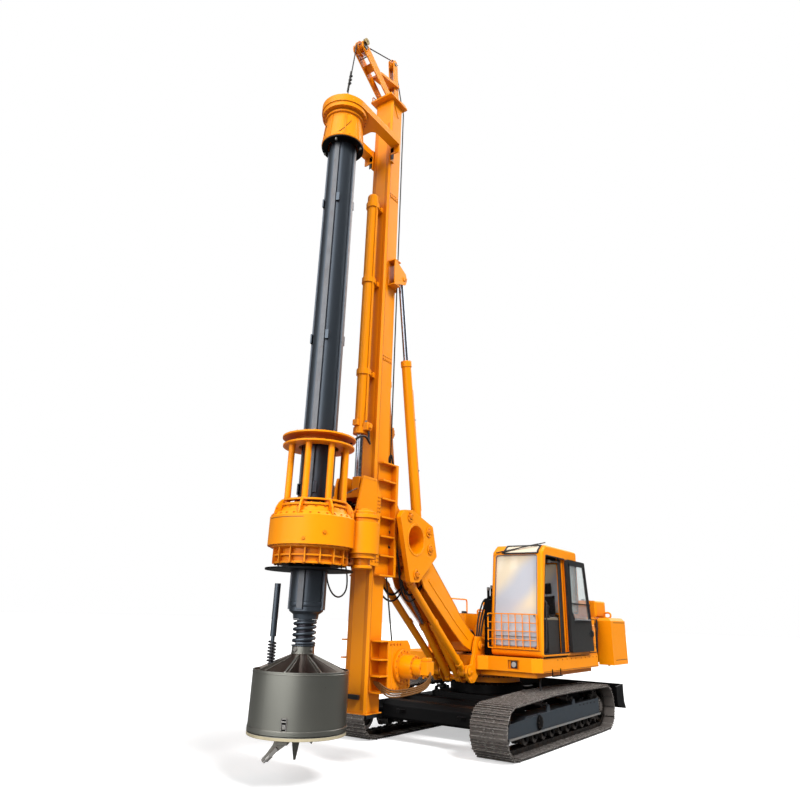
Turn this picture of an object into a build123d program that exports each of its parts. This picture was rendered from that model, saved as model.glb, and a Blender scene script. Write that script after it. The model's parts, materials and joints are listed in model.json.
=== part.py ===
from build123d import *
import math
import os

# Rotary piling rig, in millimetres. +X is forward (towards the kelly), +Y is the operator's left, +Z is up.
# Lengths along X below are measured from the slew axis; SLEW_X puts that axis in the part's own frame,
# whose origin is on the ground under the middle of the whole machine.
SLEW_X = -1165.0

# ---- driving dimensions -------------------------------------------------------------------------------------
TRACK_GAUGE = 2670.0          # between the two track centre lines
SHOE_WIDTH = 630.0
SHOE_PITCH = 190.0
SHOE_THICKNESS = 14.0
GROUSER_HEIGHT = 24.0
CHAIN_DEPTH = 95.0            # depth of the link chain inside the shoes
CHAIN_WIDTH = 210.0
IDLER_X, IDLER_Z, IDLER_R = 2165.0, 392.0, 368.0
SPROCKET_X, SPROCKET_Z, SPROCKET_R = -2140.0, 410.0, 388.0
CARRIER_Z = 812.0             # underside of the shoes where the carrier rollers hold the upper run
CARRIER_STATIONS = (600.0, -600.0)

SIDE_PLATE_OFFSET = 150.0      # inner face of a side frame's outer plate from the track's centre line
BLADE_HALF_WIDTH = 1650.0
TOW_EYE_X, TOW_EYE_Y = 2066.0, 600.0
TOW_EYE_R, TOW_EYE_LOW, TOW_EYE_HIGH = 30.0, 455.0, 505.0

DECK_BOTTOM, DECK_TOP = 1063.0, 1380.0
DECK_FRONT, DECK_REAR = 1000.0, -2010.0
DECK_HALF_WIDTH = 1560.0

CAB_FRONT, CAB_REAR = 900.0, -1000.0
CAB_INNER, CAB_OUTER = 570.0, 1590.0
CAB_BOTTOM, CAB_TOP = 1392.0, 3324.0
CAB_WALL = 45.0
DOOR_HINGE_X, DOOR_HINGE_GAP = -335.0, 8.0   # the door's hinge line, and how far it stands off the cab's side
DOOR_THICKNESS = 46.0
DOOR_FRONT_X = 872.0           # free edge of the closed door at its foot
HOUSING_TOP = 2090.0

COUNTERWEIGHT_FRONT, COUNTERWEIGHT_REAR = -2440.0, -3590.0
COUNTERWEIGHT_HALF_WIDTH = 1740.0
COUNTERWEIGHT_BOTTOM, COUNTERWEIGHT_TOP = 1165.0, 2095.0
ENGINE_BAY_HALF_WIDTH = 1400.0

# pivots of the boom linkage, as (X, Z)
BOOM_FOOT = (960.0, 1545.0)
BOOM_HEAD = (2875.0, 3045.0)
LINK_OFFSET = (400.0, -425.0)  # both lower-link pins lie this far from the boom's own pins
LINK_FOOT = (BOOM_FOOT[0] + LINK_OFFSET[0], BOOM_FOOT[1] + LINK_OFFSET[1])
LINK_HEAD = (BOOM_HEAD[0] + LINK_OFFSET[0], BOOM_HEAD[1] + LINK_OFFSET[1])
BOOM_CYLINDER_FOOT = (1250.0, 1000.0)
BOOM_CYLINDER_EYE = (2640.0, 2385.0)
MAST_PIVOT = (3490.0, 3510.0)
MAST_CYLINDER_FOOT = (2925.0, 3325.0)
MAST_CYLINDER_EYE = (3680.0, 7850.0)
MAST_CYLINDER_Y = 255.0
TRIANGLE_INNER, TRIANGLE_OUTER = 395.0, 480.0   # faces of one rocker plate

MAST_BACK, MAST_FRONT = 3740.0, 4110.0
MAST_BODY_HALF_WIDTH, MAST_RAIL_HALF_WIDTH = 175.0, 212.0
MAST_RAIL_THICKNESS = 45.0
MAST_BOTTOM, MAST_TOP = 680.0, 11900.0
MAST_WALL = 14.0
WINCH = (3480.0, 1290.0)       # drum axis, as (X, Z)
JIB_TIP = (4970.0, 12570.0)
POST_TIP = (3890.0, 13080.0)

KELLY_X = 5280.0
KELLY_TUBE_R, KELLY_KEY_R, KELLY_BORE_R = 232.0, 258.0, 196.0
KELLY_BOTTOM, KELLY_TOP = 2020.0, 10020.0     # ends of the tube at its full width
KELLY_STUB_R, KELLY_STUB_BOTTOM = 168.0, 1920.0
KELLY_SPRING_BOTTOM = 1580.0
BUCKET_R, BUCKET_BOTTOM, BUCKET_TOP = 640.0, 600.0, 1300.0
BUCKET_WALL = 24.0
COLLAR_BOTTOM = 1490.0        # underside of the kelly box's collar on the bucket
GATE_THICKNESS = 40.0
GATE_HINGE_OFFSET, GATE_HINGE_Z = 668.0, 572.0   # hinge pin behind the kelly's axis, and its height
CUTTER_ANGLE = 35.0           # direction of the long row of teeth
LATCH_ANGLE = 28.0
PUSH_ROD_OFFSET = 420.0
CASE_R, CASE_BOTTOM, CASE_TOP = 614.0, 2860.0, 3250.0
CASE_BORE_R = 300.0
DISC_BOTTOM, DISC_THICKNESS = 2545.0, 22.0
BAND_BOTTOM = 2620.0           # underside of the drive case's lower band
ADAPTER_PCD, ADAPTER_BOLTS, ADAPTER_HOLE_R = 1080.0, 8, 13.5
PINION = (4765.0, 520.0)      # axis of the left drive pinion, as (X, Y)
CROWD_X = 4310.0              # axis of the crowd cylinder, ahead of the mast
CROWD_PIN_Z = 3930.0
GUIDE_R, GUIDE_BOTTOM, GUIDE_TOP = 430.0, 10610.0, 10750.0

PUSH_ROD_ANGLE = math.radians(-55.0)
PIN_CLEARANCE = 1.0
SIDES = (("left", 1.0), ("right", -1.0))


# ---- small helpers ------------------------------------------------------------------------------------------
def outline(points, radius=0.0):
    """Flat face from a closed outline, with every corner rounded when a radius is given."""
    if radius:
        return make_face(FilletPolyline(*points, radius=radius, close=True))
    return make_face(Polyline(*points, close=True))


def side_plate(face, y_low, y_high):
    """Plate standing in the XZ plane between two Y values, from a face drawn as (X, Z)."""
    plane = Plane(origin=(0, y_high, 0), x_dir=(1, 0, 0), z_dir=(0, -1, 0))
    return plane * extrude(face, amount=y_high - y_low)


def flat_plate(face, z_low, z_high):
    """Level plate between two heights, from a face drawn as (X, Y)."""
    return Pos(0, 0, z_low) * extrude(face, amount=z_high - z_low)


def block(x_low, x_high, y_low, y_high, z_low, z_high):
    """Rectangular block between its two corners."""
    centre = Pos((x_low + x_high) / 2, (y_low + y_high) / 2, (z_low + z_high) / 2)
    return centre * Box(x_high - x_low, y_high - y_low, z_high - z_low)


def cross_pin(x, z, radius, y_low, y_high):
    """Round bar along Y."""
    return Pos(x, (y_low + y_high) / 2, z) * Rot(90, 0, 0) * Cylinder(radius, y_high - y_low)


def turned(x, y, profile):
    """Solid of revolution about the vertical line at (x, y), from a profile of (radius, Z) points."""
    return Pos(x, y, 0) * revolve(Plane.XZ * outline(profile), axis=Axis.Z)


def upright(x, y, radius, z_low, z_high):
    """Round vertical bar."""
    return Pos(x, y, (z_low + z_high) / 2) * Cylinder(radius, z_high - z_low)


def bar_between(start, end, y, radius, cut=0.0, cut_end=0.0):
    """Round bar in the XZ plane from one pin centre towards another, shortened by the cuts at its ends."""
    length = math.dist(start, end)
    angle = math.degrees(math.atan2(end[1] - start[1], end[0] - start[0]))
    body = Pos((cut + length - cut_end) / 2, 0, 0) * Rot(0, 90, 0) * Cylinder(radius, length - cut - cut_end)
    return Pos(start[0], y, start[1]) * Rot(0, -angle, 0) * body


def mirrored_pair(shape):
    """A shape and its copy on the other side of the machine."""
    return shape + mirror(shape, about=Plane.XZ)


# ---- undercarriage ------------------------------------------------------------------------------------------
def belt_path(offset):
    """Closed run round the idler and the sprocket, this far outside their working circles."""
    idler = IDLER_R + offset
    sprocket = SPROCKET_R + offset
    points = []
    for degrees in range(-90, 91, 15):
        angle = math.radians(degrees)
        points.append((IDLER_X + idler * math.cos(angle), IDLER_Z + idler * math.sin(angle)))
    for x in CARRIER_STATIONS:
        points.append((x, CARRIER_Z + offset))
    for degrees in range(90, 271, 15):
        angle = math.radians(degrees)
        points.append((SPROCKET_X + sprocket * math.cos(angle), SPROCKET_Z + sprocket * math.sin(angle)))
    points.append((-1720.0, GROUSER_HEIGHT - offset))
    points.append((1720.0, GROUSER_HEIGHT - offset))
    return points


def walk(points, step):
    """Points spaced evenly round a closed run, each with the outward normal there."""
    spans = [(points[i], points[(i + 1) % len(points)]) for i in range(len(points))]
    total = sum(math.dist(a, b) for a, b in spans)
    count = round(total / step)
    stations = []
    for index in range(count):
        rest = index * total / count
        for a, b in spans:
            length = math.dist(a, b)
            if rest <= length:
                share = rest / length
                direction = ((b[0] - a[0]) / length, (b[1] - a[1]) / length)
                place = (a[0] + (b[0] - a[0]) * share, a[1] + (b[1] - a[1]) * share)
                stations.append((place, direction))
                break
            rest -= length
    return stations


def shoe_outline():
    """Outer edge of the belt: flat shoes, each with one grouser bar standing out of it."""
    points = []
    for (x, z), (dx, dz) in walk(belt_path(0.0), SHOE_PITCH):
        normal = (dz, -dx)
        for run, height in ((-14, 0.0), (-9, GROUSER_HEIGHT), (9, GROUSER_HEIGHT), (14, 0.0), (70, 0.0)):
            points.append((x + dx * run + normal[0] * height, z + dz * run + normal[1] * height))
    return points


def track(side):
    """One belt as a fixed loop: shoes with grousers, and the link chain inside them."""
    y = side * TRACK_GAUGE / 2
    belt = side_plate(outline(shoe_outline()) - outline(belt_path(-SHOE_THICKNESS)),
                      y - SHOE_WIDTH / 2, y + SHOE_WIDTH / 2)
    chain = side_plate(outline(belt_path(-SHOE_THICKNESS)) - outline(belt_path(-CHAIN_DEPTH)),
                       y - CHAIN_WIDTH / 2, y + CHAIN_WIDTH / 2)
    return belt + chain


def track_frame(side):
    """Side frame of one track: a box beam, its long outer plate with a lower lip, and the idler fork."""
    y = side * TRACK_GAUGE / 2
    outside = y + side * (SIDE_PLATE_OFFSET + 12)
    beam = [(-1780, 300), (1560, 300), (1640, 340), (1640, 470), (1480, 540), (-1650, 560), (-1780, 520)]
    frame = side_plate(outline(beam, 25), y - 150, y + 150)
    frame -= side_plate(outline([(-1620, 290), (1556, 290), (1556, 360), (-1620, 360)], 10), y - 120, y + 120)
    plate = outline([(-1960, 300), (2230, 290), (2140, 490), (300, 555), (-1960, 575)])
    frame += side_plate(plate, outside - 13, outside + 13)
    lip = outline([(-1960, 286), (2226, 276), (2226, 302), (-1960, 312)])
    frame += side_plate(lip, min(outside, outside + side * 40), max(outside, outside + side * 40))
    frame += cross_pin(1040, 425, 118, outside - 22, outside + 22)
    fork = outline([(1500, IDLER_Z - 80), (IDLER_X + 90, IDLER_Z - 80), (IDLER_X + 90, IDLER_Z + 80),
                    (1500, IDLER_Z + 80)], 30)
    frame += side_plate(fork, y - side * 150 - 20, y - side * 150 + 20)
    frame += cross_pin(IDLER_X, IDLER_Z, 40, min(y, y + side * 150), max(y, y + side * 150))
    drive = outline([(-1700, 320), (-1700, 550), (SPROCKET_X - 60, SPROCKET_Z + 150),
                     (SPROCKET_X - 60, SPROCKET_Z - 150)], 40)
    frame += side_plate(drive, y - side * 130 - 20, y - side * 130 + 20)
    for x in CARRIER_STATIONS:
        post = outline([(x - 90, 510), (x + 90, 510), (x + 40, 650), (x - 40, 650)], 12)
        frame += side_plate(post, outside - 12, outside + 10)
    return frame


def idler(side):
    """Front idler wheel, bored for the fork's axle."""
    y = side * TRACK_GAUGE / 2
    rim = IDLER_R - CHAIN_DEPTH - 3
    wheel = [(41, -85), (110, -85), (110, -40), (rim - 60, -40), (rim - 60, -75), (rim, -75),
             (rim, 75), (rim - 60, 75), (rim - 60, 40), (110, 40), (110, 85), (41, 85)]
    body = Rot(90, 0, 0) * revolve(Plane.XZ * outline(wheel), axis=Axis.Z)
    return Pos(IDLER_X, y, IDLER_Z) * body


def sprocket(side):
    """Toothed drive wheel with the final drive's case."""
    y = side * TRACK_GAUGE / 2
    root = SPROCKET_R - CHAIN_DEPTH - 45
    teeth = 11
    points = []
    for tooth in range(teeth):
        for part, radius in ((0.0, root), (0.30, root), (0.42, root + 38), (0.58, root + 38), (0.70, root)):
            angle = 2 * math.pi * (tooth + part) / teeth
            points.append((radius * math.cos(angle), radius * math.sin(angle)))
    ring = Pos(SPROCKET_X, 0, SPROCKET_Z) * side_plate(outline(points), y - 30, y + 30)
    case = cross_pin(SPROCKET_X, SPROCKET_Z, 165, y - 109, y + 109)
    cap = cross_pin(SPROCKET_X, SPROCKET_Z, 120, y + side * 125 - 25, y + side * 125 + 25)
    return ring + case + cap


def rollers(side):
    """Bottom rollers and the two carrier rollers of one track, as turned bodies in a row."""
    y = side * TRACK_GAUGE / 2
    profile = [(0, -140), (32, -140), (32, -112), (84, -112), (84, -60), (68, -60), (68, 60), (84, 60),
               (84, 112), (32, 112), (32, 140), (0, 140)]
    roller = Rot(90, 0, 0) * revolve(Plane.XZ * outline(profile), axis=Axis.Z)
    carried = [Pos(-1500 + 370 * index, y, 214) * roller for index in range(9)]
    small = [(0, -141), (30, -141), (30, -60), (56, -60), (56, 60), (30, 60), (30, 141), (0, 141)]
    carrier = Rot(90, 0, 0) * revolve(Plane.XZ * outline(small), axis=Axis.Z)
    for x in CARRIER_STATIONS:
        carried.append(Pos(x, y, CARRIER_Z - CHAIN_DEPTH - 62) * carrier)
    return Compound(carried)


def centre_frame():
    """Middle of the undercarriage: slew ring seat, body and the two cross-beams out to the side frames."""
    inner = TRACK_GAUGE / 2 - 150
    seat = turned(0, 0, [(430, 700), (690, 700), (690, 860), (650, 900), (430, 900)])
    body = flat_plate(outline([(-900, -720), (900, -720), (900, 720), (-900, 720)], 120), 430, 720)
    body -= flat_plate(outline([(-855, -695), (855, -695), (855, 695), (-855, 695)], 100), 420, 695)
    frame = seat + body
    for x in (-1050.0, 1050.0):
        section = [(x - 190, 330), (x + 190, 330), (x + 190, 560), (x + 120, 640), (x - 120, 640), (x - 190, 560)]
        hollow = [(x - 165, 355), (x + 165, 355), (x + 165, 550), (x + 110, 615), (x - 110, 615), (x - 165, 550)]
        frame += side_plate(outline(section, 30), -inner, inner) - side_plate(outline(hollow, 15), -inner + 25, inner - 25)
    return frame - upright(0, 0, 380, 420, 730)


def front_beam():
    """Round-topped guard beam between the tracks, with a flat towing eye near each end."""
    section = outline([(1620, 330), (2010, 330), (2010, 560), (1940, 630), (1690, 630), (1620, 560)], 45)
    half = TRACK_GAUGE / 2 - SHOE_WIDTH / 2 - 25
    beam = side_plate(section, -half, half)
    y = TOW_EYE_Y
    eye = outline([(1990, y - 85), (1990, y + 85), (2080, y + 60), (2125, y + 30), (2125, y - 30), (2080, y - 60)], 15)
    lug = flat_plate(eye, TOW_EYE_LOW, TOW_EYE_HIGH)
    beam += mirrored_pair(lug)
    return beam - mirrored_pair(upright(TOW_EYE_X, y, TOW_EYE_R, TOW_EYE_LOW - 10, TOW_EYE_HIGH + 10))


def slew_ring():
    """Outer race of the slewing bearing under the deck."""
    return turned(0, 0, [(470, 905), (640, 905), (640, 990), (600, 990), (600, 1055), (470, 1055)])


def rear_blade():
    """Curved stabiliser blade across the back, with end plates, on two push arms."""
    face = [(-3290, 300), (-3230, 300), (-3150, 420), (-3145, 560), (-3152, 770), (-3202, 770),
            (-3195, 560), (-3205, 430)]
    blade = side_plate(outline(face), -BLADE_HALF_WIDTH, BLADE_HALF_WIDTH)
    wing = outline([(-3235, 312), (-2760, 390), (-2740, 740), (-3190, 765), (-3165, 560), (-3175, 425)], 8)
    blade += mirrored_pair(side_plate(wing, BLADE_HALF_WIDTH - 30, BLADE_HALF_WIDTH))
    arm = outline([(-1241, 400), (-1241, 540), (-3170, 570), (-3170, 420)], 8)
    return blade + mirrored_pair(side_plate(arm, 560, 680))


# ---- upper structure ----------------------------------------------------------------------------------------
def deck():
    """Slewing deck with its chamfered skirt and the cheeks that carry the boom."""
    w = DECK_HALF_WIDTH
    plan = [(DECK_REAR, -w), (900, -w), (DECK_FRONT, -w + 220), (DECK_FRONT, -560), (1120, -420),
            (1120, 420), (DECK_FRONT, 560), (DECK_FRONT, w - 160), (900, w), (DECK_REAR, w)]
    plate = flat_plate(outline(plan, 30), DECK_BOTTOM + 90, DECK_TOP)
    keel = [(DECK_REAR + 60, -w + 140), (840, -w + 140), (910, -w + 330), (910, w - 330), (840, w - 140),
            (DECK_REAR + 60, w - 140)]
    plate += flat_plate(outline(keel, 30), DECK_BOTTOM, DECK_BOTTOM + 95)
    for y_low, y_high in ((-w + 160, -760), (760, w - 160)):
        plate -= block(DECK_REAR + 150, 800, y_low, y_high, DECK_BOTTOM - 5, DECK_TOP - 22)
    plate -= block(DECK_REAR + 150, -760, -700, 700, DECK_BOTTOM - 5, DECK_TOP - 22)
    plate -= block(DECK_FRONT - 36, DECK_FRONT + 10, 950, 1170, 1190, 1335)
    plate += mirrored_pair(block(COUNTERWEIGHT_REAR + 320, DECK_REAR + 20, 420, 620, 1160, DECK_TOP))
    plate -= upright(0, 0, 480, DECK_BOTTOM - 5, DECK_TOP - 40)
    cheek = outline([(420, DECK_BOTTOM + 20), (420, 1420), (800, 1650), (900, 1690), (1060, 1690), (1140, 1560),
                     (1180, 1380), (1260, 1230), (1420, 1220), (1450, 1100), (1400, 1020), (1300, 940),
                     (1160, 940), (1000, 1063)], 25)
    plate += mirrored_pair(side_plate(cheek, 328, 374))
    inner_cheek = outline([(1050, 1090), (1050, 1200), (1300, 1200), (1430, 1190), (1440, 1090), (1380, 1020),
                           (1290, 930), (1180, 930)], 20)
    plate += mirrored_pair(side_plate(inner_cheek, 182, 200))
    for pivot, radius in ((BOOM_FOOT, 45), (BOOM_CYLINDER_FOOT, 35)):
        plate += cross_pin(pivot[0], pivot[1], radius, -382, 382)
    plate += mirrored_pair(cross_pin(LINK_FOOT[0], LINK_FOOT[1], 40, 184, 382))
    return plate


def hollow_box(x_low, x_high, y_low, y_high, wall, corner):
    """Sheet-metal cover on the deck: four walls with rounded corners and a roof, open below."""
    low = DECK_TOP + 2
    cover = block(x_low, x_high, y_low, y_high, low, HOUSING_TOP)
    cover = fillet(cover.edges().filter_by(Axis.Z), corner)
    return cover - block(x_low + wall, x_high - wall, y_low + wall, y_high - wall, low - 1, HOUSING_TOP - wall)


def machinery_housing():
    """Pump and engine housing behind the cab, the narrower engine bay and the right-hand tank."""
    w = DECK_HALF_WIDTH - 20
    shell = hollow_box(DECK_REAR, CAB_REAR - 50, -w, w, 25, 22)
    bay = block(COUNTERWEIGHT_REAR + 320, DECK_REAR + 30, -ENGINE_BAY_HALF_WIDTH, ENGINE_BAY_HALF_WIDTH,
                DECK_TOP + 2, HOUSING_TOP)
    bay -= block(COUNTERWEIGHT_REAR + 345, DECK_REAR + 40, -ENGINE_BAY_HALF_WIDTH + 25, ENGINE_BAY_HALF_WIDTH - 25,
                 DECK_TOP + 1, HOUSING_TOP - 25)
    return shell + bay + hollow_box(CAB_REAR - 80, -300, -w, -620, 25, 22)


def engine_hood():
    """Raised cover over the engine."""
    lid = block(-3150, -2480, -700, 1420, HOUSING_TOP + 6, 2440)
    lid = fillet(lid.edges().filter_by(Axis.X) + lid.edges().filter_by(Axis.Z), 45)
    return lid - block(-3125, -2505, -675, 1395, HOUSING_TOP + 5, 2415)


def engine_block():
    """The engine as one plain mass at its real place."""
    return block(-3100, -2035, -450, 600, 1450, 2030)


def counterweight():
    """Cast counterweight wrapped round the engine bay, with a chamfered top edge."""
    w = COUNTERWEIGHT_HALF_WIDTH
    arm = ENGINE_BAY_HALF_WIDTH + 20
    wall = COUNTERWEIGHT_REAR + 300
    plan = [(COUNTERWEIGHT_FRONT, -w), (COUNTERWEIGHT_FRONT, -arm), (wall, -arm), (wall, arm),
            (COUNTERWEIGHT_FRONT, arm), (COUNTERWEIGHT_FRONT, w), (COUNTERWEIGHT_REAR + 160, w),
            (COUNTERWEIGHT_REAR, w - 420), (COUNTERWEIGHT_REAR, -w + 420), (COUNTERWEIGHT_REAR + 160, -w)]
    body = flat_plate(outline(plan), COUNTERWEIGHT_BOTTOM, COUNTERWEIGHT_TOP)
    top_edges = body.faces().sort_by(Axis.Z)[-1].edges()
    return chamfer(top_edges, 60)


def door_outline(gap):
    """Door's edge when closed, drawn in (X, Z); the gap shrinks it inside the doorway."""
    front = DOOR_FRONT_X - gap
    return [(DOOR_HINGE_X + gap, CAB_BOTTOM + 60 + gap), (front, CAB_BOTTOM + 60 + gap), (front - 60, 2050),
            (front - 262, CAB_TOP - 190 - gap), (DOOR_HINGE_X + gap, CAB_TOP - 190 - gap)]


def screen_prism(gap):
    """Straight prism through the windscreen's opening; the gap shrinks it inside the opening."""
    low, high = CAB_BOTTOM + 170 + gap, CAB_TOP - 190 - gap
    face = outline([(CAB_INNER + 72 + gap, low), (CAB_OUTER - 118 - gap, low), (CAB_OUTER - 108 - gap, high),
                    (CAB_INNER + 82 + gap, high)], 45)
    return Pos(CAB_FRONT - 260, 0, 0) * extrude(Plane.YZ * face, amount=320)


def cab_shell():
    """Operator's cab: hollow, with door, windscreen, side, rear and roof openings cut through."""
    rows = [(CAB_REAR, CAB_BOTTOM), (CAB_FRONT, CAB_BOTTOM), (CAB_FRONT, CAB_BOTTOM + 330),
            (CAB_FRONT - 150, CAB_TOP - 130), (CAB_FRONT - 330, CAB_TOP), (CAB_REAR, CAB_TOP)]
    outer = side_plate(outline(rows, 70), CAB_INNER, CAB_OUTER)
    rims = outer.faces().sort_by(Axis.Y)[0].edges() + outer.faces().sort_by(Axis.Y)[-1].edges()
    outer = fillet(rims, 40)
    rows_in = [(CAB_REAR + 45, CAB_BOTTOM + 45), (CAB_FRONT - 60, CAB_BOTTOM + 45),
               (CAB_FRONT - 45, CAB_BOTTOM + 330), (CAB_FRONT - 190, CAB_TOP - 130),
               (CAB_FRONT - 350, CAB_TOP - 45), (CAB_REAR + 45, CAB_TOP - 45)]
    inner = side_plate(outline(rows_in, 20), CAB_INNER + CAB_WALL, CAB_OUTER - CAB_WALL)
    shell = outer - inner
    shell -= side_plate(outline(door_outline(0), 30), CAB_OUTER - CAB_WALL - 10, CAB_OUTER + 10)
    shell += block(DOOR_HINGE_X - 20, -165, CAB_OUTER - 110, CAB_OUTER - 53, CAB_BOTTOM + 30, CAB_TOP - 30)
    rear_side = outline([(-900, 2150), (-420, 2150), (-420, CAB_TOP - 200), (-900, CAB_TOP - 200)], 60)
    shell -= side_plate(rear_side, CAB_OUTER - CAB_WALL - 10, CAB_OUTER + 10)
    inner_side = outline([(-880, 2050), (690, 2050), (540, CAB_TOP - 200), (-880, CAB_TOP - 200)], 60)
    shell -= side_plate(inner_side, CAB_INNER - 10, CAB_INNER + CAB_WALL + 10)
    shell -= screen_prism(0)
    shell -= block(CAB_REAR - 10, CAB_REAR + 60, CAB_INNER + 120, CAB_OUTER - 120, 2150, CAB_TOP - 220)
    shell -= block(-60, 440, CAB_INNER + 130, CAB_OUTER - 130, CAB_TOP - 60, CAB_TOP + 10)
    return shell


def cab_door():
    """Cab door, folded right back along the cab's side, with its window opening and hinge knuckles."""
    fold = Pos(2 * DOOR_HINGE_X, 0, 0)
    y = CAB_OUTER + DOOR_HINGE_GAP + 4
    panel = fold * mirror(side_plate(outline(door_outline(6), 30), y, y + DOOR_THICKNESS), about=Plane.YZ)
    window = [(-255, 2190), (-110, 2035), (742, 2035), (560, CAB_TOP - 285), (-255, CAB_TOP - 285)]
    hole = fold * mirror(side_plate(outline(window, 25), y - 5, y + DOOR_THICKNESS + 5), about=Plane.YZ)
    door = panel - hole
    for z in (1620.0, 2500.0, 3020.0):
        door += Pos(DOOR_HINGE_X, CAB_OUTER + DOOR_HINGE_GAP, z) * Cylinder(7, 90)
        door += block(DOOR_HINGE_X - 60, DOOR_HINGE_X - 4, CAB_OUTER + DOOR_HINGE_GAP - 2, y + 4, z - 45, z + 45)
    return door


def operator_seat():
    """Suspension seat: base, cushion, back and headrest."""
    seat = block(-420, 80, 850, 1340, 1760, 1900) + block(-500, -340, 870, 1320, 1850, 2480)
    seat += block(-490, -370, 960, 1230, 2475, 2700) + block(-330, -20, 900, 1290, CAB_BOTTOM + 50, 1765)
    return seat


def control_console():
    """Consoles with levers each side of the seat, and the front pedal stand."""
    left = block(-200, 330, 1350, 1460, CAB_BOTTOM + 50, 2010)
    right = block(-200, 330, 720, 830, CAB_BOTTOM + 50, 2010)
    return Compound([left, right])


def window_guard():
    """Wire grid over the lower half of the windscreen."""
    x = CAB_FRONT + 45
    low, high = CAB_BOTTOM + 130, CAB_BOTTOM + 700
    left, right = CAB_INNER - 20, CAB_OUTER - 90
    guard = Part()
    for index in range(8):
        y = left + (right - left) * index / 7
        guard += upright(x, y, 9, low, high)
    for index in range(5):
        z = low + (high - low) * index / 4
        guard += cross_pin(x - 4, z, 7, left - 12, right + 12)
    return guard


def valve_block():
    """Main hydraulic valve between the boom and the cab, with its stub pipes."""
    body = block(350, 800, 400, 545, DECK_TOP + 2, 2340)
    for x, y, top in ((420, 440, 2640), (560, 440, 2600), (700, 440, 2560), (490, 500, 2620), (630, 500, 2500)):
        body += upright(x, y, 26, 2330, top)
    return body


# ---- boom linkage -------------------------------------------------------------------------------------------
def boom():
    """Box-section boom, cranked near its foot, with bosses at both pins and ears for its cylinders."""
    shape = [(880, 1500), (1080, 1430), (1420, 1550), (1811, 1791), (2760, 2460), (2990, 2860),
             (2985, 3060), (2880, 3165), (2760, 3080), (1680, 2180), (1560, 2060), (1130, 1760), (900, 1640)]
    body = side_plate(outline(shape, 40), -300, 300)
    hollow = [(1180, 1700), (1560, 1960), (2750, 2900), (2740, 3030), (1690, 2155), (1570, 2035)]
    body -= side_plate(outline(hollow, 15), -275, 275)
    channel = [(1130, 1300), (1130, 1600), (1560, 1890), (2720, 2800), (3100, 2800), (3100, 2300), (1800, 1300)]
    body -= side_plate(outline(channel, 30), -275, 275)
    ear = outline([(2470, 2680), (2590, 2360), (2640, 2325), (2700, 2360), (2730, 2800)], 20)
    for y in (40.0, 170.0):
        body += mirrored_pair(side_plate(ear, y - 11, y + 11))
    body += cross_pin(BOOM_HEAD[0], BOOM_HEAD[1], 130, -300, 300)
    body -= cross_pin(BOOM_HEAD[0], BOOM_HEAD[1], 46, -310, 310)
    body += cross_pin(BOOM_FOOT[0], BOOM_FOOT[1], 115, -300, 300)
    body -= cross_pin(BOOM_FOOT[0], BOOM_FOOT[1], 46, -310, 310)
    return body


def lower_links():
    """Two round tie bars under the boom, one each side, with an eye at each end."""
    link = bar_between(LINK_FOOT, LINK_HEAD, 262, 60, 60, 60)
    for end in (LINK_FOOT, LINK_HEAD):
        link += cross_pin(end[0], end[1], 90, 212, 312)
    for end in (LINK_FOOT, LINK_HEAD):
        link -= cross_pin(end[0], end[1], 41, 200, 325)
    return mirrored_pair(link)


def triangle_frame():
    """Pair of thick hexagonal rocker plates on one big cross tube, carrying the mast, boom and links."""
    shape = [(3760, 3480), (3660, 3600), (3430, 3625), (2790, 3430), (2650, 2950), (3190, 2510), (3440, 2495)]
    plate = side_plate(outline(shape, 45), TRIANGLE_INNER, TRIANGLE_OUTER)
    frame = mirrored_pair(plate)
    edge = TRIANGLE_OUTER + 6
    frame += cross_pin(3300, 3165, 246, -edge, edge)
    frame -= cross_pin(3300, 3165, 224, -edge - 5, edge + 5)
    for pin, radius in ((BOOM_HEAD, 45), (LINK_HEAD, 40), (MAST_CYLINDER_FOOT, 45), (MAST_PIVOT, 45)):
        frame += cross_pin(pin[0], pin[1], radius, -edge - 14, edge + 14)
    return frame


def cylinder_barrel(foot, eye, y, radius, length, bore, eye_radius, pin_radius, eye_half):
    """Hydraulic barrel from its foot eye towards the rod's eye, bored for the rod, with end collars."""
    span = math.dist(foot, eye)
    barrel = bar_between(foot, eye, y, radius, eye_radius + 20, span - length)
    barrel += bar_between(foot, eye, y, eye_half - 6, 0, span - eye_radius - 60)
    barrel += bar_between(foot, eye, y, radius + 12, length - 90, span - length)
    barrel += cross_pin(foot[0], foot[1], eye_radius, y - eye_half, y + eye_half)
    barrel -= cross_pin(foot[0], foot[1], pin_radius + PIN_CLEARANCE, y - eye_half - 5, y + eye_half + 5)
    barrel -= bar_between(foot, eye, y, bore, eye_radius + 80, span - length - 5)
    return barrel


def cylinder_rod(foot, eye, y, start, radius, eye_radius, eye_half, stub):
    """Plated rod with its eye and the short pin through it."""
    rod = bar_between(foot, eye, y, radius, start, 0)
    rod += cross_pin(eye[0], eye[1], eye_radius, y - eye_half, y + eye_half)
    rod += cross_pin(eye[0], eye[1], stub, y - eye_half - 6, y + eye_half + 6)
    return rod


def boom_cylinder_barrels():
    """The two boom cylinders' barrels."""
    return mirrored_pair(cylinder_barrel(BOOM_CYLINDER_FOOT, BOOM_CYLINDER_EYE, 105, 64, 1250, 41, 62, 35, 45))


def boom_cylinder_rods():
    """The two boom cylinders' rods."""
    return mirrored_pair(cylinder_rod(BOOM_CYLINDER_FOOT, BOOM_CYLINDER_EYE, 105, 420, 36, 55, 42, 28))


def mast_cylinder_barrels():
    """The two mast cylinders' barrels."""
    return mirrored_pair(cylinder_barrel(MAST_CYLINDER_FOOT, MAST_CYLINDER_EYE, MAST_CYLINDER_Y, 86, 3000, 52, 82, 45, 60))


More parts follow.
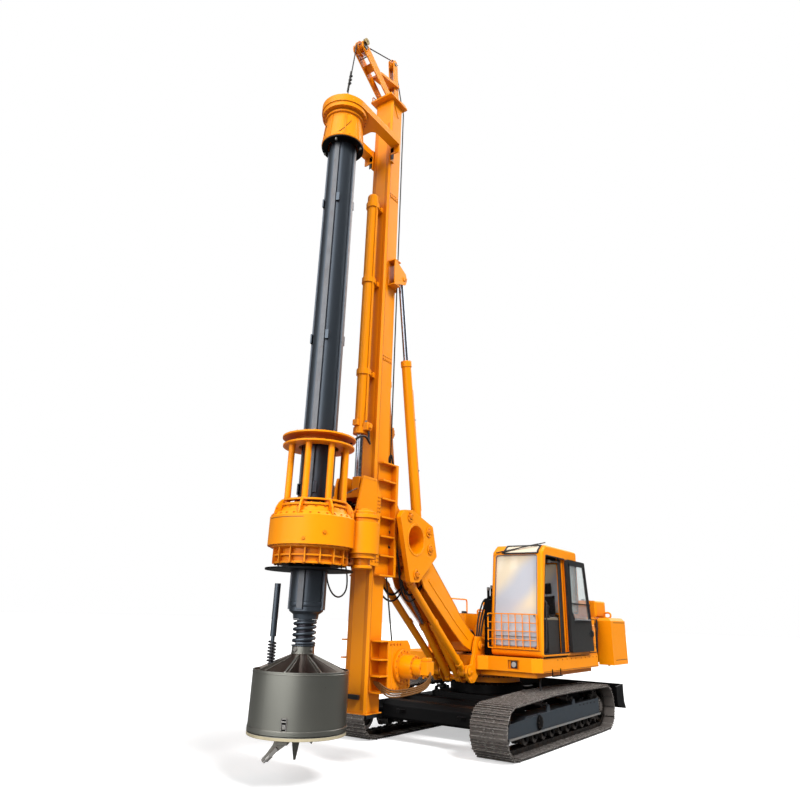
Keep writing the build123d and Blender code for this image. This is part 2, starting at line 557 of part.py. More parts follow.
def mast_cylinder_rods():
    """The two mast cylinders' rods."""
    return mirrored_pair(cylinder_rod(MAST_CYLINDER_FOOT, MAST_CYLINDER_EYE, MAST_CYLINDER_Y, 1300, 46, 66, 50, 35))


# ---- mast ---------------------------------------------------------------------------------------------------
def mast_column():
    """Hollow box mast with a wide guide rail across its front."""
    b, w = MAST_BODY_HALF_WIDTH, MAST_RAIL_HALF_WIDTH
    rail_back = MAST_FRONT - MAST_RAIL_THICKNESS
    section = [(MAST_BACK, -b), (rail_back, -b), (rail_back, -w), (MAST_FRONT - 22, -w), (MAST_FRONT, -w + 40),
               (MAST_FRONT, w - 40), (MAST_FRONT - 22, w), (rail_back, w), (rail_back, b), (MAST_BACK, b)]
    hollow = [(MAST_BACK + MAST_WALL, -b + MAST_WALL), (MAST_FRONT - MAST_WALL, -b + MAST_WALL),
              (MAST_FRONT - MAST_WALL, b - MAST_WALL), (MAST_BACK + MAST_WALL, b - MAST_WALL)]
    column = flat_plate(outline(section), MAST_BOTTOM, MAST_TOP)
    column -= flat_plate(outline(hollow), MAST_BOTTOM + 20, MAST_TOP - 20)
    return column


def mast_cradle():
    """Ribbed side frames on the mast, with the lugs that hang it on the rocker plates."""
    low, high = 2560.0, 4340.0
    b = MAST_BODY_HALF_WIDTH
    side = block(3640, 4020, b + 0.5, b + 18, low, high)
    side += block(3600, 3660, b - 20, 300, low, high)
    for index in range(7):
        z = low + 12 + (high - low - 24) * index / 6
        side += block(3620, 4015, b + 10, 295, z - 12, z + 12)
    lug = outline([(3650, 3320), (3650, 3700), (3520, 3610), (3400, 3560), (3400, 3450), (3500, 3410)], 20)
    side += side_plate(lug, 180, 300)
    side -= cross_pin(MAST_PIVOT[0], MAST_PIVOT[1], 46, 170, 310)
    cradle = mirrored_pair(side)
    cradle += block(3600, 3640, -200, 200, low, high)
    return cradle


def cylinder_bracket():
    """Bracket high on the mast's back that the mast cylinders' rods hang from."""
    x, z = MAST_CYLINDER_EYE
    b = MAST_BODY_HALF_WIDTH
    rear = MAST_BACK + 240
    bracket = block(MAST_BACK - 30, MAST_BACK - 0.5, -b - 16, b + 16, z - 260, z + 320)
    lug = outline([(rear, z - 230), (rear, z + 300), (x - 60, z + 120), (x - 95, z), (x - 60, z - 100)], 30)
    for y in (b + 8.5, 2 * MAST_CYLINDER_Y - b - 8.5):
        bracket += mirrored_pair(side_plate(lug, y - 8, y + 8))
    outer = 2 * MAST_CYLINDER_Y - b
    for height in (-215.0, 285.0):
        bracket += mirrored_pair(block(MAST_BACK + 60, rear, b + 0.5, outer, z + height - 10, z + height + 10))
    return bracket


def mast_head():
    """Head plate on its gussets, with the forward jib arms and the short rear post."""
    top = MAST_TOP + 40.5
    plate = flat_plate(outline([(3660, -265), (4240, -265), (4240, 265), (3660, 265)], 15), MAST_TOP + 0.5, top)
    b = MAST_BODY_HALF_WIDTH
    gusset = outline([(3700, MAST_TOP + 1), (4050, MAST_TOP + 1), (3860, MAST_TOP - 330)], 8)
    plate += mirrored_pair(side_plate(gusset, b + 0.5, b + 12.5))
    tip_x, tip_z = JIB_TIP
    jib = outline([(3870, top - 5), (4200, top - 5), (tip_x + 95, tip_z - 60), (tip_x + 110, tip_z + 60),
                   (tip_x + 10, tip_z + 135), (tip_x - 100, tip_z + 90)], 25)
    for y in (-105.0, 105.0):
        plate += side_plate(jib, y - 12, y + 12)
    plate += block(4040, 4110, -100, 100, top - 5, top + 150)
    cross = outline([(4560, 12330), (4580, 12310), (4700, 12420), (4680, 12440)])
    plate += side_plate(cross, -100, 100)
    post_x, post_z = POST_TIP
    post = outline([(3690, top - 5), (3840, top - 5), (post_x + 70, post_z), (post_x + 40, post_z + 100),
                    (post_x - 40, post_z + 100), (post_x - 75, post_z)], 22)
    for y in (-60.0, 60.0):
        plate += side_plate(post, y - 10, y + 10)
    brace = outline([(3790, 12480), (4420, 12330), (4420, 12390), (3790, 12550)])
    plate += side_plate(brace, -118, 118)
    for (x, z), half in ((JIB_TIP, 117), (POST_TIP, 70)):
        plate += cross_pin(x, z, 25, -half, half)
    return plate


def head_sheaves():
    """Rope sheaves at the jib tip and at the rear post."""
    wheels = []
    for (x, z), radius, half in ((JIB_TIP, 150.0, 60.0), (POST_TIP, 125.0, 36.0)):
        profile = [(26, -half), (radius * 0.45, -half), (radius * 0.45, -18), (radius - 45, -18), (radius, -32),
                   (radius, -24), (radius - 26, -9), (radius - 26, 9), (radius, 24), (radius, 32),
                   (radius - 45, 18), (radius * 0.45, 18), (radius * 0.45, half), (26, half)]
        wheel = Rot(90, 0, 0) * revolve(Plane.XZ * outline(profile), axis=Axis.Z)
        wheels.append(Pos(x, 0, z) * wheel)
    return Compound(wheels)


def crowd_barrel():
    """Barrel of the crowd cylinder on the mast's front, bored for its rod, with its clamps."""
    barrel = upright(CROWD_X, 0, 105, 4780, 9400) + upright(CROWD_X, 0, 122, 4780, 4860)
    barrel -= upright(CROWD_X, 0, 62, 4700, 9200)
    for z in (5840.0, 7600.0, 9200.0):
        barrel += upright(CROWD_X, 0, 125, z - 50, z + 50) - upright(CROWD_X, 0, 80, z - 60, z + 60)
        barrel += block(MAST_FRONT + 0.5, CROWD_X - 80, -90, 90, z - 45, z + 45)
    return barrel


def crowd_rod():
    """Plated crowd rod, pinned to the drive carriage."""
    rod = upright(CROWD_X, 0, 58, CROWD_PIN_Z, 7400)
    rod += cross_pin(CROWD_X, CROWD_PIN_Z, 75, -60, 60)
    return rod


def winch_frame():
    """Side plates, ties and mounting ribs of the hoist winch behind the mast's foot."""
    x, z = WINCH
    b = MAST_BODY_HALF_WIDTH
    plate = outline([(x - 230, 1000), (x - 110, 940), (3840, 940), (3840, 1650), (x - 150, 1650), (x - 230, 1560)], 25)
    side = side_plate(plate, 360, 385)
    for height in (955.0, 1170.0, 1390.0, 1640.0):
        side += block(3802, 4015, b + 0.5, 380, height - 10, height + 10)
    side += block(3745, 4015, b + 0.5, b + 16, 950, 1640)
    frame = mirrored_pair(side)
    frame += block(3700, MAST_BACK - 0.5, -384, 384, 950, 1010) + block(3700, MAST_BACK - 0.5, -384, 384, 1585, 1645)
    return frame - cross_pin(x, z, 45, -400, 400)


def winch_motor():
    """Bolted flange, planetary case and hydraulic motor on the winch's left end."""
    x, z = WINCH
    case = cross_pin(x, z, 235, 386, 430) + cross_pin(x, z, 165, 425, 640)
    case += cross_pin(x, z, 120, 635, 780) + block(x - 90, x + 90, 770, 900, z - 90, z + 90)
    return case


def winch_drum():
    """Rope drum between the winch's side plates."""
    profile = [(0, -380), (40, -380), (40, -345), (240, -345), (240, -325), (185, -325), (185, 325), (240, 325),
               (240, 345), (40, 345), (40, 380), (0, 380)]
    return Pos(WINCH[0], 0, WINCH[1]) * Rot(90, 0, 0) * revolve(Plane.XZ * outline(profile), axis=Axis.Z)


# ---- rotary drive, kelly and bucket --------------------------------------------------------------------------
def drive_carriage():
    """Sledge that carries the rotary drive down the mast's front rail."""
    cheek = outline([(4030, 2700), (4760, 2700), (4760, 3440), (4640, 3460), (4500, 4020), (4160, 4020),
                     (4120, 3900), (4030, 3800)], 20)
    side = side_plate(cheek, 240, 275)
    for z_low, z_high in ((2720.0, 3020.0), (3480.0, 3780.0)):
        side += block(4026, 4059, 182, 245, z_low, z_high)
        side += block(4026, 4120, 218, 245, z_low, z_high)
    sledge = mirrored_pair(side)
    sledge += block(4119, 4180, -260, 260, 2720, 3700) + block(4140, 4660, -250, 250, 2720, 2780)
    sledge += block(4140, 4620, -250, 250, 3380, 3430)
    sledge += block(4180, 4520, -200, -62.5, 3700, 4010) + block(4180, 4520, 62.5, 200, 3700, 4010)
    sledge += block(4119, 4520, -200, 200, 3690, 3760)
    return sledge - upright(KELLY_X, 0, CASE_R + 0.5, 2500, 3500)


def gear_case():
    """Rotary drive's main gear case with its ribbed lower band and upper ring, open through the middle."""
    k = CASE_BORE_R
    profile = [(k, BAND_BOTTOM), (505, BAND_BOTTOM), (505, BAND_BOTTOM + 26), (470, BAND_BOTTOM + 30), (470, 2715),
               (512, 2719), (512, 2743), (470, 2747), (470, 2810), (560, 2835), (560, CASE_BOTTOM),
               (CASE_R, CASE_BOTTOM), (CASE_R, CASE_TOP), (560, CASE_TOP + 60), (520, CASE_TOP + 65),
               (480, CASE_TOP + 150), (k, CASE_TOP + 150)]
    case = turned(KELLY_X, 0, profile)
    for index in range(16):
        rib = block(460, 535, -9, 9, BAND_BOTTOM + 10, 2852)
        case += Pos(KELLY_X, 0, 0) * Rot(0, 0, 22.5 * index + 11.25) * rib
    pinion = [(0, 2610), (150, 2610), (150, 2648), (118, 2655), (118, 2742), (200, 2742), (200, 2800),
              (235, 2806), (235, 3240), (0, 3240)]
    case += mirrored_pair(turned(PINION[0], PINION[1], pinion) - upright(KELLY_X, 0, 550, 2600, 3300))
    return case


def drive_motors():
    """Stepped caps of the two pinion drives on the gear case."""
    profile = [(0, 3240.5), (205, 3240.5), (205, 3296), (228, 3302), (228, 3352), (178, 3360), (178, 3400),
               (120, 3420), (120, 3440), (0, 3440)]
    return mirrored_pair(turned(PINION[0], PINION[1], profile) - upright(KELLY_X, 0, CASE_R + 3, 3200, 3700))


def drive_cage():
    """Upper guide cage: a crown of curved lugs, eight posts and a double ring."""
    low = CASE_TOP + 150
    cage = turned(KELLY_X, 0, [(330, low), (500, low), (500, low + 30), (330, low + 30)])
    cage += turned(KELLY_X, 0, [(380, low + 70), (490, low + 70), (490, low + 95), (380, low + 95)])
    cage += turned(KELLY_X, 0, [(300, 4300), (535, 4300), (535, 4325), (300, 4325)])
    cage += turned(KELLY_X, 0, [(300, 4425), (550, 4425), (550, 4450), (300, 4450)])
    cage += turned(KELLY_X, 0, [(330, 4320), (360, 4320), (360, 4430), (330, 4430)])
    lug = outline([(420, low + 95), (420, low + 1), (483, low + 1), (524, low - 82), (562, low - 87),
                   (606, low - 140), (606, low - 105), (585, low - 20), (545, low + 50), (488, low + 95)])
    for index in range(8):
        degrees = 45 * index + 22.5
        angle = math.radians(degrees)
        cage += upright(KELLY_X + 430 * math.cos(angle), 430 * math.sin(angle), 46, low + 20, 4310)
        cage += Pos(KELLY_X, 0, 0) * Rot(0, 0, degrees) * side_plate(lug, -13, 13)
    return cage


def drive_sleeve():
    """Turning sleeve inside the drive, with the dark dust disc under it."""
    inner = KELLY_KEY_R + 12
    profile = [(inner, DISC_BOTTOM), (615, DISC_BOTTOM), (615, DISC_BOTTOM + DISC_THICKNESS),
               (inner + 50, DISC_BOTTOM + DISC_THICKNESS), (inner + 24, BAND_BOTTOM - 20), (inner + 24, 3500), (inner, 3500)]
    sleeve = turned(KELLY_X, 0, profile)
    for index in range(ADAPTER_BOLTS):
        angle = 2 * math.pi * index / ADAPTER_BOLTS
        x = KELLY_X + ADAPTER_PCD / 2 * math.cos(angle)
        sleeve -= upright(x, ADAPTER_PCD / 2 * math.sin(angle), ADAPTER_HOLE_R, DISC_BOTTOM - 10, BAND_BOTTOM)
    return sleeve


def kelly_guide():
    """Head that steadies the kelly's top: a forked plate on the mast's rail over a bolted, flanged neck."""
    reach = MAST_FRONT + 20
    plan = make_face(Polyline((KELLY_X, -GUIDE_R), (reach, -GUIDE_R), (reach, GUIDE_R), (KELLY_X, GUIDE_R))
                     + ThreePointArc((KELLY_X, GUIDE_R), (KELLY_X + GUIDE_R, 0), (KELLY_X, -GUIDE_R)))
    slot = outline([(4000, -235), (4700, -235), (4700, 235), (4000, 235)], 110)
    head = flat_plate(plan, GUIDE_BOTTOM, GUIDE_TOP) - flat_plate(slot, GUIDE_BOTTOM - 5, GUIDE_TOP + 5)
    neck = [(275, 9875), (372, 9875), (385, 9890), (385, 9912), (368, 9918), (322, 10400), (322, 10440),
            (352, 10440), (352, 10476), (330, 10480), (330, 10520), (412, 10520), (412, GUIDE_BOTTOM + 1),
            (300, GUIDE_BOTTOM + 1), (300, GUIDE_TOP), (300, 10880), (230, 10950), (200, 10950), (200, 10800),
            (275, 10780)]
    head -= upright(KELLY_X, 0, 290, GUIDE_BOTTOM - 5, GUIDE_TOP + 5)
    head += turned(KELLY_X, 0, neck)
    for index in range(8):
        rib = outline([(300, 9900), (382, 9915), (340, 10400), (300, 10400)])
        head += Pos(KELLY_X, 0, 0) * Rot(0, 0, 45 * index) * side_plate(rib, -9, 9)
    w = MAST_RAIL_HALF_WIDTH
    side = block(4026, reach, w + 8, w + 34, 10300, GUIDE_TOP) + block(4026, 4059, w - 30, w + 12, 10300, GUIDE_TOP)
    side += block(reach - 24, reach, w + 8, GUIDE_R - 10, GUIDE_BOTTOM - 170, GUIDE_BOTTOM + 5)
    return head + mirrored_pair(side)


def kelly_bar():
    """Outer kelly tube with four long drive keys and a tapered foot on its stub."""
    tube = turned(KELLY_X, 0, [(KELLY_BORE_R, KELLY_BOTTOM + 60), (KELLY_TUBE_R, KELLY_BOTTOM + 60),
                               (KELLY_TUBE_R, KELLY_TOP), (KELLY_BORE_R, KELLY_TOP)])
    for index in range(4):
        key = block(KELLY_TUBE_R - 12, KELLY_KEY_R, -42, 42, KELLY_BOTTOM + 20, KELLY_TOP - 200)
        tube += Pos(KELLY_X, 0, 0) * Rot(0, 0, 90 * index + 20) * key
    foot = turned(KELLY_X, 0, [(0, COLLAR_BOTTOM + 70), (90, COLLAR_BOTTOM + 70), (90, KELLY_STUB_BOTTOM),
                               (KELLY_STUB_R, KELLY_STUB_BOTTOM), (KELLY_STUB_R + 8, KELLY_STUB_BOTTOM + 60),
                               (KELLY_TUBE_R, KELLY_BOTTOM), (KELLY_TUBE_R, KELLY_BOTTOM + 62), (0, KELLY_BOTTOM + 62)])
    return tube + foot


def kelly_spring():
    """Spring pack on the kelly's foot, as its ribbed outer shape."""
    turns = 5
    low, high = KELLY_SPRING_BOTTOM + 5, KELLY_STUB_BOTTOM - 5
    pitch = (high - low) / turns
    profile = [(94, low)]
    for index in range(turns):
        z = low + pitch * index
        profile += [(128, z), (163, z + pitch * 0.25), (163, z + pitch * 0.55), (128, z + pitch * 0.8)]
    profile += [(128, high), (94, high)]
    return turned(KELLY_X, 0, profile)


def bucket():
    """Drilling bucket: open drum with a ribbed cone and a kelly box on top, a latch slot and the gate's hinge."""
    shell = turned(KELLY_X, 0, [(BUCKET_R - BUCKET_WALL, BUCKET_BOTTOM), (BUCKET_R, BUCKET_BOTTOM),
                                (BUCKET_R, BUCKET_BOTTOM + 48), (BUCKET_R - 7, BUCKET_BOTTOM + 52),
                                (BUCKET_R - 7, BUCKET_TOP), (BUCKET_R - BUCKET_WALL, BUCKET_TOP)])
    shell += turned(KELLY_X, 0, [(0, BUCKET_TOP - 60), (BUCKET_R - 10, BUCKET_TOP - 60),
                                 (BUCKET_R - 10, BUCKET_TOP - 30), (0, BUCKET_TOP - 30)])
    shell += turned(KELLY_X, 0, [(0, BUCKET_TOP - 40), (130, BUCKET_TOP - 40), (130, COLLAR_BOTTOM),
                                 (152, COLLAR_BOTTOM), (152, KELLY_SPRING_BOTTOM), (95, KELLY_SPRING_BOTTOM),
                                 (95, COLLAR_BOTTOM + 65), (0, COLLAR_BOTTOM + 65)])
    for index in range(8):
        rib = outline([(120, BUCKET_TOP - 40), (BUCKET_R - 30, BUCKET_TOP - 40), (BUCKET_R - 45, BUCKET_TOP + 6),
                       (152, COLLAR_BOTTOM - 4), (120, COLLAR_BOTTOM - 4)])
        shell += Pos(KELLY_X, 0, 0) * Rot(0, 0, 45 * index + 22.5) * side_plate(rib, -10, 10)
    slot = Pos(KELLY_X, 0, 0) * Rot(0, 0, LATCH_ANGLE) * block(BUCKET_R - 40, BUCKET_R + 20, -24, 24, 662, 782)
    shell -= slot
    hinge_x = KELLY_X - GATE_HINGE_OFFSET
    ear = outline([(hinge_x - 34, GATE_HINGE_Z - 24), (hinge_x + 4, GATE_HINGE_Z - 24), (hinge_x + 20, GATE_HINGE_Z - 10),
                   (hinge_x + 20, BUCKET_BOTTOM + 4), (hinge_x + 48, BUCKET_BOTTOM + 8),
                   (hinge_x + 48, BUCKET_BOTTOM + 150), (hinge_x - 34, BUCKET_BOTTOM + 60)])
    shell += mirrored_pair(side_plate(ear, 62, 92))
    return shell + cross_pin(hinge_x, GATE_HINGE_Z, 17, -90, 90)


def push_rod():
    """Upright opening rod beside the kelly's foot, with its spring seat on the bucket's cone."""
    x = KELLY_X + PUSH_ROD_OFFSET * math.cos(PUSH_ROD_ANGLE)
    y = PUSH_ROD_OFFSET * math.sin(PUSH_ROD_ANGLE)
    rod = upright(x, y, 46, BUCKET_TOP - 29.5, 1330)
    return rod + upright(x, y, 26, 1320, 1700) + upright(x, y, 42, 1690, 2370)


def tooth_row(radii, points, bar):
    """Row of inclined teeth along one radius under the gate, on a common bar."""
    low = BUCKET_BOTTOM - 8 - GATE_THICKNESS
    row = block(radii[0] - 40, radii[-1] + 35, bar[0], bar[1], low - bar[2], low + 5)
    plane = Plane(origin=(0, 0, low), x_dir=(0, -1, 0), z_dir=(-1, 0, 0))
    for radius in radii:
        row += Pos(radius + 27, 0, 0) * (plane * extrude(outline(points), amount=54))
    return row


def bucket_gate():
    """Hinged bottom of the bucket with its cutting teeth, centre pilot and hinge knuckle."""
    high = BUCKET_BOTTOM - 8
    low = high - GATE_THICKNESS
    edge = BUCKET_R - 2
    gate = turned(KELLY_X, 0, [(0, low), (edge, low), (edge, high), (0, high)])
    gate += turned(KELLY_X, 0, [(0, 250), (16, 258), (62, low - 20), (62, low + 5), (0, low + 5)])
    long_teeth = tooth_row((190, 300, 410, 520), [(40, 3), (185, 3), (205, -50), (325, -215), (300, -232), (60, -60)],
                           (-150, -30, 52))
    short_teeth = tooth_row((190, 330, 470), [(40, 3), (120, 3), (200, -120), (180, -140), (60, -45)],
                            (-110, -30, 35))
    gate += Pos(KELLY_X, 0, 0) * Rot(0, 0, CUTTER_ANGLE) * long_teeth
    gate += Pos(KELLY_X, 0, 0) * Rot(0, 0, CUTTER_ANGLE + 180) * short_teeth
    hinge_x = KELLY_X - GATE_HINGE_OFFSET
    gate += cross_pin(hinge_x, GATE_HINGE_Z, 30, -56, 56)
    gate += block(hinge_x, KELLY_X - edge + 40, -56, 56, low + 4, high - 4)
    return gate - cross_pin(hinge_x, GATE_HINGE_Z, 18, -60, 60)


# ---- assembly -----------------------------------------------------------------------------------------------
def cab_glass():
    """Panes seated in the middle of the cab's wall openings."""
    x, low, bend, high = CAB_FRONT - 22, CAB_BOTTOM + 150, CAB_BOTTOM + 330, CAB_TOP - 170
    front = outline([(x, low), (x, bend), (x - 154, high), (x - 162, high), (x - 8, bend), (x - 8, low)])
    panes = [side_plate(front, CAB_INNER, CAB_OUTER) & screen_prism(2)]
    panes.append(block(CAB_REAR + 15, CAB_REAR + 21, CAB_INNER + 122, CAB_OUTER - 122, 2152, CAB_TOP - 222))
    panes.append(block(-58, 438, CAB_INNER + 132, CAB_OUTER - 132, CAB_TOP - 25, CAB_TOP - 19))
    return Compound(panes)


def all_nodes():
    """Every node of the machine, by name."""
    nodes = {
        "centre_frame": centre_frame(),
        "front_guard_beam": front_beam(),
        "slew_ring": slew_ring(),
        "rear_blade": rear_blade(),
        "deck": deck(),
        "machinery_housing": machinery_housing(),
        "engine_hood": engine_hood(),
        "engine_block": engine_block(),
        "counterweight": counterweight(),
        "cab_shell": cab_shell(),
        "cab_glass": cab_glass(),
        "cab_door": cab_door(),
        "operator_seat": operator_seat(),
        "control_console": control_console(),
        "window_guard": window_guard(),
        "valve_block": valve_block(),
        "boom": boom(),
        "lower_links": lower_links(),
        "triangle_frame": triangle_frame(),
        "boom_cylinder_barrels": boom_cylinder_barrels(),
        "boom_cylinder_rods": boom_cylinder_rods(),
        "mast_cylinder_barrels": mast_cylinder_barrels(),
        "mast_cylinder_rods": mast_cylinder_rods(),
        "mast_column": mast_column(),
        "mast_cradle": mast_cradle(),
        "cylinder_bracket": cylinder_bracket(),
        "mast_head": mast_head(),
        "head_sheaves": head_sheaves(),
        "crowd_barrel": crowd_barrel(),
        "crowd_rod": crowd_rod(),
        "winch_frame": winch_frame(),
        "winch_motor": winch_motor(),
        "winch_drum": winch_drum(),
        "drive_carriage": drive_carriage(),
        "gear_case": gear_case(),
        "drive_motors": drive_motors(),
        "drive_cage": drive_cage(),
        "drive_sleeve": drive_sleeve(),
        "kelly_guide": kelly_guide(),
        "kelly_bar": kelly_bar(),
        "kelly_spring": kelly_spring(),
        "bucket": bucket(),
        "push_rod": push_rod(),
        "bucket_gate": bucket_gate(),
    }
    for name, side in SIDES:
        nodes["track_" + name] = track(side)
        nodes["track_frame_" + name] = track_frame(side)
        nodes["idler_" + name] = idler(side)
        nodes["sprocket_" + name] = sprocket(side)
        nodes["rollers_" + name] = rollers(side)
    return nodes


os.makedirs("parts", exist_ok=True)
for node_name, node_shape in all_nodes().items():
    export_step(Pos(SLEW_X, 0, 0) * node_shape, "parts/" + node_name + ".step")
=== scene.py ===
"""Looks of a rotary piling rig: finishes, tracks, trim, hoses, ropes and seat over the fixed frame."""

import json
import logging
import math
from dataclasses import dataclass, field
from enum import Enum

import bmesh
import bpy
import numpy as np
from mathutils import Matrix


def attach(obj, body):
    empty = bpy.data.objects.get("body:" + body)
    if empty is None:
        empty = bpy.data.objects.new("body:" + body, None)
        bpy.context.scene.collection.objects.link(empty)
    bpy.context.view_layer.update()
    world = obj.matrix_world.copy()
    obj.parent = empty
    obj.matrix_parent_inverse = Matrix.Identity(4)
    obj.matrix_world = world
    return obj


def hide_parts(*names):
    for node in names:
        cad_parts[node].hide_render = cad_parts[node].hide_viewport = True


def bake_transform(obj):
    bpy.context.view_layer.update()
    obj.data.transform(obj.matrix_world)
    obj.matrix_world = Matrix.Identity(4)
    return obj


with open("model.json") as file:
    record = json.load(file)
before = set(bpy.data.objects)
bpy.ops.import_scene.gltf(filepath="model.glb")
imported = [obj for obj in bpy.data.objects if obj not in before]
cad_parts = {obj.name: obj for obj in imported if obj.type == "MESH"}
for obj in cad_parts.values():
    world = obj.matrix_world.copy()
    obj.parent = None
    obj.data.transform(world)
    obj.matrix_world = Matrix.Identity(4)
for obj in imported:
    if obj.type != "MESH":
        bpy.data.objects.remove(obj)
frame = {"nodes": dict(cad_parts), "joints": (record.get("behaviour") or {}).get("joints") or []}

LOG = logging.getLogger("piling_rig")
Pair = tuple[float, float]
Place = tuple[float, float, float]
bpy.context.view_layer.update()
SLEW_X = next(j["pos_m"][0] for j in frame["joints"] if j["name"] == "slew")
"""Place of the slew axis along X. Every size below is in metres, with X measured from that axis."""


class Body(Enum):
    """The moving bodies that a piece can ride on."""

    ROOT = "root"
    UPPER = "upper_structure"
    DOOR = "door"
    BOOM = "boom"
    LINKS = "links"
    TRIANGLE = "triangle"
    BOOM_BARRELS = "boom_barrels"
    MAST_BARRELS = "mast_barrels"
    MAST = "mast"
    DRUM = "drum"
    CARRIAGE = "carriage"
    GUIDE = "guide"
    KELLY = "kelly"
    GATE = "gate"


# ---- surfaces as whole arrays --------------------------------------------------------------------


@dataclass
class Shell:
    """A surface as points and faces.

    Fields:
        points: (n, 3) array of places.
        faces: list of (m, k) integer arrays, each row one face of k corners.
    """

    points: np.ndarray
    faces: list[np.ndarray]

    def moved(self, offset: Place) -> "Shell":
        """The same surface, shifted."""
        return Shell(self.points + np.asarray(offset, float), self.faces)

    def turned(self, axis: str, degrees: float, centre: Place = (0, 0, 0)) -> "Shell":
        """The same surface, turned about a line along X, Y or Z through the centre."""
        rotation = turn(axis, degrees)
        middle = np.asarray(centre, float)
        return Shell((self.points - middle) @ rotation.T + middle, self.faces)

    def mirrored(self) -> "Shell":
        """Its copy on the machine's other side, with the faces' order turned round."""
        return Shell(self.points * (1, -1, 1), [f[:, ::-1] for f in self.faces])


def turn(axis: str, degrees: float) -> np.ndarray:
    """Rotation matrix about X, Y or Z: the two other axes carry the cosine and the sine."""
    c, s = math.cos(math.radians(degrees)), math.sin(math.radians(degrees))
    return {
        "x": np.array([[1, 0, 0], [0, c, -s], [0, s, c]]),
        "y": np.array([[c, 0, s], [0, 1, 0], [-s, 0, c]]),
        "z": np.array([[c, -s, 0], [s, c, 0], [0, 0, 1]]),
    }[axis]


def joined(shells: list[Shell]) -> Shell:
    """One surface out of several, with each one's face numbers raised by the points before it."""
    starts = np.cumsum([0] + [len(s.points) for s in shells])
    faces = [f + start for s, start in zip(shells, starts) for f in s.faces]
    return Shell(np.concatenate([s.points for s in shells]), faces)


def both_sides(shells: list[Shell]) -> list[Shell]:
    """The surfaces and their mirrored copies."""
    return shells + [s.mirrored() for s in shells]


def lattice(rows: int, columns: int, wrap_rows: bool, wrap_columns: bool) -> np.ndarray:
    """Four-cornered faces between neighbouring points of a grid numbered row by row."""
    r = np.arange(rows if wrap_rows else rows - 1)[:, None]
    c = np.arange(columns if wrap_columns else columns - 1)[None, :]
    down, right = (r + 1) % rows, (c + 1) % columns
    corners = [r * columns + c, r * columns + right, down * columns + right, down * columns + c]
    return np.stack([np.broadcast_to(k, (r.size, c.size)).ravel() for k in corners], axis=1)


def lathe(profile: list[Pair], sides: int = 48, closed: bool = True) -> Shell:
    """Turned body about Z: (radius, height) rows carried round a full turn.

    Args:
        profile: Outline as (radius, height); where it is not closed it starts and ends on the axis.
        sides: Flat sides in the turn.
        closed: Whether the outline runs back to its start, as a ring's does.

    Returns:
        The surface, with x = radius * cos(angle) and y = radius * sin(angle).
    """
    r, z = np.array(profile, float).T
    angle = np.linspace(0, 2 * np.pi, sides, endpoint=False)[:, None]
    grid = np.stack([r * np.cos(angle), r * np.sin(angle), np.broadcast_to(z, (sides, len(z)))], axis=-1)
    return Shell(grid.reshape(-1, 3), [lattice(sides, len(r), True, closed)])


def prism(outline: list[Pair], low: float, high: float, along: str = "z") -> Shell:
    """Plate with a flat outline, carried from low to high along one axis.

    Args:
        outline: Corners in turn: (x, y) for "z", (x, z) for "y", (y, z) for "x".
        low: Where the plate starts on that axis.
        high: Where it ends.
        along: The axis that the plate's thickness runs along.

    Returns:
        The closed surface: two end faces and a band of sides.
    """
    flat = np.array(outline, float)
    ends = [np.insert(flat, {"x": 0, "y": 1, "z": 2}[along], level, axis=1) for level in (low, high)]
    count = len(flat)
    ring = np.arange(count)
    caps = [ring[None, ::-1], ring[None, :] + count]
    return Shell(np.concatenate(ends), [lattice(2, count, False, True), *caps])


def slab(low: Place, high: Place) -> Shell:
    """Rectangular plate or bar between two corners."""
    outline = [(low[0], low[1]), (high[0], low[1]), (high[0], high[1]), (low[0], high[1])]
    return prism(outline, low[2], high[2])


def smooth_run(corners: list[Place], samples: int = 40) -> np.ndarray:
    """Places along one smooth curve through the corners' neighbourhood.

    The curve is a quadratic B-spline with its ends held: each span blends three corners by
    (1 - t)^2 / 2, 1 / 2 + t * (1 - t) and t^2 / 2, where the first and last corners are carried out
    by their mirror image so that the curve starts and ends on them.
    """
    p = np.array(corners, float)
    p = np.concatenate([[2 * p[0] - p[1]], p, [2 * p[-1] - p[-2]]])
    u = np.linspace(0, len(p) - 2, samples, endpoint=True)
    span = np.minimum(u.astype(int), len(p) - 3)
    t = (u - span)[:, None]
    return (1 - t) ** 2 / 2 * p[span] + (0.5 + t * (1 - t)) * p[span + 1] + t**2 / 2 * p[span + 2]


def carried(section: np.ndarray, spine: np.ndarray, beside: Place) -> Shell:
    """A closed section carried along a run of places.

    Args:
        section: (k, 2) places across the run: the first number goes to its side, the second upwards.
        spine: (n, 3) places along the run.
        beside: A direction that is never along the run; each section's side is at right angles to it.

    Returns:
        The closed surface: place = spine + side * first + up * second, with flat ends.
    """
    step = np.gradient(spine, axis=0)
    step /= np.linalg.norm(step, axis=1, keepdims=True)
    side = np.cross(step, np.asarray(beside, float))
    side /= np.linalg.norm(side, axis=1, keepdims=True)
    up = np.cross(side, step)
    grid = spine[:, None] + side[:, None] * section[None, :, :1] + up[:, None] * section[None, :, 1:]
    count = len(section)
    ring = np.arange(count)
    caps = [ring[None, :], (ring + count * (len(spine) - 1))[None, ::-1]]
    return Shell(grid.reshape(-1, 3), [lattice(len(spine), count, False, True), *caps])


def circle(radius: float, sides: int = 12) -> np.ndarray:
    """Round section: (radius * cos, radius * sin) at even angles."""
    angle = np.linspace(0, 2 * np.pi, sides, endpoint=False)
    return radius * np.stack([np.cos(angle), np.sin(angle)], axis=1)


def hose(corners: list[Place], radius: float, beside: Place = (0, 1, 0.013),
         samples: int = 40) -> Shell:
    """Round hose, pipe or rod along a smooth run near the corners."""
    return carried(circle(radius), smooth_run(corners, samples), beside)


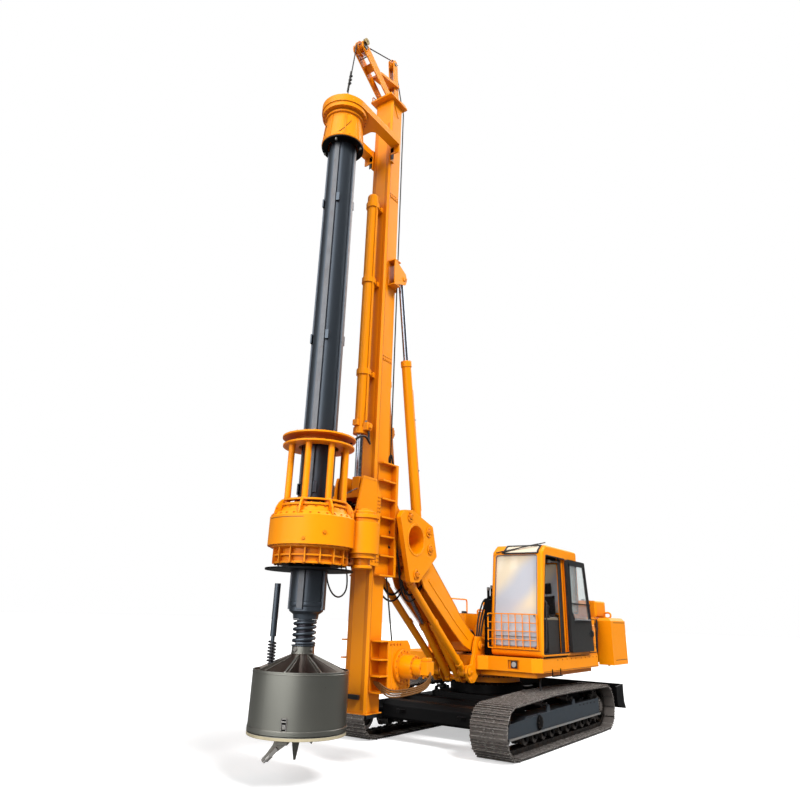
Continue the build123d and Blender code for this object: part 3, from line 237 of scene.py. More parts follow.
def rod(start: Place, end: Place, radius: float, sides: int = 20) -> Shell:
    """Straight round bar with broken end edges: its radius falls by an eighth in its last eighth."""
    a, b = np.asarray(start, float), np.asarray(end, float)
    length = np.linalg.norm(b - a)
    lip = min(radius / 8, length / 4)
    profile = [(0, 0), (radius - lip, 0), (radius, lip), (radius, length - lip), (radius - lip, length),
               (0, length)]
    body = lathe(profile, sides, closed=False)
    return Shell(body.points @ facing((b - a)[None])[0].T + a, body.faces)


def facing(directions: np.ndarray) -> np.ndarray:
    """Rotations (n, 3, 3) that turn Z to each direction: their third columns are the directions."""
    z = directions / np.linalg.norm(directions, axis=1, keepdims=True)
    other = np.where(np.abs(z[:, 2:]) > 0.9, [[1.0, 0, 0]], [[0, 0, 1.0]])
    x = np.cross(other, z)
    x /= np.linalg.norm(x, axis=1, keepdims=True)
    return np.stack([x, np.cross(z, x), z], axis=2)


def repeated(shell: Shell, places: np.ndarray, directions: np.ndarray) -> Shell:
    """Copies of a small surface at many places, its Z turned to each direction, as one array product."""
    places = np.atleast_2d(places).astype(float)
    frames = facing(np.broadcast_to(np.asarray(directions, float), places.shape))
    points = np.einsum("nij,kj->nki", frames, shell.points) + places[:, None]
    shift = np.arange(len(places))[:, None, None] * len(shell.points)
    faces = [(f[None] + shift).reshape(-1, f.shape[1]) for f in shell.faces]
    return Shell(points.reshape(-1, 3), faces)


def bolt(width: float) -> Shell:
    """Hexagon bolt head on a round washer, standing on Z = 0: two stacked turned bodies."""
    r, h = width / 2, width * 0.42
    head = lathe([(0, h), (r * 0.86, h), (r, h * 0.86), (r, 0.18 * h), (0, 0.18 * h)], 6, closed=False)
    washer = lathe([(0, 0.2 * h), (r * 1.25, 0.2 * h), (r * 1.25, -0.1 * h), (0, -0.1 * h)], 12, closed=False)
    return joined([head, washer])


def bolt_heads(width: float, places: np.ndarray | list[np.ndarray], direction: object) -> Shell:
    """Bolt heads at every place of one or several rows, their shanks pointing along the direction."""
    return repeated(bolt(width), np.vstack(places), direction)


def ring_of(count: int, radius: float, centre: Place, axis: str = "z",
            start: float = 0.0) -> np.ndarray:
    """Places spaced evenly round a circle that stands square to an axis, from a start angle in degrees."""
    angle = np.radians(start) + np.arange(count) * 2 * np.pi / count
    a, b, none = radius * np.cos(angle), radius * np.sin(angle), np.zeros(count)
    columns = {"z": (a, b, none), "y": (a, none, b), "x": (none, a, b)}[axis]
    return np.stack(columns, axis=1) + np.asarray(centre, float)


def row_of(start: Place, end: Place, count: int) -> np.ndarray:
    """Places spaced evenly on a straight line, both ends among them."""
    return np.linspace(np.asarray(start, float), np.asarray(end, float), count)


def weld(start: Place, end: Place, size: float = 0.008) -> Shell:
    """Weld bead on a straight seam: a round section whose radius ripples by a tenth along the run."""
    a, b = np.asarray(start, float), np.asarray(end, float)
    length = np.linalg.norm(b - a)
    count = int(np.clip(length / (size * 1.1), 6, 160))
    spine = np.linspace(a, b, count)
    direction = (b - a) / length
    beside = (0, 0, 1) if abs(direction[2]) < 0.9 else (0, 1, 0)
    bead = carried(circle(size, 6), spine, beside)
    ripple = 1 + 0.12 * np.where(np.arange(count) % 2, 1, -1)[:, None, None]
    grid = (bead.points.reshape(count, 6, 3) - spine[:, None]) * ripple + spine[:, None]
    return Shell(grid.reshape(-1, 3), bead.faces)


def make_piece(name: str, body: Body | None, shells: list[Shell], finish: "Finish", smooth: float = 35.0,
               bevel: float = 0.0) -> bpy.types.Object:
    """Turns surfaces into one piece that rides on a body.

    Args:
        name: The piece's plain name.
        body: What it moves with, or None, which leaves it on no body.
        shells: Its surfaces, in metres from the slew axis.
        finish: Its finish.
        smooth: Edges that turn by more than this many degrees stay sharp.
        bevel: Width of a live bevel on its edges, or 0.

    Returns:
        The Blender object, at the origin and unturned.
    """
    whole = joined(shells)
    mesh = bpy.data.meshes.new(name)
    faces = [row for block in whole.faces for row in block.tolist()]
    mesh.from_pydata((whole.points + (SLEW_X, 0, 0)).tolist(), [], faces)
    work = bmesh.new()
    work.from_mesh(mesh)
    bmesh.ops.remove_doubles(work, verts=work.verts, dist=1e-6)
    bmesh.ops.dissolve_degenerate(work, edges=work.edges, dist=1e-7)
    bmesh.ops.recalc_face_normals(work, faces=work.faces)
    work.to_mesh(mesh)
    work.free()
    mesh.shade_smooth()
    mesh.set_sharp_from_angle(angle=math.radians(smooth))
    piece = bpy.data.objects.new(name, mesh)
    bpy.context.scene.collection.objects.link(piece)
    mesh.materials.append(finish.material())
    if bevel:
        rounding = piece.modifiers.new("rounding", "BEVEL")
        rounding.width, rounding.segments = bevel, 2
        rounding.limit_method, rounding.angle_limit = "ANGLE", math.radians(40)
        rounding.harden_normals = False
    if body:
        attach(piece, body.value)
    LOG.info("%s: %d faces on %s", name, len(mesh.polygons), body)
    return piece


def bend(piece: bpy.types.Object, first: Body, second: Body, start: Place,
         end: Place) -> None:
    """Bakes the piece's placement into its mesh, leaving it at the origin."""
    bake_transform(piece)


def rounded_loop(corners: list[Place], radius: float, steps: int = 6) -> np.ndarray:
    """Closed run through straight sides and rounded corners.

    Each corner c is replaced by (1 - t)^2 * a + 2 * t * (1 - t) * c + t^2 * b, where a and b lie on its two
    sides, the radius away from it.
    """
    c = np.array(corners, float)
    before, after = np.roll(c, 1, axis=0) - c, np.roll(c, -1, axis=0) - c
    a = c + before * np.minimum(radius / np.linalg.norm(before, axis=1), 0.49)[:, None]
    b = c + after * np.minimum(radius / np.linalg.norm(after, axis=1), 0.49)[:, None]
    t = np.linspace(0, 1, steps)[None, :, None]
    return ((1 - t) ** 2 * a[:, None] + 2 * t * (1 - t) * c[:, None] + t**2 * b[:, None]).reshape(-1, 3)


def belted(section: np.ndarray, loop: np.ndarray, beside: Place) -> Shell:
    """A closed section carried round a closed loop: place = loop + side * first + beside * second.

    Args:
        section: (k, 2) places across the run.
        loop: (n, 3) places round it.
        beside: Direction square to the whole loop; the section's second number goes along it.
    """
    up = np.asarray(beside, float)
    step = np.roll(loop, -1, axis=0) - np.roll(loop, 1, axis=0)
    side = np.cross(step, up)
    side /= np.linalg.norm(side, axis=1, keepdims=True)
    grid = loop[:, None] + side[:, None] * section[None, :, :1] + up * section[None, :, 1:]
    return Shell(grid.reshape(-1, 3), [lattice(len(loop), len(section), True, True)])


def tube(corners: list[Place], radius: float, bend: float, sides: int = 12) -> Shell:
    """Bent tube: straight runs joined by rounded corners, with every ring square to the run there.

    Rings are carried without twist: each ring's side is the one before it, less its share along the new step.
    """
    c = np.array(corners, float)
    loop = rounded_loop(corners, bend).reshape(len(c), -1, 3)[1:-1].reshape(-1, 3)
    spine = np.concatenate([c[:1], loop, c[-1:]])
    step = np.gradient(spine, axis=0)
    step /= np.linalg.norm(step, axis=1, keepdims=True)
    start = np.cross(step[0], (0.31, 0.23, 0.92))
    frames = [start / np.linalg.norm(start)]
    for ahead in step[1:]:
        side = frames[-1] - ahead * (frames[-1] @ ahead)
        frames.append(side / np.linalg.norm(side))
    side = np.array(frames)
    up = np.cross(side, step)
    flat = circle(radius, sides)
    grid = spine[:, None] + side[:, None] * flat[None, :, :1] + up[:, None] * flat[None, :, 1:]
    ring = np.arange(sides)
    caps = [ring[None, :], (ring + sides * (len(spine) - 1))[None, ::-1]]
    return Shell(grid.reshape(-1, 3), [lattice(len(spine), sides, False, True), *caps])


def pin_cap(x: float, z: float, y: float, reach: float, turned: float = 0.0) -> Shell:
    """Round cap over a pin's end on a face at y, with a flat keeper bar and two bolts through it."""
    cap = lathe([(0, 0.016), (reach * 0.8, 0.016), (reach, 0.009), (reach, 0), (0, 0)], 28, False).turned("x",
            -90)
    bar = slab((-reach * 1.5, 0.01, -reach * 0.34), (-reach * 0.35, 0.024, reach * 0.34))
    heads = bolt_heads(reach * 0.32, np.array([(-reach * 1.25, 0.022, 0), (-reach * 0.62, 0.022, 0)]),
                       (0, 1, 0))
    whole = joined([cap, bar, heads]).turned("y", turned)
    return whole.moved((x, y, z))


def arc_plate(x: float, z: float, radii: Pair, angles: Pair,
              faces: Pair) -> Shell:
    """Flat part of a ring in the XZ plane: radius * (cos, sin) along one edge and back on the other."""
    angle = np.radians(np.linspace(*angles, 25))
    rim = np.stack([np.cos(angle), np.sin(angle)], axis=1)
    edge = np.concatenate([rim * radii[0], rim[::-1] * radii[1]]) + (x, z)
    return prism(edge.tolist(), *faces, along="y")


def ring_bead(x: float, z: float, radius: float, y: float, size: float = 0.008) -> Shell:
    """Weld bead round a circle in the XZ plane, its radius rippled by an eighth of the bead's own."""
    angle = np.linspace(0, 2 * np.pi, max(24, int(2 * np.pi * radius / (size * 1.1)) // 2 * 2),
                        endpoint=False)
    wave = radius + size * 0.12 * np.cos(angle * len(angle) / 2)
    loop = np.stack([x + wave * np.cos(angle), np.full(angle.size, y), z + wave * np.sin(angle)], axis=1)
    return belted(circle(size, 6), loop, (0, 1, 0))


def sorted_box(a: Place, b: Place) -> tuple[tuple, tuple]:
    """Lowest and highest corner of the box between two places."""
    return tuple(np.minimum(a, b)), tuple(np.maximum(a, b))


def settled(piece: bpy.types.Object) -> None:
    """Keeps what a piece's modifiers make of its mesh, and takes the modifiers off."""
    finished = piece.evaluated_get(bpy.context.evaluated_depsgraph_get())
    mesh = bpy.data.meshes.new_from_object(finished)
    piece.modifiers.clear()
    piece.data = mesh


def places_of(mesh: bpy.types.Mesh) -> np.ndarray:
    """(n, 3) places of a mesh's points."""
    places = np.empty(len(mesh.vertices) * 3)
    mesh.vertices.foreach_get("co", places)
    return places.reshape(-1, 3)


def blown_pad(name: str, body: Body, shell: Shell, finish: "Finish", cap: float) -> bpy.types.Object:
    """Cushion blown up as cloth from a plain form: end = start + move, with move no longer than the cap.

    Args:
        name: The pad's plain name.
        body: What it moves with.
        shell: Its starting form, a little smaller than the finished pad.
        finish: Its cloth.
        cap: How far a point may move, in metres.

    Returns:
        The finished pad.
    """
    piece = make_piece(name, body, [shell], finish)
    skin = piece.modifiers.new("skin", "REMESH")
    skin.mode, skin.voxel_size = "VOXEL", 0.007
    settled(piece)
    start = places_of(piece.data)
    cloth = piece.modifiers.new("air", "CLOTH")
    cloth.settings.use_pressure = True
    cloth.settings.uniform_pressure_force = 4.0
    cloth.settings.effector_weights.gravity = 0.0
    cloth.settings.quality = 4
    for step in range(1, 21):
        bpy.context.scene.frame_set(step)
    settled(piece)
    bpy.context.scene.frame_set(1)
    move = places_of(piece.data) - start
    length = np.linalg.norm(move, axis=1, keepdims=True)
    places = start + move * np.minimum(1.0, cap / np.maximum(length, 1e-9))
    piece.data.vertices.foreach_set("co", places.ravel())
    piece.data.materials.clear()
    piece.data.materials.append(finish.material())
    piece.data.shade_smooth()
    rounder = piece.modifiers.new("rounder", "SUBSURF")
    rounder.levels = rounder.render_levels = 1
    return piece


# ---- finishes ------------------------------------------------------------------------------------


def linear(red: float, green: float, blue: float) -> tuple[float, float, float, float]:
    """A colour given in 0 to 255 steps, turned to linear light: ((c + 0.055) / 1.055) ^ 2.4 above the toe."""
    parts = np.array([red, green, blue]) / 255
    value = np.where(parts > 0.04045, ((parts + 0.055) / 1.055) ** 2.4, parts / 12.92)
    return (*value.tolist(), 1.0)


class Graph:
    """A node tree with short calls for adding and joining nodes."""

    def __init__(self, tree: bpy.types.NodeTree) -> None:
        """Keeps the tree that the calls add to."""
        self.tree = tree

    def put(self, socket: bpy.types.NodeSocket, value: object) -> None:
        """Links a socket to another one, or sets its own value."""
        if isinstance(value, bpy.types.NodeSocket):
            self.tree.links.new(value, socket)
        elif value is not None:
            socket.default_value = value

    def add(self, kind: str, inputs: dict[object, object] | None = None,
            **settings: object) -> bpy.types.Node:
        """Adds a node, sets its options, then its inputs by name or number."""
        node = self.tree.nodes.new(kind)
        for key, value in settings.items():
            setattr(node, key, value)
        for key, value in (inputs or {}).items():
            self.put(node.inputs[key], value)
        return node

    def math(self, operation: str, first: object, second: object = None,
             clamp: bool = False) -> bpy.types.NodeSocket:
        """One arithmetic step."""
        return self.add("ShaderNodeMath", {0: first, 1: second}, operation=operation,
                        use_clamp=clamp).outputs[0]

    def mix(self, share: object, first: object, second: object) -> bpy.types.NodeSocket:
        """Blend of two colours."""
        return self.add("ShaderNodeMix", {0: share, 6: first, 7: second}, data_type="RGBA").outputs[2]

    def blend(self, share: object, first: object, second: object) -> bpy.types.NodeSocket:
        """Blend of two numbers."""
        return self.add("ShaderNodeMix", {0: share, 2: first, 3: second}, data_type="FLOAT").outputs[0]

    def step(self, value: object, low: object, high: object) -> bpy.types.NodeSocket:
        """Smooth rise from 0 at low to 1 at high."""
        node = self.add("ShaderNodeMapRange", {0: value, 1: low, 2: high}, interpolation_type="SMOOTHSTEP")
        return node.outputs[0]

    def noise(self, place: object, scale: object, detail: float = 4.0,
              rough: float = 0.55) -> bpy.types.NodeSocket:
        """Cloudy value from 0 to 1."""
        values = {"Vector": place, "Scale": scale, "Detail": detail, "Roughness": rough}
        return self.add("ShaderNodeTexNoise", values).outputs[0]

    def stretch(self, place: object, factors: Place) -> bpy.types.NodeSocket:
        """A place with each axis multiplied, which draws a pattern out along the axes of small factors."""
        return self.add("ShaderNodeMapping", {"Vector": place, "Scale": factors}).outputs[0]


class Effect(Enum):
    """The shared surface effects, each one shader node group."""

    CHIPS = "paint_chips"
    STREAKS = "rain_streaks"
    DUST = "settled_dust"
    EDGES = "rounded_edges"
    GRAIN = "fine_grain"
    WEAVE = "cloth_weave"
    HOLLOWS = "shaded_hollows"


def new_group(effect: Effect, inputs: list[tuple[str, str, float]], outputs: list[tuple[str, str]]) -> Graph:
    """Empty node group with named sockets.

    Args:
        effect: Which effect it is, and so its name.
        inputs: Rows of socket name, socket type and starting value.
        outputs: Rows of socket name and socket type.

    Returns:
        The graph of the new group, with its input and output nodes in place.
    """
    tree = bpy.data.node_groups.new(effect.value, "ShaderNodeTree")
    for name, kind, value in inputs:
        socket = tree.interface.new_socket(name, in_out="INPUT", socket_type=kind)
        if kind == "NodeSocketFloat":
            socket.default_value = value
    for name, kind in outputs:
        tree.interface.new_socket(name, in_out="OUTPUT", socket_type=kind)
    graph = Graph(tree)
    graph.source = graph.add("NodeGroupInput")
    graph.sink = graph.add("NodeGroupOutput")
    return graph


def build_chips() -> None:
    """Chips and scuffs: two sizes of noise multiplied, cut off at a level that the amount lowers."""
    g = new_group(Effect.CHIPS, [("Place", "NodeSocketVector", 0), ("Size", "NodeSocketFloat", 0.05),
                                 ("Amount", "NodeSocketFloat", 0.2)], [("Mask", "NodeSocketFloat")])
    place, size, amount = (g.source.outputs[k] for k in ("Place", "Size", "Amount"))
    scale = g.math("DIVIDE", 1.0, size)
    product = g.math("MULTIPLY", g.noise(place, scale, 8, 0.7),
                     g.noise(place, g.math("MULTIPLY", scale, 0.21)))
    level = g.math("SUBTRACT", 0.46, g.math("MULTIPLY", amount, 0.2))
    g.put(g.sink.inputs["Mask"], g.step(product, level, g.math("ADD", level, 0.03)))


def build_streaks() -> None:
    """Streaks that rain leaves: noise drawn out twenty-fold along Z, times a slower cloud."""
    g = new_group(Effect.STREAKS, [("Place", "NodeSocketVector", 0), ("Size", "NodeSocketFloat", 0.05),
                                   ("Amount", "NodeSocketFloat", 0.3)], [("Mask", "NodeSocketFloat")])
    place, size, amount = (g.source.outputs[k] for k in ("Place", "Size", "Amount"))
    scale = g.math("DIVIDE", 1.0, size)
    lines = g.step(g.noise(g.stretch(place, (1, 1, 0.05)), scale, 5, 0.6), 0.45, 0.8)
    patch = g.step(g.noise(place, g.math("MULTIPLY", scale, 0.12), 3), 0.4, 0.75)
    g.put(g.sink.inputs["Mask"], g.math("MULTIPLY", g.math("MULTIPLY", lines, patch), amount))


def build_dust() -> None:
    """Dust on faces that look up and dust from the ground: the two shares added, times a cloud."""
    g = new_group(Effect.DUST, [("Place", "NodeSocketVector", 0), ("Height", "NodeSocketFloat", 1.0),
                                ("Amount", "NodeSocketFloat", 0.3)], [("Mask", "NodeSocketFloat")])
    place, height, amount = (g.source.outputs[k] for k in ("Place", "Height", "Amount"))
    up = g.add("ShaderNodeSeparateXYZ", {0: g.add("ShaderNodeNewGeometry").outputs["Normal"]}).outputs[2]
    level = g.add("ShaderNodeSeparateXYZ", {0: place}).outputs[2]
    low = g.math("SUBTRACT", 1.0, g.step(level, 0.0, height))
    share = g.math("ADD", g.math("MULTIPLY", g.step(up, 0.3, 1.0), 0.5), low, clamp=True)
    cloud = g.step(g.noise(place, 3.1, 8, 0.65), 0.25, 0.8)
    g.put(g.sink.inputs["Mask"], g.math("MULTIPLY", g.math("MULTIPLY", share, cloud), amount))


def build_edges() -> None:
    """Rounded edges: a bevelled normal, and a mask where it leans away from the flat face's own."""
    g = new_group(Effect.EDGES, [("Radius", "NodeSocketFloat", 0.006)],
                  [("Normal", "NodeSocketVector"), ("Mask", "NodeSocketFloat")])
    rounded = g.add("ShaderNodeBevel", {"Radius": g.source.outputs["Radius"]}, samples=4).outputs[0]
    flat = g.add("ShaderNodeNewGeometry").outputs["Normal"]
    lean = g.add("ShaderNodeVectorMath", {0: rounded, 1: flat}, operation="DOT_PRODUCT").outputs["Value"]
    g.put(g.sink.inputs["Normal"], rounded)
    g.put(g.sink.inputs["Mask"], g.step(g.math("SUBTRACT", 1.0, lean), 0.02, 0.25))


def build_grain() -> None:
    """Fine grain of sprayed or cast metal: small noise plus a share of coarser noise."""
    g = new_group(Effect.GRAIN, [("Place", "NodeSocketVector", 0), ("Size", "NodeSocketFloat", 0.004)],
                  [("Height", "NodeSocketFloat")])
    scale = g.math("DIVIDE", 1.0, g.source.outputs["Size"])
    fine = g.noise(g.source.outputs["Place"], scale, 3)
    coarse = g.noise(g.source.outputs["Place"], g.math("MULTIPLY", scale, 0.14), 3)
    g.put(g.sink.inputs["Height"], g.blend(0.4, fine, coarse))


def build_weave() -> None:
    """Cloth weave: two crossed sets of waves, the higher of them taken at each place."""
    g = new_group(Effect.WEAVE, [("Place", "NodeSocketVector", 0), ("Size", "NodeSocketFloat", 0.004)],
                  [("Height", "NodeSocketFloat")])
    scale = g.math("DIVIDE", 1.0, g.source.outputs["Size"])
    waves = [
        g.add("ShaderNodeTexWave", {"Vector": g.source.outputs["Place"], "Scale": scale, "Distortion": 0.6},
              bands_direction=direction).outputs[1]
        for direction in ("Y", "DIAGONAL")
    ]
    g.put(g.sink.inputs["Height"], g.math("MAXIMUM", *waves))


def build_hollows() -> None:
    """Corners and hollows: 1 - the share of open sky within the reach, raised between two levels."""
    g = new_group(Effect.HOLLOWS, [("Reach", "NodeSocketFloat", 0.3)], [("Mask", "NodeSocketFloat")])
    sky = g.add("ShaderNodeAmbientOcclusion", {"Distance": g.source.outputs["Reach"]},
                samples=4).outputs["AO"]
    g.put(g.sink.inputs["Mask"], g.step(g.math("SUBTRACT", 1.0, sky), 0.12, 0.75))


def build_effects() -> None:
    """Makes every shared effect once."""
    for build in (build_chips, build_streaks, build_dust, build_edges, build_grain, build_weave,
                  build_hollows):
        build()


@dataclass(frozen=True)
class Finish:
    """What every finish has: its name, the record's material slot and its plain colour.

    Fields:
        name: The material's name.
        slot: The record's material slot, or an empty string; not used.
        colour: Red, green and blue in 0 to 255 steps.
        roughness: How matt it is, 0 to 1.
    """

    name: str
    slot: str
    colour: tuple[int, int, int]
    roughness: float = 0.4

    def material(self) -> bpy.types.Material:
        """The material, made on first use."""
        found = bpy.data.materials.get(f"finish_{self.name}")
        if found:
            return found
        made = bpy.data.materials.new(f"finish_{self.name}")
        made.use_nodes = True
        graph = Graph(made.node_tree)
        shader = made.node_tree.nodes["Principled BSDF"]
        shader.inputs["Roughness"].default_value = self.roughness
        shader.inputs["Base Color"].default_value = linear(*self.colour)
        self.dress(graph, shader, graph.add("ShaderNodeTexCoord").outputs["Object"])
        return made

    def effect(self, graph: Graph, effect: Effect, inputs: dict[str, object]) -> bpy.types.Node:
        """Places a shared effect in this material."""
        group = graph.add("ShaderNodeGroup", node_tree=bpy.data.node_groups[effect.value])
        for key, value in inputs.items():
            graph.put(group.inputs[key], value)
        return group

    def raise_surface(self, graph: Graph, shader: bpy.types.Node, height: object, depth: float,
                      normal: object = None) -> None:
        """Feeds a height to the shader's normal, over another normal where there is one."""
        bump = graph.add("ShaderNodeBump",
                         {"Height": height, "Distance": depth, "Strength": 0.6, "Normal": normal})
        graph.put(shader.inputs["Normal"], bump.outputs[0])

    def dress(self, graph: Graph, shader: bpy.types.Node, place: bpy.types.NodeSocket) -> None:
        """Adds the finish's own detail; a plain finish has none."""


@dataclass(frozen=True)
class Paint(Finish):
    """Sprayed machine paint, a little faded, with chips, streaks, dust and rounded edges, painted shade in
    hollows and a painted highlight along its edges.

    Fields:
        worn: How many chips there are.
        dusty: How much dust lies on it.
        under: Colour of the primer or steel that the chips show.
        soil: Colour of the dust.
        edge: Radius that its edges look rounded to.
        coat: Weight of the clear coat.
        metal: How metallic it is, as a thin worn coat over steel is.
        deep: Share of the painted shade in hollows and corners.
        bright: Colour of the painted highlight along every edge.
        shine: Level of its mirror share.
    """

    worn: float = 0.15
    dusty: float = 0.25
    under: tuple[int, int, int] = (96, 60, 34)
    soil: tuple[int, int, int] = (150, 118, 82)
    edge: float = 0.007
    coat: float = 0.25
    metal: float = 0.0
    deep: float = 0.8
    bright: tuple[int, int, int] = (120, 122, 126)
    shine: float = 0.34

    def dress(self, graph: Graph, shader: bpy.types.Node, place: bpy.types.NodeSocket) -> None:
        """Paint, faded in clouds, with painted shade in hollows and a painted highlight on its edges, then
        chips, streaks and dust.
        """
        edges = self.effect(graph, Effect.EDGES, {"Radius": self.edge})
        chips = self.effect(graph, Effect.CHIPS, {"Place": place, "Size": 0.03, "Amount": self.worn})
        rub = self.effect(graph, Effect.CHIPS, {"Place": place, "Size": 0.012, "Amount": self.worn * 2.4})
        streaks = self.effect(graph, Effect.STREAKS, {"Place": place, "Size": 0.03, "Amount": self.dusty})
        dust = self.effect(graph, Effect.DUST, {"Place": place, "Height": 1.3, "Amount": self.dusty})
        base = linear(*self.colour)
        faded = tuple(c * 0.82 for c in base[:3]) + (1.0,)
        colour = graph.mix(graph.math("MULTIPLY", graph.noise(place, 0.9, 5), 0.45), base, faded)
        # Painted shade: ambient occlusion darkens the paint towards a deeper, redder tone in corners and
        # hollows.
        hollow_shade = self.effect(graph, Effect.HOLLOWS, {"Reach": 0.3})
        dark = (base[0] * 0.5, base[1] * 0.3, base[2] * 0.3, 1.0)
        colour = graph.mix(graph.math("MULTIPLY", hollow_shade.outputs[0], self.deep), colour, dark)
        # Painted highlight: every edge is lightened towards the bright colour, as where light catches it.
        colour = graph.mix(graph.math("MULTIPLY", edges.outputs["Mask"], 0.35), colour, linear(*self.bright))
        bare = graph.math("MAXIMUM", chips.outputs[0],
                          graph.math("MULTIPLY", edges.outputs["Mask"], rub.outputs[0]))
        colour = graph.mix(bare, colour, linear(*self.under))
        soiled = graph.math("MAXIMUM", graph.math("MULTIPLY", streaks.outputs[0], 0.7), dust.outputs[0])
        colour = graph.mix(soiled, colour, linear(*self.soil))
        graph.put(shader.inputs["Base Color"], colour)
        matt = graph.math("MULTIPLY_ADD", graph.noise(place, 14.0, 6, 0.7), 0.16)
        matt.node.inputs[2].default_value = self.roughness - 0.08
        graph.put(shader.inputs["Roughness"],
                  graph.math("ADD", matt, graph.math("MULTIPLY", soiled, 0.4), clamp=True))
        shader.inputs["Coat Weight"].default_value = self.coat
        shader.inputs["Coat Roughness"].default_value = 0.12
        shader.inputs["Specular IOR Level"].default_value = self.shine
        graph.put(shader.inputs["Metallic"],
                  graph.math("MULTIPLY", graph.math("SUBTRACT", 1.0, soiled), self.metal))
        grain = self.effect(graph, Effect.GRAIN, {"Place": place, "Size": 0.006})
        height = graph.math("SUBTRACT", grain.outputs[0], graph.math("MULTIPLY", bare, 1.5))
        self.raise_surface(graph, shader, height, 0.0006, edges.outputs["Normal"])


@dataclass(frozen=True)
class Steel(Finish):
    """Bare or oiled steel, with rust and soil in clouds and bright rubbed edges.

    Fields:
        metal: How metallic it is.
        rust: Share of rust.
        rub: Share of brightness on its edges.
        soil: Colour of the rust and soil.
        bright: Colour of the rubbed edges.
        edge: Radius that its edges look rounded to.
        grain: Size of the cast or rolled grain.
    """

    metal: float = 0.6
    rust: float = 0.3
    rub: float = 0.5
    soil: tuple[int, int, int] = (92, 66, 44)
    bright: tuple[int, int, int] = (150, 145, 138)
    edge: float = 0.005
    grain: float = 0.009

    def dress(self, graph: Graph, shader: bpy.types.Node, place: bpy.types.NodeSocket) -> None:
        """Steel in two tones, with painted shade in hollows, rust over it, and bright edges."""
        edges = self.effect(graph, Effect.EDGES, {"Radius": self.edge})
        # Painted shade: hollows darken the steel to an eighth of its colour.
        hollow_shade = self.effect(graph, Effect.HOLLOWS, {"Reach": 0.16})
        base = linear(*self.colour)
        deep = tuple(c * 0.55 for c in base[:3]) + (1.0,)
        colour = graph.mix(graph.noise(place, 5.0, 8, 0.65), base, deep)
        colour = graph.mix(hollow_shade.outputs[0], colour, tuple(c * 0.12 for c in base[:3]) + (1.0,))
        rusted = graph.math("MULTIPLY", graph.step(graph.noise(place, 9.0, 10, 0.72), 0.48, 0.66), self.rust)
        streaks = self.effect(graph, Effect.STREAKS, {"Place": place, "Size": 0.05, "Amount": self.rust})
        rusted = graph.math("MAXIMUM", rusted, streaks.outputs[0])
        colour = graph.mix(rusted, colour, linear(*self.soil))
        rubbed = graph.math("MULTIPLY", graph.math("MULTIPLY", edges.outputs["Mask"], self.rub),
                            graph.step(graph.noise(place, 22.0, 6), 0.35, 0.6))
        colour = graph.mix(rubbed, colour, linear(*self.bright))
        graph.put(shader.inputs["Base Color"], colour)
        graph.put(shader.inputs["Metallic"],
                  graph.math("SUBTRACT", self.metal, graph.math("MULTIPLY", rusted, 0.6), True))
        graph.put(shader.inputs["Roughness"], graph.blend(rusted, self.roughness, 0.85))
        grain = self.effect(graph, Effect.GRAIN, {"Place": place, "Size": self.grain})
        self.raise_surface(graph, shader, grain.outputs[0], 0.0012, edges.outputs["Normal"])


@dataclass(frozen=True)
class Chrome(Finish):
    """Ground and plated rod, with fine turning lines round it."""

    def dress(self, graph: Graph, shader: bpy.types.Node, place: bpy.types.NodeSocket) -> None:
        """Bright metal whose roughness varies along its length, under a thin oil film."""
        lines = graph.noise(graph.stretch(place, (1, 1, 9)), 30.0, 3)
        film = graph.noise(place, 4.0, 5)
        graph.put(shader.inputs["Roughness"], graph.blend(lines, self.roughness, self.roughness + 0.12))
        graph.put(shader.inputs["Base Color"],
                  graph.mix(graph.math("MULTIPLY", film, 0.35), linear(*self.colour),
                                                         linear(128, 132, 142)))
        shader.inputs["Metallic"].default_value = 1.0
        self.raise_surface(graph, shader, lines, 0.00015)


@dataclass(frozen=True)
class Rubber(Finish):
    """Rubber or moulded plastic: matt, mottled, with a moulded skin.

    Fields:
        skin: Size of the moulded grain.
    """

    skin: float = 0.003

    def dress(self, graph: Graph, shader: bpy.types.Node, place: bpy.types.NodeSocket) -> None:
        """Two close tones and a fine raised skin, greyer where dust sits."""
        base = linear(*self.colour)
        pale = tuple(min(1.0, c * 1.9 + 0.004) for c in base[:3]) + (1.0,)
        cloud = graph.noise(place, 11.0, 7, 0.6)
        dust = self.effect(graph, Effect.DUST, {"Place": place, "Height": 0.8, "Amount": 0.25})
        colour = graph.mix(graph.math("MULTIPLY", cloud, 0.5), base, pale)
        graph.put(shader.inputs["Base Color"], graph.mix(dust.outputs[0], colour, linear(120, 104, 86)))
        graph.put(shader.inputs["Roughness"], graph.blend(cloud, self.roughness - 0.08, self.roughness + 0.1))
        grain = self.effect(graph, Effect.GRAIN, {"Place": place, "Size": self.skin})
        self.raise_surface(graph, shader, grain.outputs[0], 0.0005)


@dataclass(frozen=True)
class Cloth(Finish):
    """Woven seat cloth, thread by thread, with a soft sheen."""

    def dress(self, graph: Graph, shader: bpy.types.Node, place: bpy.types.NodeSocket) -> None:
        """Dark and light threads from the weave, faded in clouds."""
        weave = self.effect(graph, Effect.WEAVE, {"Place": place, "Size": 0.02})
        base = linear(*self.colour)
        light = tuple(min(1.0, c * 2.4 + 0.01) for c in base[:3]) + (1.0,)
        share = graph.math("MULTIPLY", weave.outputs[0], graph.noise(place, 26.0, 4))
        graph.put(shader.inputs["Base Color"], graph.mix(share, base, light))
        graph.put(shader.inputs["Roughness"], graph.blend(weave.outputs[0], self.roughness, 0.95))
        shader.inputs["Sheen Weight"].default_value = 0.35
        shader.inputs["Sheen Roughness"].default_value = 0.5
        self.raise_surface(graph, shader, weave.outputs[0], 0.0008)


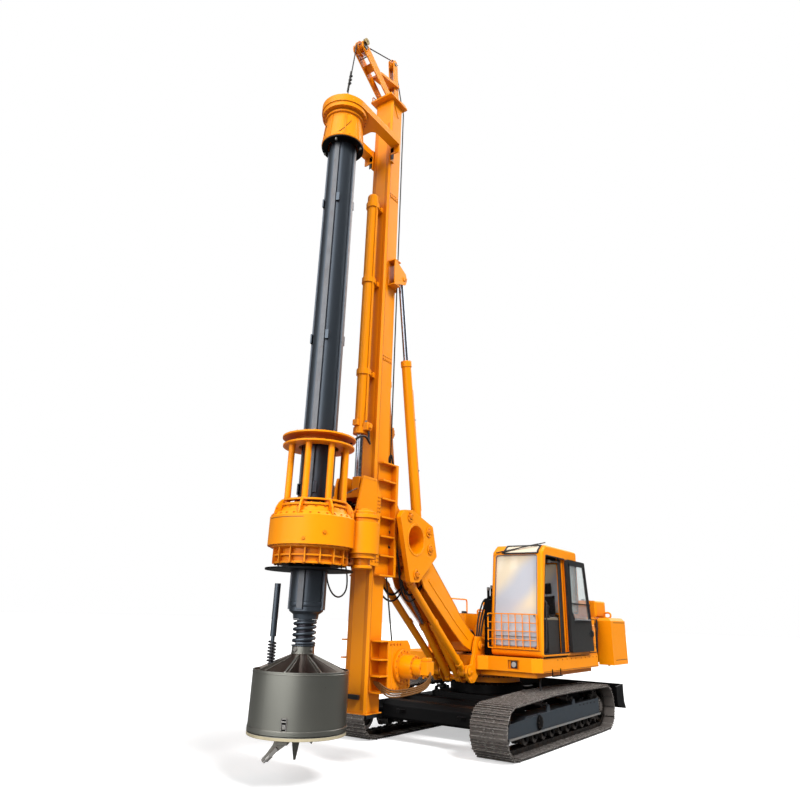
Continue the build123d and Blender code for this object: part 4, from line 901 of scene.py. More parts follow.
@dataclass(frozen=True)
class Pane(Finish):
    """Clear or mirror-like window glass with a faint film of dust.

    Fields:
        through: How much light passes.
    """

    through: float = 0.9

    def dress(self, graph: Graph, shader: bpy.types.Node, place: bpy.types.NodeSocket) -> None:
        """Glass that is rougher where the dust film is."""
        film = graph.step(graph.noise(graph.stretch(place, (1, 1, 0.3)), 6.0, 7, 0.7), 0.4, 0.85)
        graph.put(shader.inputs["Roughness"], graph.blend(film, self.roughness, self.roughness + 0.07))
        graph.put(shader.inputs["Base Color"],
                  graph.mix(graph.math("MULTIPLY", film, 0.25), linear(*self.colour),
                                                         linear(214, 210, 200)))
        shader.inputs["Metallic"].default_value = 0.0
        shader.inputs["Transmission Weight"].default_value = self.through
        shader.inputs["IOR"].default_value = 1.45


@dataclass(frozen=True)
class Screen(Finish):
    """Windscreen glass whose colour carries a painted reflection: a pale tone that turns from warm to
    blue-grey across it.

    Fields:
        through: How much light passes.
        cool: The painted reflection's second tone.
    """

    through: float = 0.5
    cool: tuple[int, int, int] = (214, 220, 230)

    def dress(self, graph: Graph, shader: bpy.types.Node, place: bpy.types.NodeSocket) -> None:
        """Painted reflection: cool in a slanting band, level = height - width across, and low down; warm
        elsewhere.
        """
        along = graph.add("ShaderNodeSeparateXYZ", {0: place}).outputs
        slant = graph.math("SUBTRACT", along[2], graph.math("MULTIPLY", along[1], 0.96))
        bent = graph.math("ADD", slant, graph.math("MULTIPLY", graph.noise(place, 1.3, 2), 0.3))
        band = graph.math("MULTIPLY", graph.step(bent, 1.15, 1.5),
                          graph.math("SUBTRACT", 1.0, graph.step(bent, 1.8, 2.2)))
        warm = graph.math("MULTIPLY", graph.math("SUBTRACT", 1.0, band), graph.step(along[2], 1.95, 2.3))
        # Painted reflection: the warm and cool tones stand for what the glass mirrors.
        graph.put(shader.inputs["Base Color"], graph.mix(warm, linear(*self.cool), linear(*self.colour)))
        graph.put(shader.inputs["Roughness"],
                  graph.blend(graph.noise(place, 5.0), self.roughness, self.roughness + 0.05))
        shader.inputs["Transmission Weight"].default_value = self.through
        shader.inputs["IOR"].default_value = 1.45


@dataclass(frozen=True)
class Rope(Finish):
    """Steel wire rope: strands laid round the core as slanting waves."""

    def dress(self, graph: Graph, shader: bpy.types.Node, place: bpy.types.NodeSocket) -> None:
        """Slanting strand lines in colour and height, darkened by grease."""
        strands = graph.add("ShaderNodeTexWave", {"Vector": graph.stretch(place, (1, 1, 0.5)), "Scale": 26.0},
                            bands_direction="DIAGONAL").outputs[1]
        base = linear(*self.colour)
        deep = tuple(c * 0.3 for c in base[:3]) + (1.0,)
        graph.put(shader.inputs["Base Color"], graph.mix(strands, deep, base))
        graph.put(shader.inputs["Roughness"], graph.blend(graph.noise(place, 7.0), 0.35, 0.6))
        shader.inputs["Metallic"].default_value = 0.7
        self.raise_surface(graph, shader, strands, 0.002)


# Each paint's bright colour is the painted highlight along its edges.
ORANGE = Paint("orange_machine_paint", "machine_paint", (252, 150, 2), 0.4, worn=0.04, dusty=0.06,
               under=(120, 70, 30),
               soil=(132, 74, 22), coat=0.04, bright=(255, 208, 120))
BOLT_PAINT = Paint("painted_bolts", "machine_paint", (222, 124, 4), 0.45, worn=0.12, dusty=0.1,
                   under=(96, 70, 44),
                   soil=(110, 64, 24), edge=0.002, coat=0.05)
DARK_PAINT = Paint("dark_frame_paint", "dark_paint", (8, 8, 9), 0.45, worn=0.08, dusty=0.07,
                   under=(52, 46, 40),
                   soil=(50, 44, 38), coat=0.0, shine=0.12, bright=(60, 60, 62))
FRAME_GREY = Paint("track_frame_paint", "frame_grey", (48, 56, 63), 0.42, worn=0.15, dusty=0.14,
                   under=(96, 90, 84),
                   soil=(84, 78, 72), coat=0.1)
KELLY_GREY = Paint("kelly_paint", "kelly_steel", (86, 94, 103), 0.36, worn=0.14, dusty=0.08,
                   under=(126, 126, 124),
                   soil=(50, 46, 42), coat=0.1, metal=0.84, bright=(150, 158, 166))
BUCKET_GREY = Paint("bucket_paint", "bucket_steel", (152, 152, 144), 0.36, worn=0.12, dusty=0.12,
                    under=(84, 74, 64),
                    soil=(84, 78, 68), coat=0.1, metal=0.93)
DOOR_GREY = Paint("door_paint", "door_paint", (34, 34, 33), 0.4, worn=0.04, dusty=0.1, under=(110, 108, 104),
                  soil=(84, 78, 70))
TRACK_STEEL = Steel("track_steel", "track_steel", (98, 92, 88), 0.55, metal=0.1, rust=0.12, rub=1.0,
                    soil=(60, 52, 44), bright=(236, 230, 222), edge=0.006)
BARE_STEEL = Steel("bare_steel", "track_steel", (152, 150, 146), 0.38, metal=0.5, rust=0.12, rub=0.4)
DARK_STEEL = Steel("oiled_steel", "track_steel", (46, 44, 42), 0.45, metal=0.6, rust=0.3, rub=0.5)
ROD_CHROME = Chrome("rod_chrome", "rod_chrome", (184, 190, 202), 0.2)
BLACK_RUBBER = Rubber("black_rubber", "console_plastic", (24, 24, 25), 0.5)
BLACK_PLASTIC = Rubber("black_plastic", "console_plastic", (30, 30, 32), 0.42, skin=0.002)
GREY_PLASTIC = Rubber("grey_console_plastic", "console_plastic", (96, 97, 98), 0.5, skin=0.002)
DARK_TRIM = Rubber("dark_lining", "console_plastic", (46, 45, 44), 0.55, skin=0.002)
SEAT_CLOTH = Cloth("seat_cloth", "seat_fabric", (26, 27, 30), 0.8)
CLEAR_GLASS = Pane("window_glass", "window_glass", (236, 242, 242), 0.02)
# The windscreen's warm and cool tones are a painted reflection.
SCREEN_PAINTED_REFLECTION = Screen("windscreen_painted_reflection", "window_glass", (255, 243, 216), 0.03, through=0.3)
LAMP_GLASS = Pane("lamp_glass", "window_glass", (250, 250, 246), 0.05, through=0.6)
WIRE_ROPE = Rope("wire_rope", "track_steel", (86, 84, 80), 0.45)
GOLD_HOSE = Rubber("gold_brown_hose", "console_plastic", (92, 60, 28), 0.45)
RED_PAINT = Paint("red_cap_paint", "machine_paint", (176, 36, 22), 0.35, worn=0.05, dusty=0.1)
LIP_GREY = Paint("pale_lip_paint", "frame_grey", (112, 118, 120), 0.5, worn=0.3, dusty=0.35, coat=0.05)
RUSTY_STEEL = Steel("rusty_steel", "track_steel", (84, 62, 48), 0.7, metal=0.3, rust=0.9, rub=0.3)
BEIGE_PLASTIC = Rubber("beige_lining", "console_plastic", (112, 104, 90), 0.6, skin=0.002)
GOLD_STEEL = Steel("yellow_plated_steel", "track_steel", (176, 148, 84), 0.35, metal=0.9, rust=0.1, rub=0.3)
KELLY_WORN = Steel("worn_key_steel", "kelly_steel", (104, 106, 110), 0.34, metal=0.7, rust=0.2, rub=0.6)
WORN_EDGE = Steel("worn_gate_edge", "bucket_steel", (204, 192, 160), 0.5, metal=0.1, rust=0.15, rub=0.6,
                  bright=(228, 222, 206))
# ---- undercarriage -------------------------------------------------------------------------------


@dataclass
class Undercarriage:
    """Track belts in detail, with the bolts, caps, lips and hoses of the lower works.

    Fields:
        centre: Distance of one track's middle from the machine's own.
        width: Width of a shoe.
        pitch: Length of a shoe along the belt.
        grouser: How far a grouser stands out of its shoe.
        idler, sprocket: X, Z and working radius of the two end circles.
        carriers: X of the carrier rollers.
        carrier_top: Height of the belt's face over them.
        ground: Half the length of the run on the ground.
    """

    centre: float = 1.335
    width: float = 0.63
    pitch: float = 0.19
    grouser: float = 0.024
    idler: Place = (2.165, 0.392, 0.359)
    sprocket: Place = (-2.14, 0.41, 0.377)
    carriers: Pair = (0.6, -0.6)
    carrier_top: float = 0.812
    ground: float = 1.72

    def belt(self) -> tuple[np.ndarray, np.ndarray]:
        """Shoes' places and directions in the XZ plane.

        The loop is two half circles, the carriers and the ground run; shoe number i stands at the share
        i / count of the loop's length, found by interpolation in the running sum of its spans.

        Returns:
            Two (count, 2) arrays.
        """
        angle = np.radians(np.arange(-90, 91, 15))
        halves = [
            np.stack([x + r * np.cos(angle + start), z + r * np.sin(angle + start)], axis=1)
            for (x, z, r), start in ((self.idler, 0.0), (self.sprocket, np.pi))
        ]
        run = np.array([(x, self.carrier_top) for x in self.carriers])
        flat = np.array([(-self.ground, self.grouser), (self.ground, self.grouser)])
        loop = np.concatenate([halves[0], run, halves[1], flat, halves[0][:1]])
        step = np.diff(loop, axis=0)
        length = np.hypot(*step.T)
        reach = np.concatenate([[0.0], np.cumsum(length)])
        count = round(reach[-1] / self.pitch)
        at = np.arange(count) * reach[-1] / count
        places = np.stack([np.interp(at, reach, loop[:, k]) for k in (0, 1)], axis=1)
        span = np.searchsorted(reach, at, side="right") - 1
        return places, step[span] / length[span, None]

    def laid(self, shell: Shell) -> Shell:
        """A surface drawn as (run, across, outward), copied to every shoe's place.

        place = station + direction * run + normal * outward, with normal = (direction z, -direction x).
        """
        places, direction = self.belt()
        normal = np.stack([direction[:, 1], -direction[:, 0]], axis=1)
        run, across, out = shell.points.T
        flat = places[:, None] + direction[:, None] * run[None, :, None] + normal[:, None] * out[None, :,
                None]
        grid = np.insert(flat, 1, np.broadcast_to(across, flat.shape[:2]), axis=2)
        shift = np.arange(len(places))[:, None, None] * len(shell.points)
        return Shell(grid.reshape(-1, 3), [(f[None] + shift).reshape(-1, f.shape[1]) for f in shell.faces])

    def shoe(self) -> Shell:
        """One shoe: plate with three narrow grousers, turned-down ends and four bolt heads."""
        g, half = self.grouser, self.width / 2
        edge = [(0.103, -0.021), (0.107, -0.016), (0.098, -0.003)]
        for middle in (0.062, 0.0, -0.062):
            edge += [(middle + 0.009, 0.0), (middle + 0.0045, g), (middle - 0.0045, g), (middle - 0.009, 0.0)]
        edge += [(-0.082, 0.0), (-0.101, -0.006), (-0.099, -0.013), (-0.05, -0.014)]
        plate = prism(edge, -half, half, "y")
        heads = np.array([(u, y, 0.001) for u in (-0.031, 0.031) for y in (-0.075, 0.075)])
        return joined([
            plate, repeated(lathe([(0, 0.012), (0.014, 0.012), (0.016, 0), (0, 0)], 6, False), heads,
                            (0, 0, 1))])

    def chain(self) -> Shell:
        """One pitch of the chain: two pairs of waisted link plates and the pin's bush between them."""
        link = [(-0.098, -0.052), (-0.09, -0.078), (-0.066, -0.09), (-0.038, -0.078), (0.03, -0.074),
                (0.066, -0.088),
                (0.09, -0.078), (0.098, -0.052), (0.084, -0.02), (0.06, -0.0145), (-0.06, -0.0145),
                (-0.084, -0.02)]
        plates = [prism(link, low, low + 0.022, "y") for low in (-0.098, 0.076)]
        ends = [rod((0.095, y, -0.055), (0.095, y + 0.02, -0.055), 0.02, 10) for y in (-0.106, 0.086)]
        bush = rod((0.095, -0.08, -0.055), (0.095, 0.08, -0.055), 0.028, 10)
        return joined([*plates, *ends, bush])

    def build(self) -> None:
        """Makes every piece of the undercarriage."""
        shoes, chain = self.laid(self.shoe()), self.laid(self.chain())
        for side, sign in (("left", 1), ("right", -1)):
            belt = make_piece(f"track_shoes_{side}", Body.ROOT, [shoes.moved((0, sign * self.centre, 0))],
                              TRACK_STEEL, 30)
            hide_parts(f"track_{side}")
            make_piece(f"track_chain_{side}", Body.ROOT, [chain.moved((0, sign * self.centre, 0))],
                       DARK_STEEL)
        self.side_frames()
        self.middle()
        self.blade()

    def side_frames(self) -> None:
        """Pale lip, bolted round cover, roller brackets and hub bolts of both side frames."""
        face = self.centre + 0.175
        lip = prism([(-1.962, 0.2845), (2.228, 0.2745), (2.228, 0.3035), (-1.962, 0.3135)], face + 0.024,
                    face + 0.0285, "y")
        make_piece("track_frame_lips", Body.ROOT, both_sides([lip]), LIP_GREY)
        cover = lathe([(0, 0.026), (0.09, 0.026), (0.106, 0.019), (0.112, 0.008), (0.112, 0)], 40, False)
        cover = cover.turned("x", -90).moved((1.04, face + 0.009, 0.425))
        make_piece("side_frame_covers", Body.ROOT, both_sides([cover]), DARK_PAINT)
        rings = [ring_of(8, 0.082, (1.04, face + 0.034, 0.425), "y"),
                 ring_of(12, 0.1, (-2.14, self.centre + 0.15, 0.41), "y"),
                 ring_of(12, 0.14, (-2.14, self.centre + 0.11, 0.41), "y", 15)]
        rows = [row_of((-1.5, face - 0.02, 0.25), (1.46, face - 0.02, 0.25), 9),
                row_of((-1.7, face, 0.52), (-0.9, face, 0.53), 5)]
        bolts = bolt_heads(0.024, np.concatenate(rings + rows), (0, 1, 0))
        make_piece("side_frame_bolts", Body.ROOT, both_sides([bolts]), DARK_STEEL)
        saddles = []
        for x in np.linspace(-1.5, 1.46, 9):
            outline = [(x - 0.07, 0.288), (x + 0.07, 0.288), (x + 0.045, 0.2), (x + 0.02, 0.182),
                       (x - 0.02, 0.182), (x - 0.045, 0.2)]
            saddles.append(prism(outline, self.centre + 0.118, self.centre + 0.152, "y"))
            saddles.append(prism(outline, self.centre - 0.148, self.centre - 0.118, "y"))
        make_piece("roller_saddles", Body.ROOT, both_sides(saddles), DARK_PAINT)
        beads = [weld((-1.95, face, 0.306), (2.2, face, 0.296), 0.006),
                 weld((-1.6, 1.187, 0.54), (1.45, 1.187, 0.535), 0.007)]
        make_piece("side_frame_welds", Body.ROOT, both_sides(beads), FRAME_GREY)

    def middle(self) -> None:
        """Slewing ring's bolts, welds of the cross-beams, and the travel hoses behind them."""
        rings = [ring_of(40, 0.622, (0, 0, 0.99), start=4.5), ring_of(40, 0.672, (0, 0, 0.862))]
        make_piece("slew_ring_bolts", Body.ROOT, [bolt_heads(0.03, rings, (0, 0, 1))], DARK_STEEL)
        beads = [weld((x, 0.722, z), (x, 1.18, z), 0.008) for x in (-1.24, -0.86, 0.86, 1.24)
                 for z in (0.562,)]
        beads += [weld((x + 0.12 * s, 0.73, 0.642), (x + 0.12 * s, 1.18, 0.642), 0.007) for x in (-1.05, 1.05)
                  for s in (-1, 1)]
        make_piece("crossbeam_welds", Body.ROOT, both_sides(beads), DARK_PAINT)
        hoses = [hose([(-0.42, 0.1 + 0.08 * k, 0.74), (-0.72, 0.2 + 0.1 * k, 0.78),
                       (-1.0, 0.5 + 0.06 * k, 0.71),
                       (-1.3, 0.95 + 0.04 * k, 0.68), (-1.62, 1.16, 0.62 + 0.03 * k),
                       (-1.92, 1.17, 0.47 + 0.04 * k)], 0.017)
                 for k in range(3)]
        make_piece("travel_hoses", Body.ROOT, both_sides(hoses), BLACK_RUBBER)
        clamps = [slab((-1.09, 0.66, 0.645), (-1.03, 0.78, 0.74))]
        make_piece("hose_clamps", Body.ROOT, both_sides(clamps), DARK_STEEL, bevel=0.004)

    def blade(self) -> None:
        """Bolted edge, lifting cylinders and welds of the rear blade."""
        edge = prism(
            [(-3.289, 0.302), (-3.286, 0.302), (-3.2195, 0.402), (-3.2125, 0.44), (-3.2185, 0.44),
             (-3.229, 0.41)], -1.6, 1.6, "y")
        make_piece("blade_edge", Body.ROOT, [edge], TRACK_STEEL)
        heads = bolt_heads(0.03, row_of((-3.222, -1.5, 0.42), (-3.222, 1.5, 0.42), 13), (-1, 0, 0.2))
        make_piece("blade_bolts", Body.ROOT, [heads], DARK_STEEL)
        lifts = [rod((-1.3, 0.35, 0.62), (-2.3, 0.35, 0.6), 0.052),
                 rod((-2.3, 0.35, 0.6), (-3.14, 0.35, 0.585), 0.03),
                 slab((-3.19, 0.29, 0.53), (-3.06, 0.31, 0.65)),
                 slab((-3.19, 0.39, 0.53), (-3.06, 0.41, 0.65)),
                 rod((-3.12, 0.27, 0.585), (-3.12, 0.43, 0.585), 0.026),
                 slab((-1.34, 0.29, 0.56), (-1.2, 0.41, 0.69))]
        make_piece("blade_lift_cylinders", Body.ROOT, both_sides(lifts), DARK_PAINT, bevel=0.004)
        beads = [weld((-3.165, 0.56, 0.576), (-3.165, 0.68, 0.576)),
                 weld((-3.15, 0.56, 0.43), (-3.15, 0.56, 0.56)),
                 weld((-3.15, 0.682, 0.43), (-3.15, 0.682, 0.56)),
                 weld((-3.18, 1.62, 0.42), (-3.18, 1.618, 0.6))]
        make_piece("blade_welds", Body.ROOT, both_sides(beads), DARK_PAINT)
# ---- deck, covers and counterweight --------------------------------------------------------------


@dataclass
class UpperStructure:
    """Seams, louvres, handles, rails, lamps, pipes and bolts of the turning upper works.

    Fields:
        side: Half width over the pump housing.
        bay: Half width over the engine bay.
        deck_top: Height of the deck's plate.
        roof: Height of the covers' roof.
        weight: Half width of the counterweight.
    """

    side: float = 1.54
    bay: float = 1.40
    deck_top: float = 1.38
    roof: float = 2.09
    weight: float = 1.74

    def build(self) -> None:
        """Makes every piece of the upper works apart from the cab."""
        self.doors()
        self.roof_details()
        self.deck_details()
        self.counterweight()
        self.hydraulics()

    def door(self, x_low: float, x_high: float, z_low: float, z_high: float, y: float,
             slats: int) -> list[list[Shell]]:
        """One cover door on a side wall: raised sheet, louvre slats over a dark grille, hinges and a latch.

        Args:
            x_low, x_high, z_low, z_high: The door's edges.
            y: The wall's face.
            slats: How many slats its louvre has, or 0.

        Returns:
            Painted, dark and steel surfaces.
        """
        inset = 0.028
        frame_corners = [(x_low, y, z_low), (x_high, y, z_low), (x_high, y, z_high), (x_low, y, z_high)]
        band = np.array([(-0.006, -0.004), (0.006, -0.004), (0.006, 0.006), (-0.006, 0.006)])
        paint = [slab((x_low + 0.012, y, z_low + 0.012), (x_high - 0.012, y + 0.006, z_high - 0.012))]
        dark = [belted(band, rounded_loop(frame_corners, 0.03), (0, 1, 0))]
        steel = []
        if slats:
            low, high = z_low + 0.12, z_high - 0.1
            dark.append(slab((x_low + 0.09, y + 0.005, low), (x_high - 0.09, y + 0.0075, high)))
            tilt = [(0, 0), (0.02, -0.026), (0.024, -0.024), (0.003, 0.004)]
            for z in np.linspace(low + 0.03, high - 0.005, slats):
                outline = [(y + 0.006 + a, z + b) for a, b in tilt]
                paint.append(prism(outline, x_low + 0.085, x_high - 0.085, "x"))
        for z in (z_low + 0.12, z_high - 0.12):
            dark.append(rod((x_low + inset, y + 0.012, z - 0.045), (x_low + inset, y + 0.012, z + 0.045),
                            0.011, 12))
        middle = (z_low + z_high) / 2
        dark.append(slab((x_high - 0.1, y + 0.005, middle - 0.045),
                         (x_high - 0.045, y + 0.0085, middle + 0.045)))
        steel.append(slab((x_high - 0.085, y + 0.008, middle - 0.03),
                          (x_high - 0.06, y + 0.018, middle + 0.03)))
        return [paint, dark, steel]

    def doors(self) -> None:
        """Cover doors on both sides and across the back of the engine bay."""
        rows = [self.door(-1.97, -1.55, 1.42, 2.05, self.side, 14),
                self.door(-2.4, -2.05, 1.42, 2.05, self.bay, 12)]
        right = [self.door(-1.97, -1.12, 1.42, 2.05, self.side, 14),
                 self.door(-2.4, -2.05, 1.42, 2.05, self.bay, 12),
                 self.door(-1.0, -0.68, 1.42, 2.05, self.side, 0),
                 self.door(-0.64, -0.34, 1.42, 2.05, self.side, 0)]
        gathered = [[s for row in rows for s in row[k]] + [s.mirrored() for row in right for s in row[k]]
                    for k in range(3)]
        for label, shells, finish in zip(("sheets", "seams", "latches"), gathered,
                                         (ORANGE, BLACK_PLASTIC, BARE_STEEL)):
            make_piece(f"cover_door_{label}", Body.UPPER, shells, finish, bevel=0.003 if label == "latches"
                       else 0.0)

    def roof_details(self) -> None:
        """Anti-slip plates, seams, hood louvres and knobs, exhaust, filler caps and rails."""
        z = self.roof
        plates = [slab((-1.98, -0.5, z), (-1.1, 0.42, z + 0.005)),
                  slab((-1.02, -1.45, z), (-0.36, -1.12, z + 0.005)),
                  slab((-2.42, -0.68, z), (-2.06, 1.3, z + 0.005))]
        grid_x, grid_y = np.meshgrid(np.arange(-1.95, -1.12, 0.07), np.arange(-0.46, 0.4, 0.07))
        pips = np.stack([grid_x.ravel(), grid_y.ravel(), np.full(grid_x.size, z + 0.0045)], axis=1)
        studs = repeated(lathe([(0, 0.004), (0.009, 0.003), (0.012, 0), (0, 0)], 8, False), pips, (0, 0, 1))
        make_piece("roof_treads", Body.UPPER, [*plates, studs], DARK_PAINT)
        band = np.array([(-0.005, -0.003), (0.005, -0.003), (0.005, 0.004), (-0.005, 0.004)])
        loops = [((-1.97, -1.0), (-1.12, 1.48)), ((-3.2, -1.36), (-2.44, -0.78)),
                 ((-1.0, -1.48), (-0.36, -0.68))]
        seams = [belted(band, rounded_loop([(a, c, z), (b, c, z), (b, d, z), (a, d, z)], 0.05), (0, 0, 1))
                 for (a, c), (b, d) in loops]
        hood = rounded_loop(
            [(-3.151, -0.66, 2.13), (-3.151, 1.38, 2.13), (-3.151, 1.38, 2.36), (-3.151, -0.66, 2.36)], 0.04)
        seams.append(belted(band, hood, (1, 0, 0)))
        make_piece("roof_seams", Body.UPPER, seams, BLACK_PLASTIC)
        slats = [prism([(-2.48 + a, h + b)
                        for a, b in ((0, 0), (0.018, -0.02), (0.021, -0.018), (0.003, 0.003))],
                       low, low + 0.52, "y") for h in np.linspace(2.17, 2.38, 9)
                       for low in (-0.6, 0.06, 0.72)]
        make_piece("hood_louvres", Body.UPPER, slats, ORANGE)
        knobs = [rod((-2.6, 1.1, 2.44), (-2.6, 1.1, 2.475), 0.035),
                 rod((-2.9, 1.1, 2.44), (-2.9, 1.1, 2.46), 0.045),
                 rod((-0.68, -0.86, z), (-0.68, -0.86, z + 0.05), 0.06, 28)]
        make_piece("filler_caps", Body.UPPER, knobs, BLACK_PLASTIC, bevel=0.004)
        stack = [hose([(-2.75, -1.05, z - 0.01), (-2.75, -1.05, z + 0.15), (-2.75, -1.05, z + 0.29),
                       (-2.83, -1.05, z + 0.36)],
                      0.055, (0, 1, 0), 20), rod((-2.75, -1.05, z), (-2.75, -1.05, z + 0.035), 0.085, 28)]
        make_piece("exhaust_pipe", Body.UPPER, stack, RUSTY_STEEL)
        rails = []
        for corners in ([(-1.95, -1.5, z), (-1.95, -1.5, z + 0.32), (-1.12, -1.5, z + 0.32),
                         (-1.12, -1.5, z)],
                        [(-0.34, -1.48, 1.4), (-0.27, -1.48, 1.42), (-0.27, -1.48, 2.2), (-0.34, -1.48, 2.26),
                         (-0.7, -1.48, 2.3),
                         (-0.8, -1.48, z)],
                        [(-3.22, -1.34, z), (-3.22, -1.34, z + 0.3), (-2.5, -1.34, z + 0.3),
                         (-2.5, -1.34, z)]):
            rails.append(tube(corners, 0.017, 0.07))
        make_piece("roof_rails", Body.UPPER, rails, ORANGE)

    def deck_details(self) -> None:
        """Headlamp in its recess, skirt bolts, drain pipe, slewing drives and the cheeks' weld."""
        lamp = [slab((0.966, 1.0, 1.205), (0.985, 1.12, 1.322)),
                rod((0.96, 1.06, 1.264), (0.99, 1.06, 1.264), 0.052, 28)]
        make_piece("headlamp_body", Body.UPPER, lamp, BLACK_PLASTIC, bevel=0.006)
        make_piece("headlamp_glass", Body.UPPER, [rod((0.988, 1.06, 1.264), (0.996, 1.06, 1.264), 0.045, 28)],
                   LAMP_GLASS, bevel=0.002)
        places = np.concatenate([row_of((x, 1.561, 1.345), (x + 0.9, 1.561, 1.345), 5) for x in (-1.9, -0.7)])
        make_piece("skirt_bolts", Body.UPPER, both_sides([bolt_heads(0.022, places, (0, 1, 0))]), BOLT_PAINT)
        drain = [hose([(0.55, 1.35, 1.17), (0.56, 1.37, 1.05), (0.63, 1.38, 0.97), (0.66, 1.4, 0.9)], 0.016)]
        make_piece("drain_hose", Body.UPPER, drain, BLACK_RUBBER)
        seam = np.array([(-0.003, -0.002), (0.003, -0.002), (0.003, 0.002), (-0.003, 0.002)])
        line = carried(seam, row_of((-1.99, 1.5605, 1.17), (0.86, 1.5605, 1.17), 30), (0, 1, 0))
        make_piece("skirt_seams", Body.UPPER, both_sides([line]), BLACK_PLASTIC)
        slewing = []
        for x, y in ((-0.42, -0.28), (-0.42, 0.3)):
            slewing += [lathe([(0, 0.75), (0.11, 0.75), (0.115, 0.5), (0.17, 0.48), (0.17, 0.3),
                               (0.145, 0.28), (0.145, 0.03),
                               (0.2, 0.03), (0.2, 0), (0, 0)], 32, False).moved((x, y, self.deck_top))]
        make_piece("slewing_drives", Body.UPPER, slewing, ORANGE)
        rings = [ring_of(12, 0.182, (x, y, self.deck_top + 0.03)) for x, y in ((-0.42, -0.28), (-0.42, 0.3))]
        make_piece("slewing_drive_bolts", Body.UPPER, [bolt_heads(0.022, rings, (0, 0, 1))], BOLT_PAINT)
        beads = [weld((0.44, y, 1.381), (0.98, y, 1.381)) for y in (0.326, 0.376)]
        make_piece("cheek_welds", Body.UPPER, both_sides(beads), ORANGE)
        keepers = []
        for (x, z), reach in (((0.96, 1.545), 0.075), ((1.36, 1.12), 0.065)):
            keepers.append(pin_cap(x, z, 0.383, reach))
        make_piece("deck_pin_caps", Body.UPPER, both_sides(keepers), ORANGE, bevel=0.003)

    def counterweight(self) -> None:
        """Lifting eyes, cast seams, tail lamps and the bolts under the counterweight."""
        eyes = []
        for x, y in ((-2.75, 1.58), (-3.42, 1.0)):
            ring = belted(circle(0.02, 10),
                          rounded_loop([(x, y - 0.07, 2.09), (x, y + 0.07, 2.09), (x, y + 0.07, 2.2),
                                                          (x, y - 0.07, 2.2)], 0.06), (1, 0, 0))
            eyes.append(ring)
        make_piece("lifting_eyes", Body.UPPER, both_sides(eyes), ORANGE)
        lamps = [slab((-3.5905, 0.95, 1.62), (-3.575, 1.12, 1.72))]
        make_piece("tail_lamps", Body.UPPER, both_sides(lamps), RED_PAINT, bevel=0.006)
        band = np.array([(-0.005, -0.003), (0.005, -0.003), (0.005, 0.003), (-0.005, 0.003)])
        seams = [carried(
            band, row_of((-2.6, self.weight - 0.002, 1.26), (-3.38, self.weight - 0.002, 1.26), 12),
            (0, 1, 0)),
                 carried(
                     band, row_of((-2.6, self.weight - 0.002, 2.0), (-3.38, self.weight - 0.002, 2.0), 12),
                     (0, 1, 0))]
        make_piece("counterweight_seams", Body.UPPER, both_sides(seams), BLACK_PLASTIC)
        heads = bolt_heads(0.05, row_of((-2.6, 1.58, 1.165), (-3.3, 1.58, 1.165), 3), (0, 0, -1))
        make_piece("counterweight_bolts", Body.UPPER, both_sides([heads]), BOLT_PAINT)
        gap = [tube([(-2.3, 1.44, 1.4), (-2.3, 1.46, 1.75), (-2.36, 1.46, 1.9), (-2.4, 1.44, 2.05)], 0.02,
                    0.05),
               tube([(-2.2, 1.45, 1.4), (-2.2, 1.47, 1.62), (-2.1, 1.47, 1.72), (-2.03, 1.46, 1.8)], 0.014,
                    0.05)]
        make_piece("service_pipes", Body.UPPER, gap, BLACK_RUBBER)

    def hydraulics(self) -> None:
        """Valve's spool rows, hoses from it to the boom, and the pipes along the deck."""
        spools = [rod((0.39 + 0.075 * k, 0.545, z), (0.39 + 0.075 * k, 0.567, z), 0.02, 14)
                  for k in range(6) for z in (1.6, 1.72, 1.98, 2.1)]
        caps = [slab((0.36 + 0.075 * k, 0.398, 1.52), (0.415 + 0.075 * k, 0.4, 2.28)) for k in range(6)]
        make_piece("valve_spools", Body.UPPER, [*spools, *caps], DARK_STEEL, bevel=0.002)
        bends = [hose([(x, y, top - 0.3), (x + 0.02, y - 0.02, top - 0.2), (x + 0.1, 0.38, top - 0.24),
                       (x + 0.16, 0.34, top - 0.42),
                       (0.7 + 0.1 * k, 0.31, 1.95), (0.78 + 0.08 * k, 0.31, 1.72)], 0.016)
                 for k, (x, y, top) in enumerate(((0.42, 0.44, 2.64), (0.56, 0.44, 2.6), (0.7, 0.44, 2.56)))]
        make_piece("valve_hoses", Body.UPPER, bends, BLACK_RUBBER)
        tees = [rod((x, y, top - 0.06), (x, y, top - 0.01), 0.034, 6)
                for x, y, top in ((0.42, 0.44, 2.64), (0.56, 0.44, 2.6), (0.7, 0.44, 2.56), (0.49, 0.5, 2.62),
                                  (0.63, 0.5, 2.5))]
        make_piece("valve_fittings", Body.UPPER, tees, BARE_STEEL)
        runs = [hose([(-0.3, -0.55 + 0.05 * k, 1.42), (0.1, -0.52 + 0.05 * k, 1.4),
                      (0.5, -0.2 + 0.04 * k, 1.42),
                      (0.78, -0.12 + 0.04 * k, 1.5), (0.9, -0.1 + 0.04 * k, 1.62)], 0.018) for k in range(5)]
        make_piece("deck_hoses", Body.UPPER, runs, BLACK_RUBBER)
# ---- cab -----------------------------------------------------------------------------------------


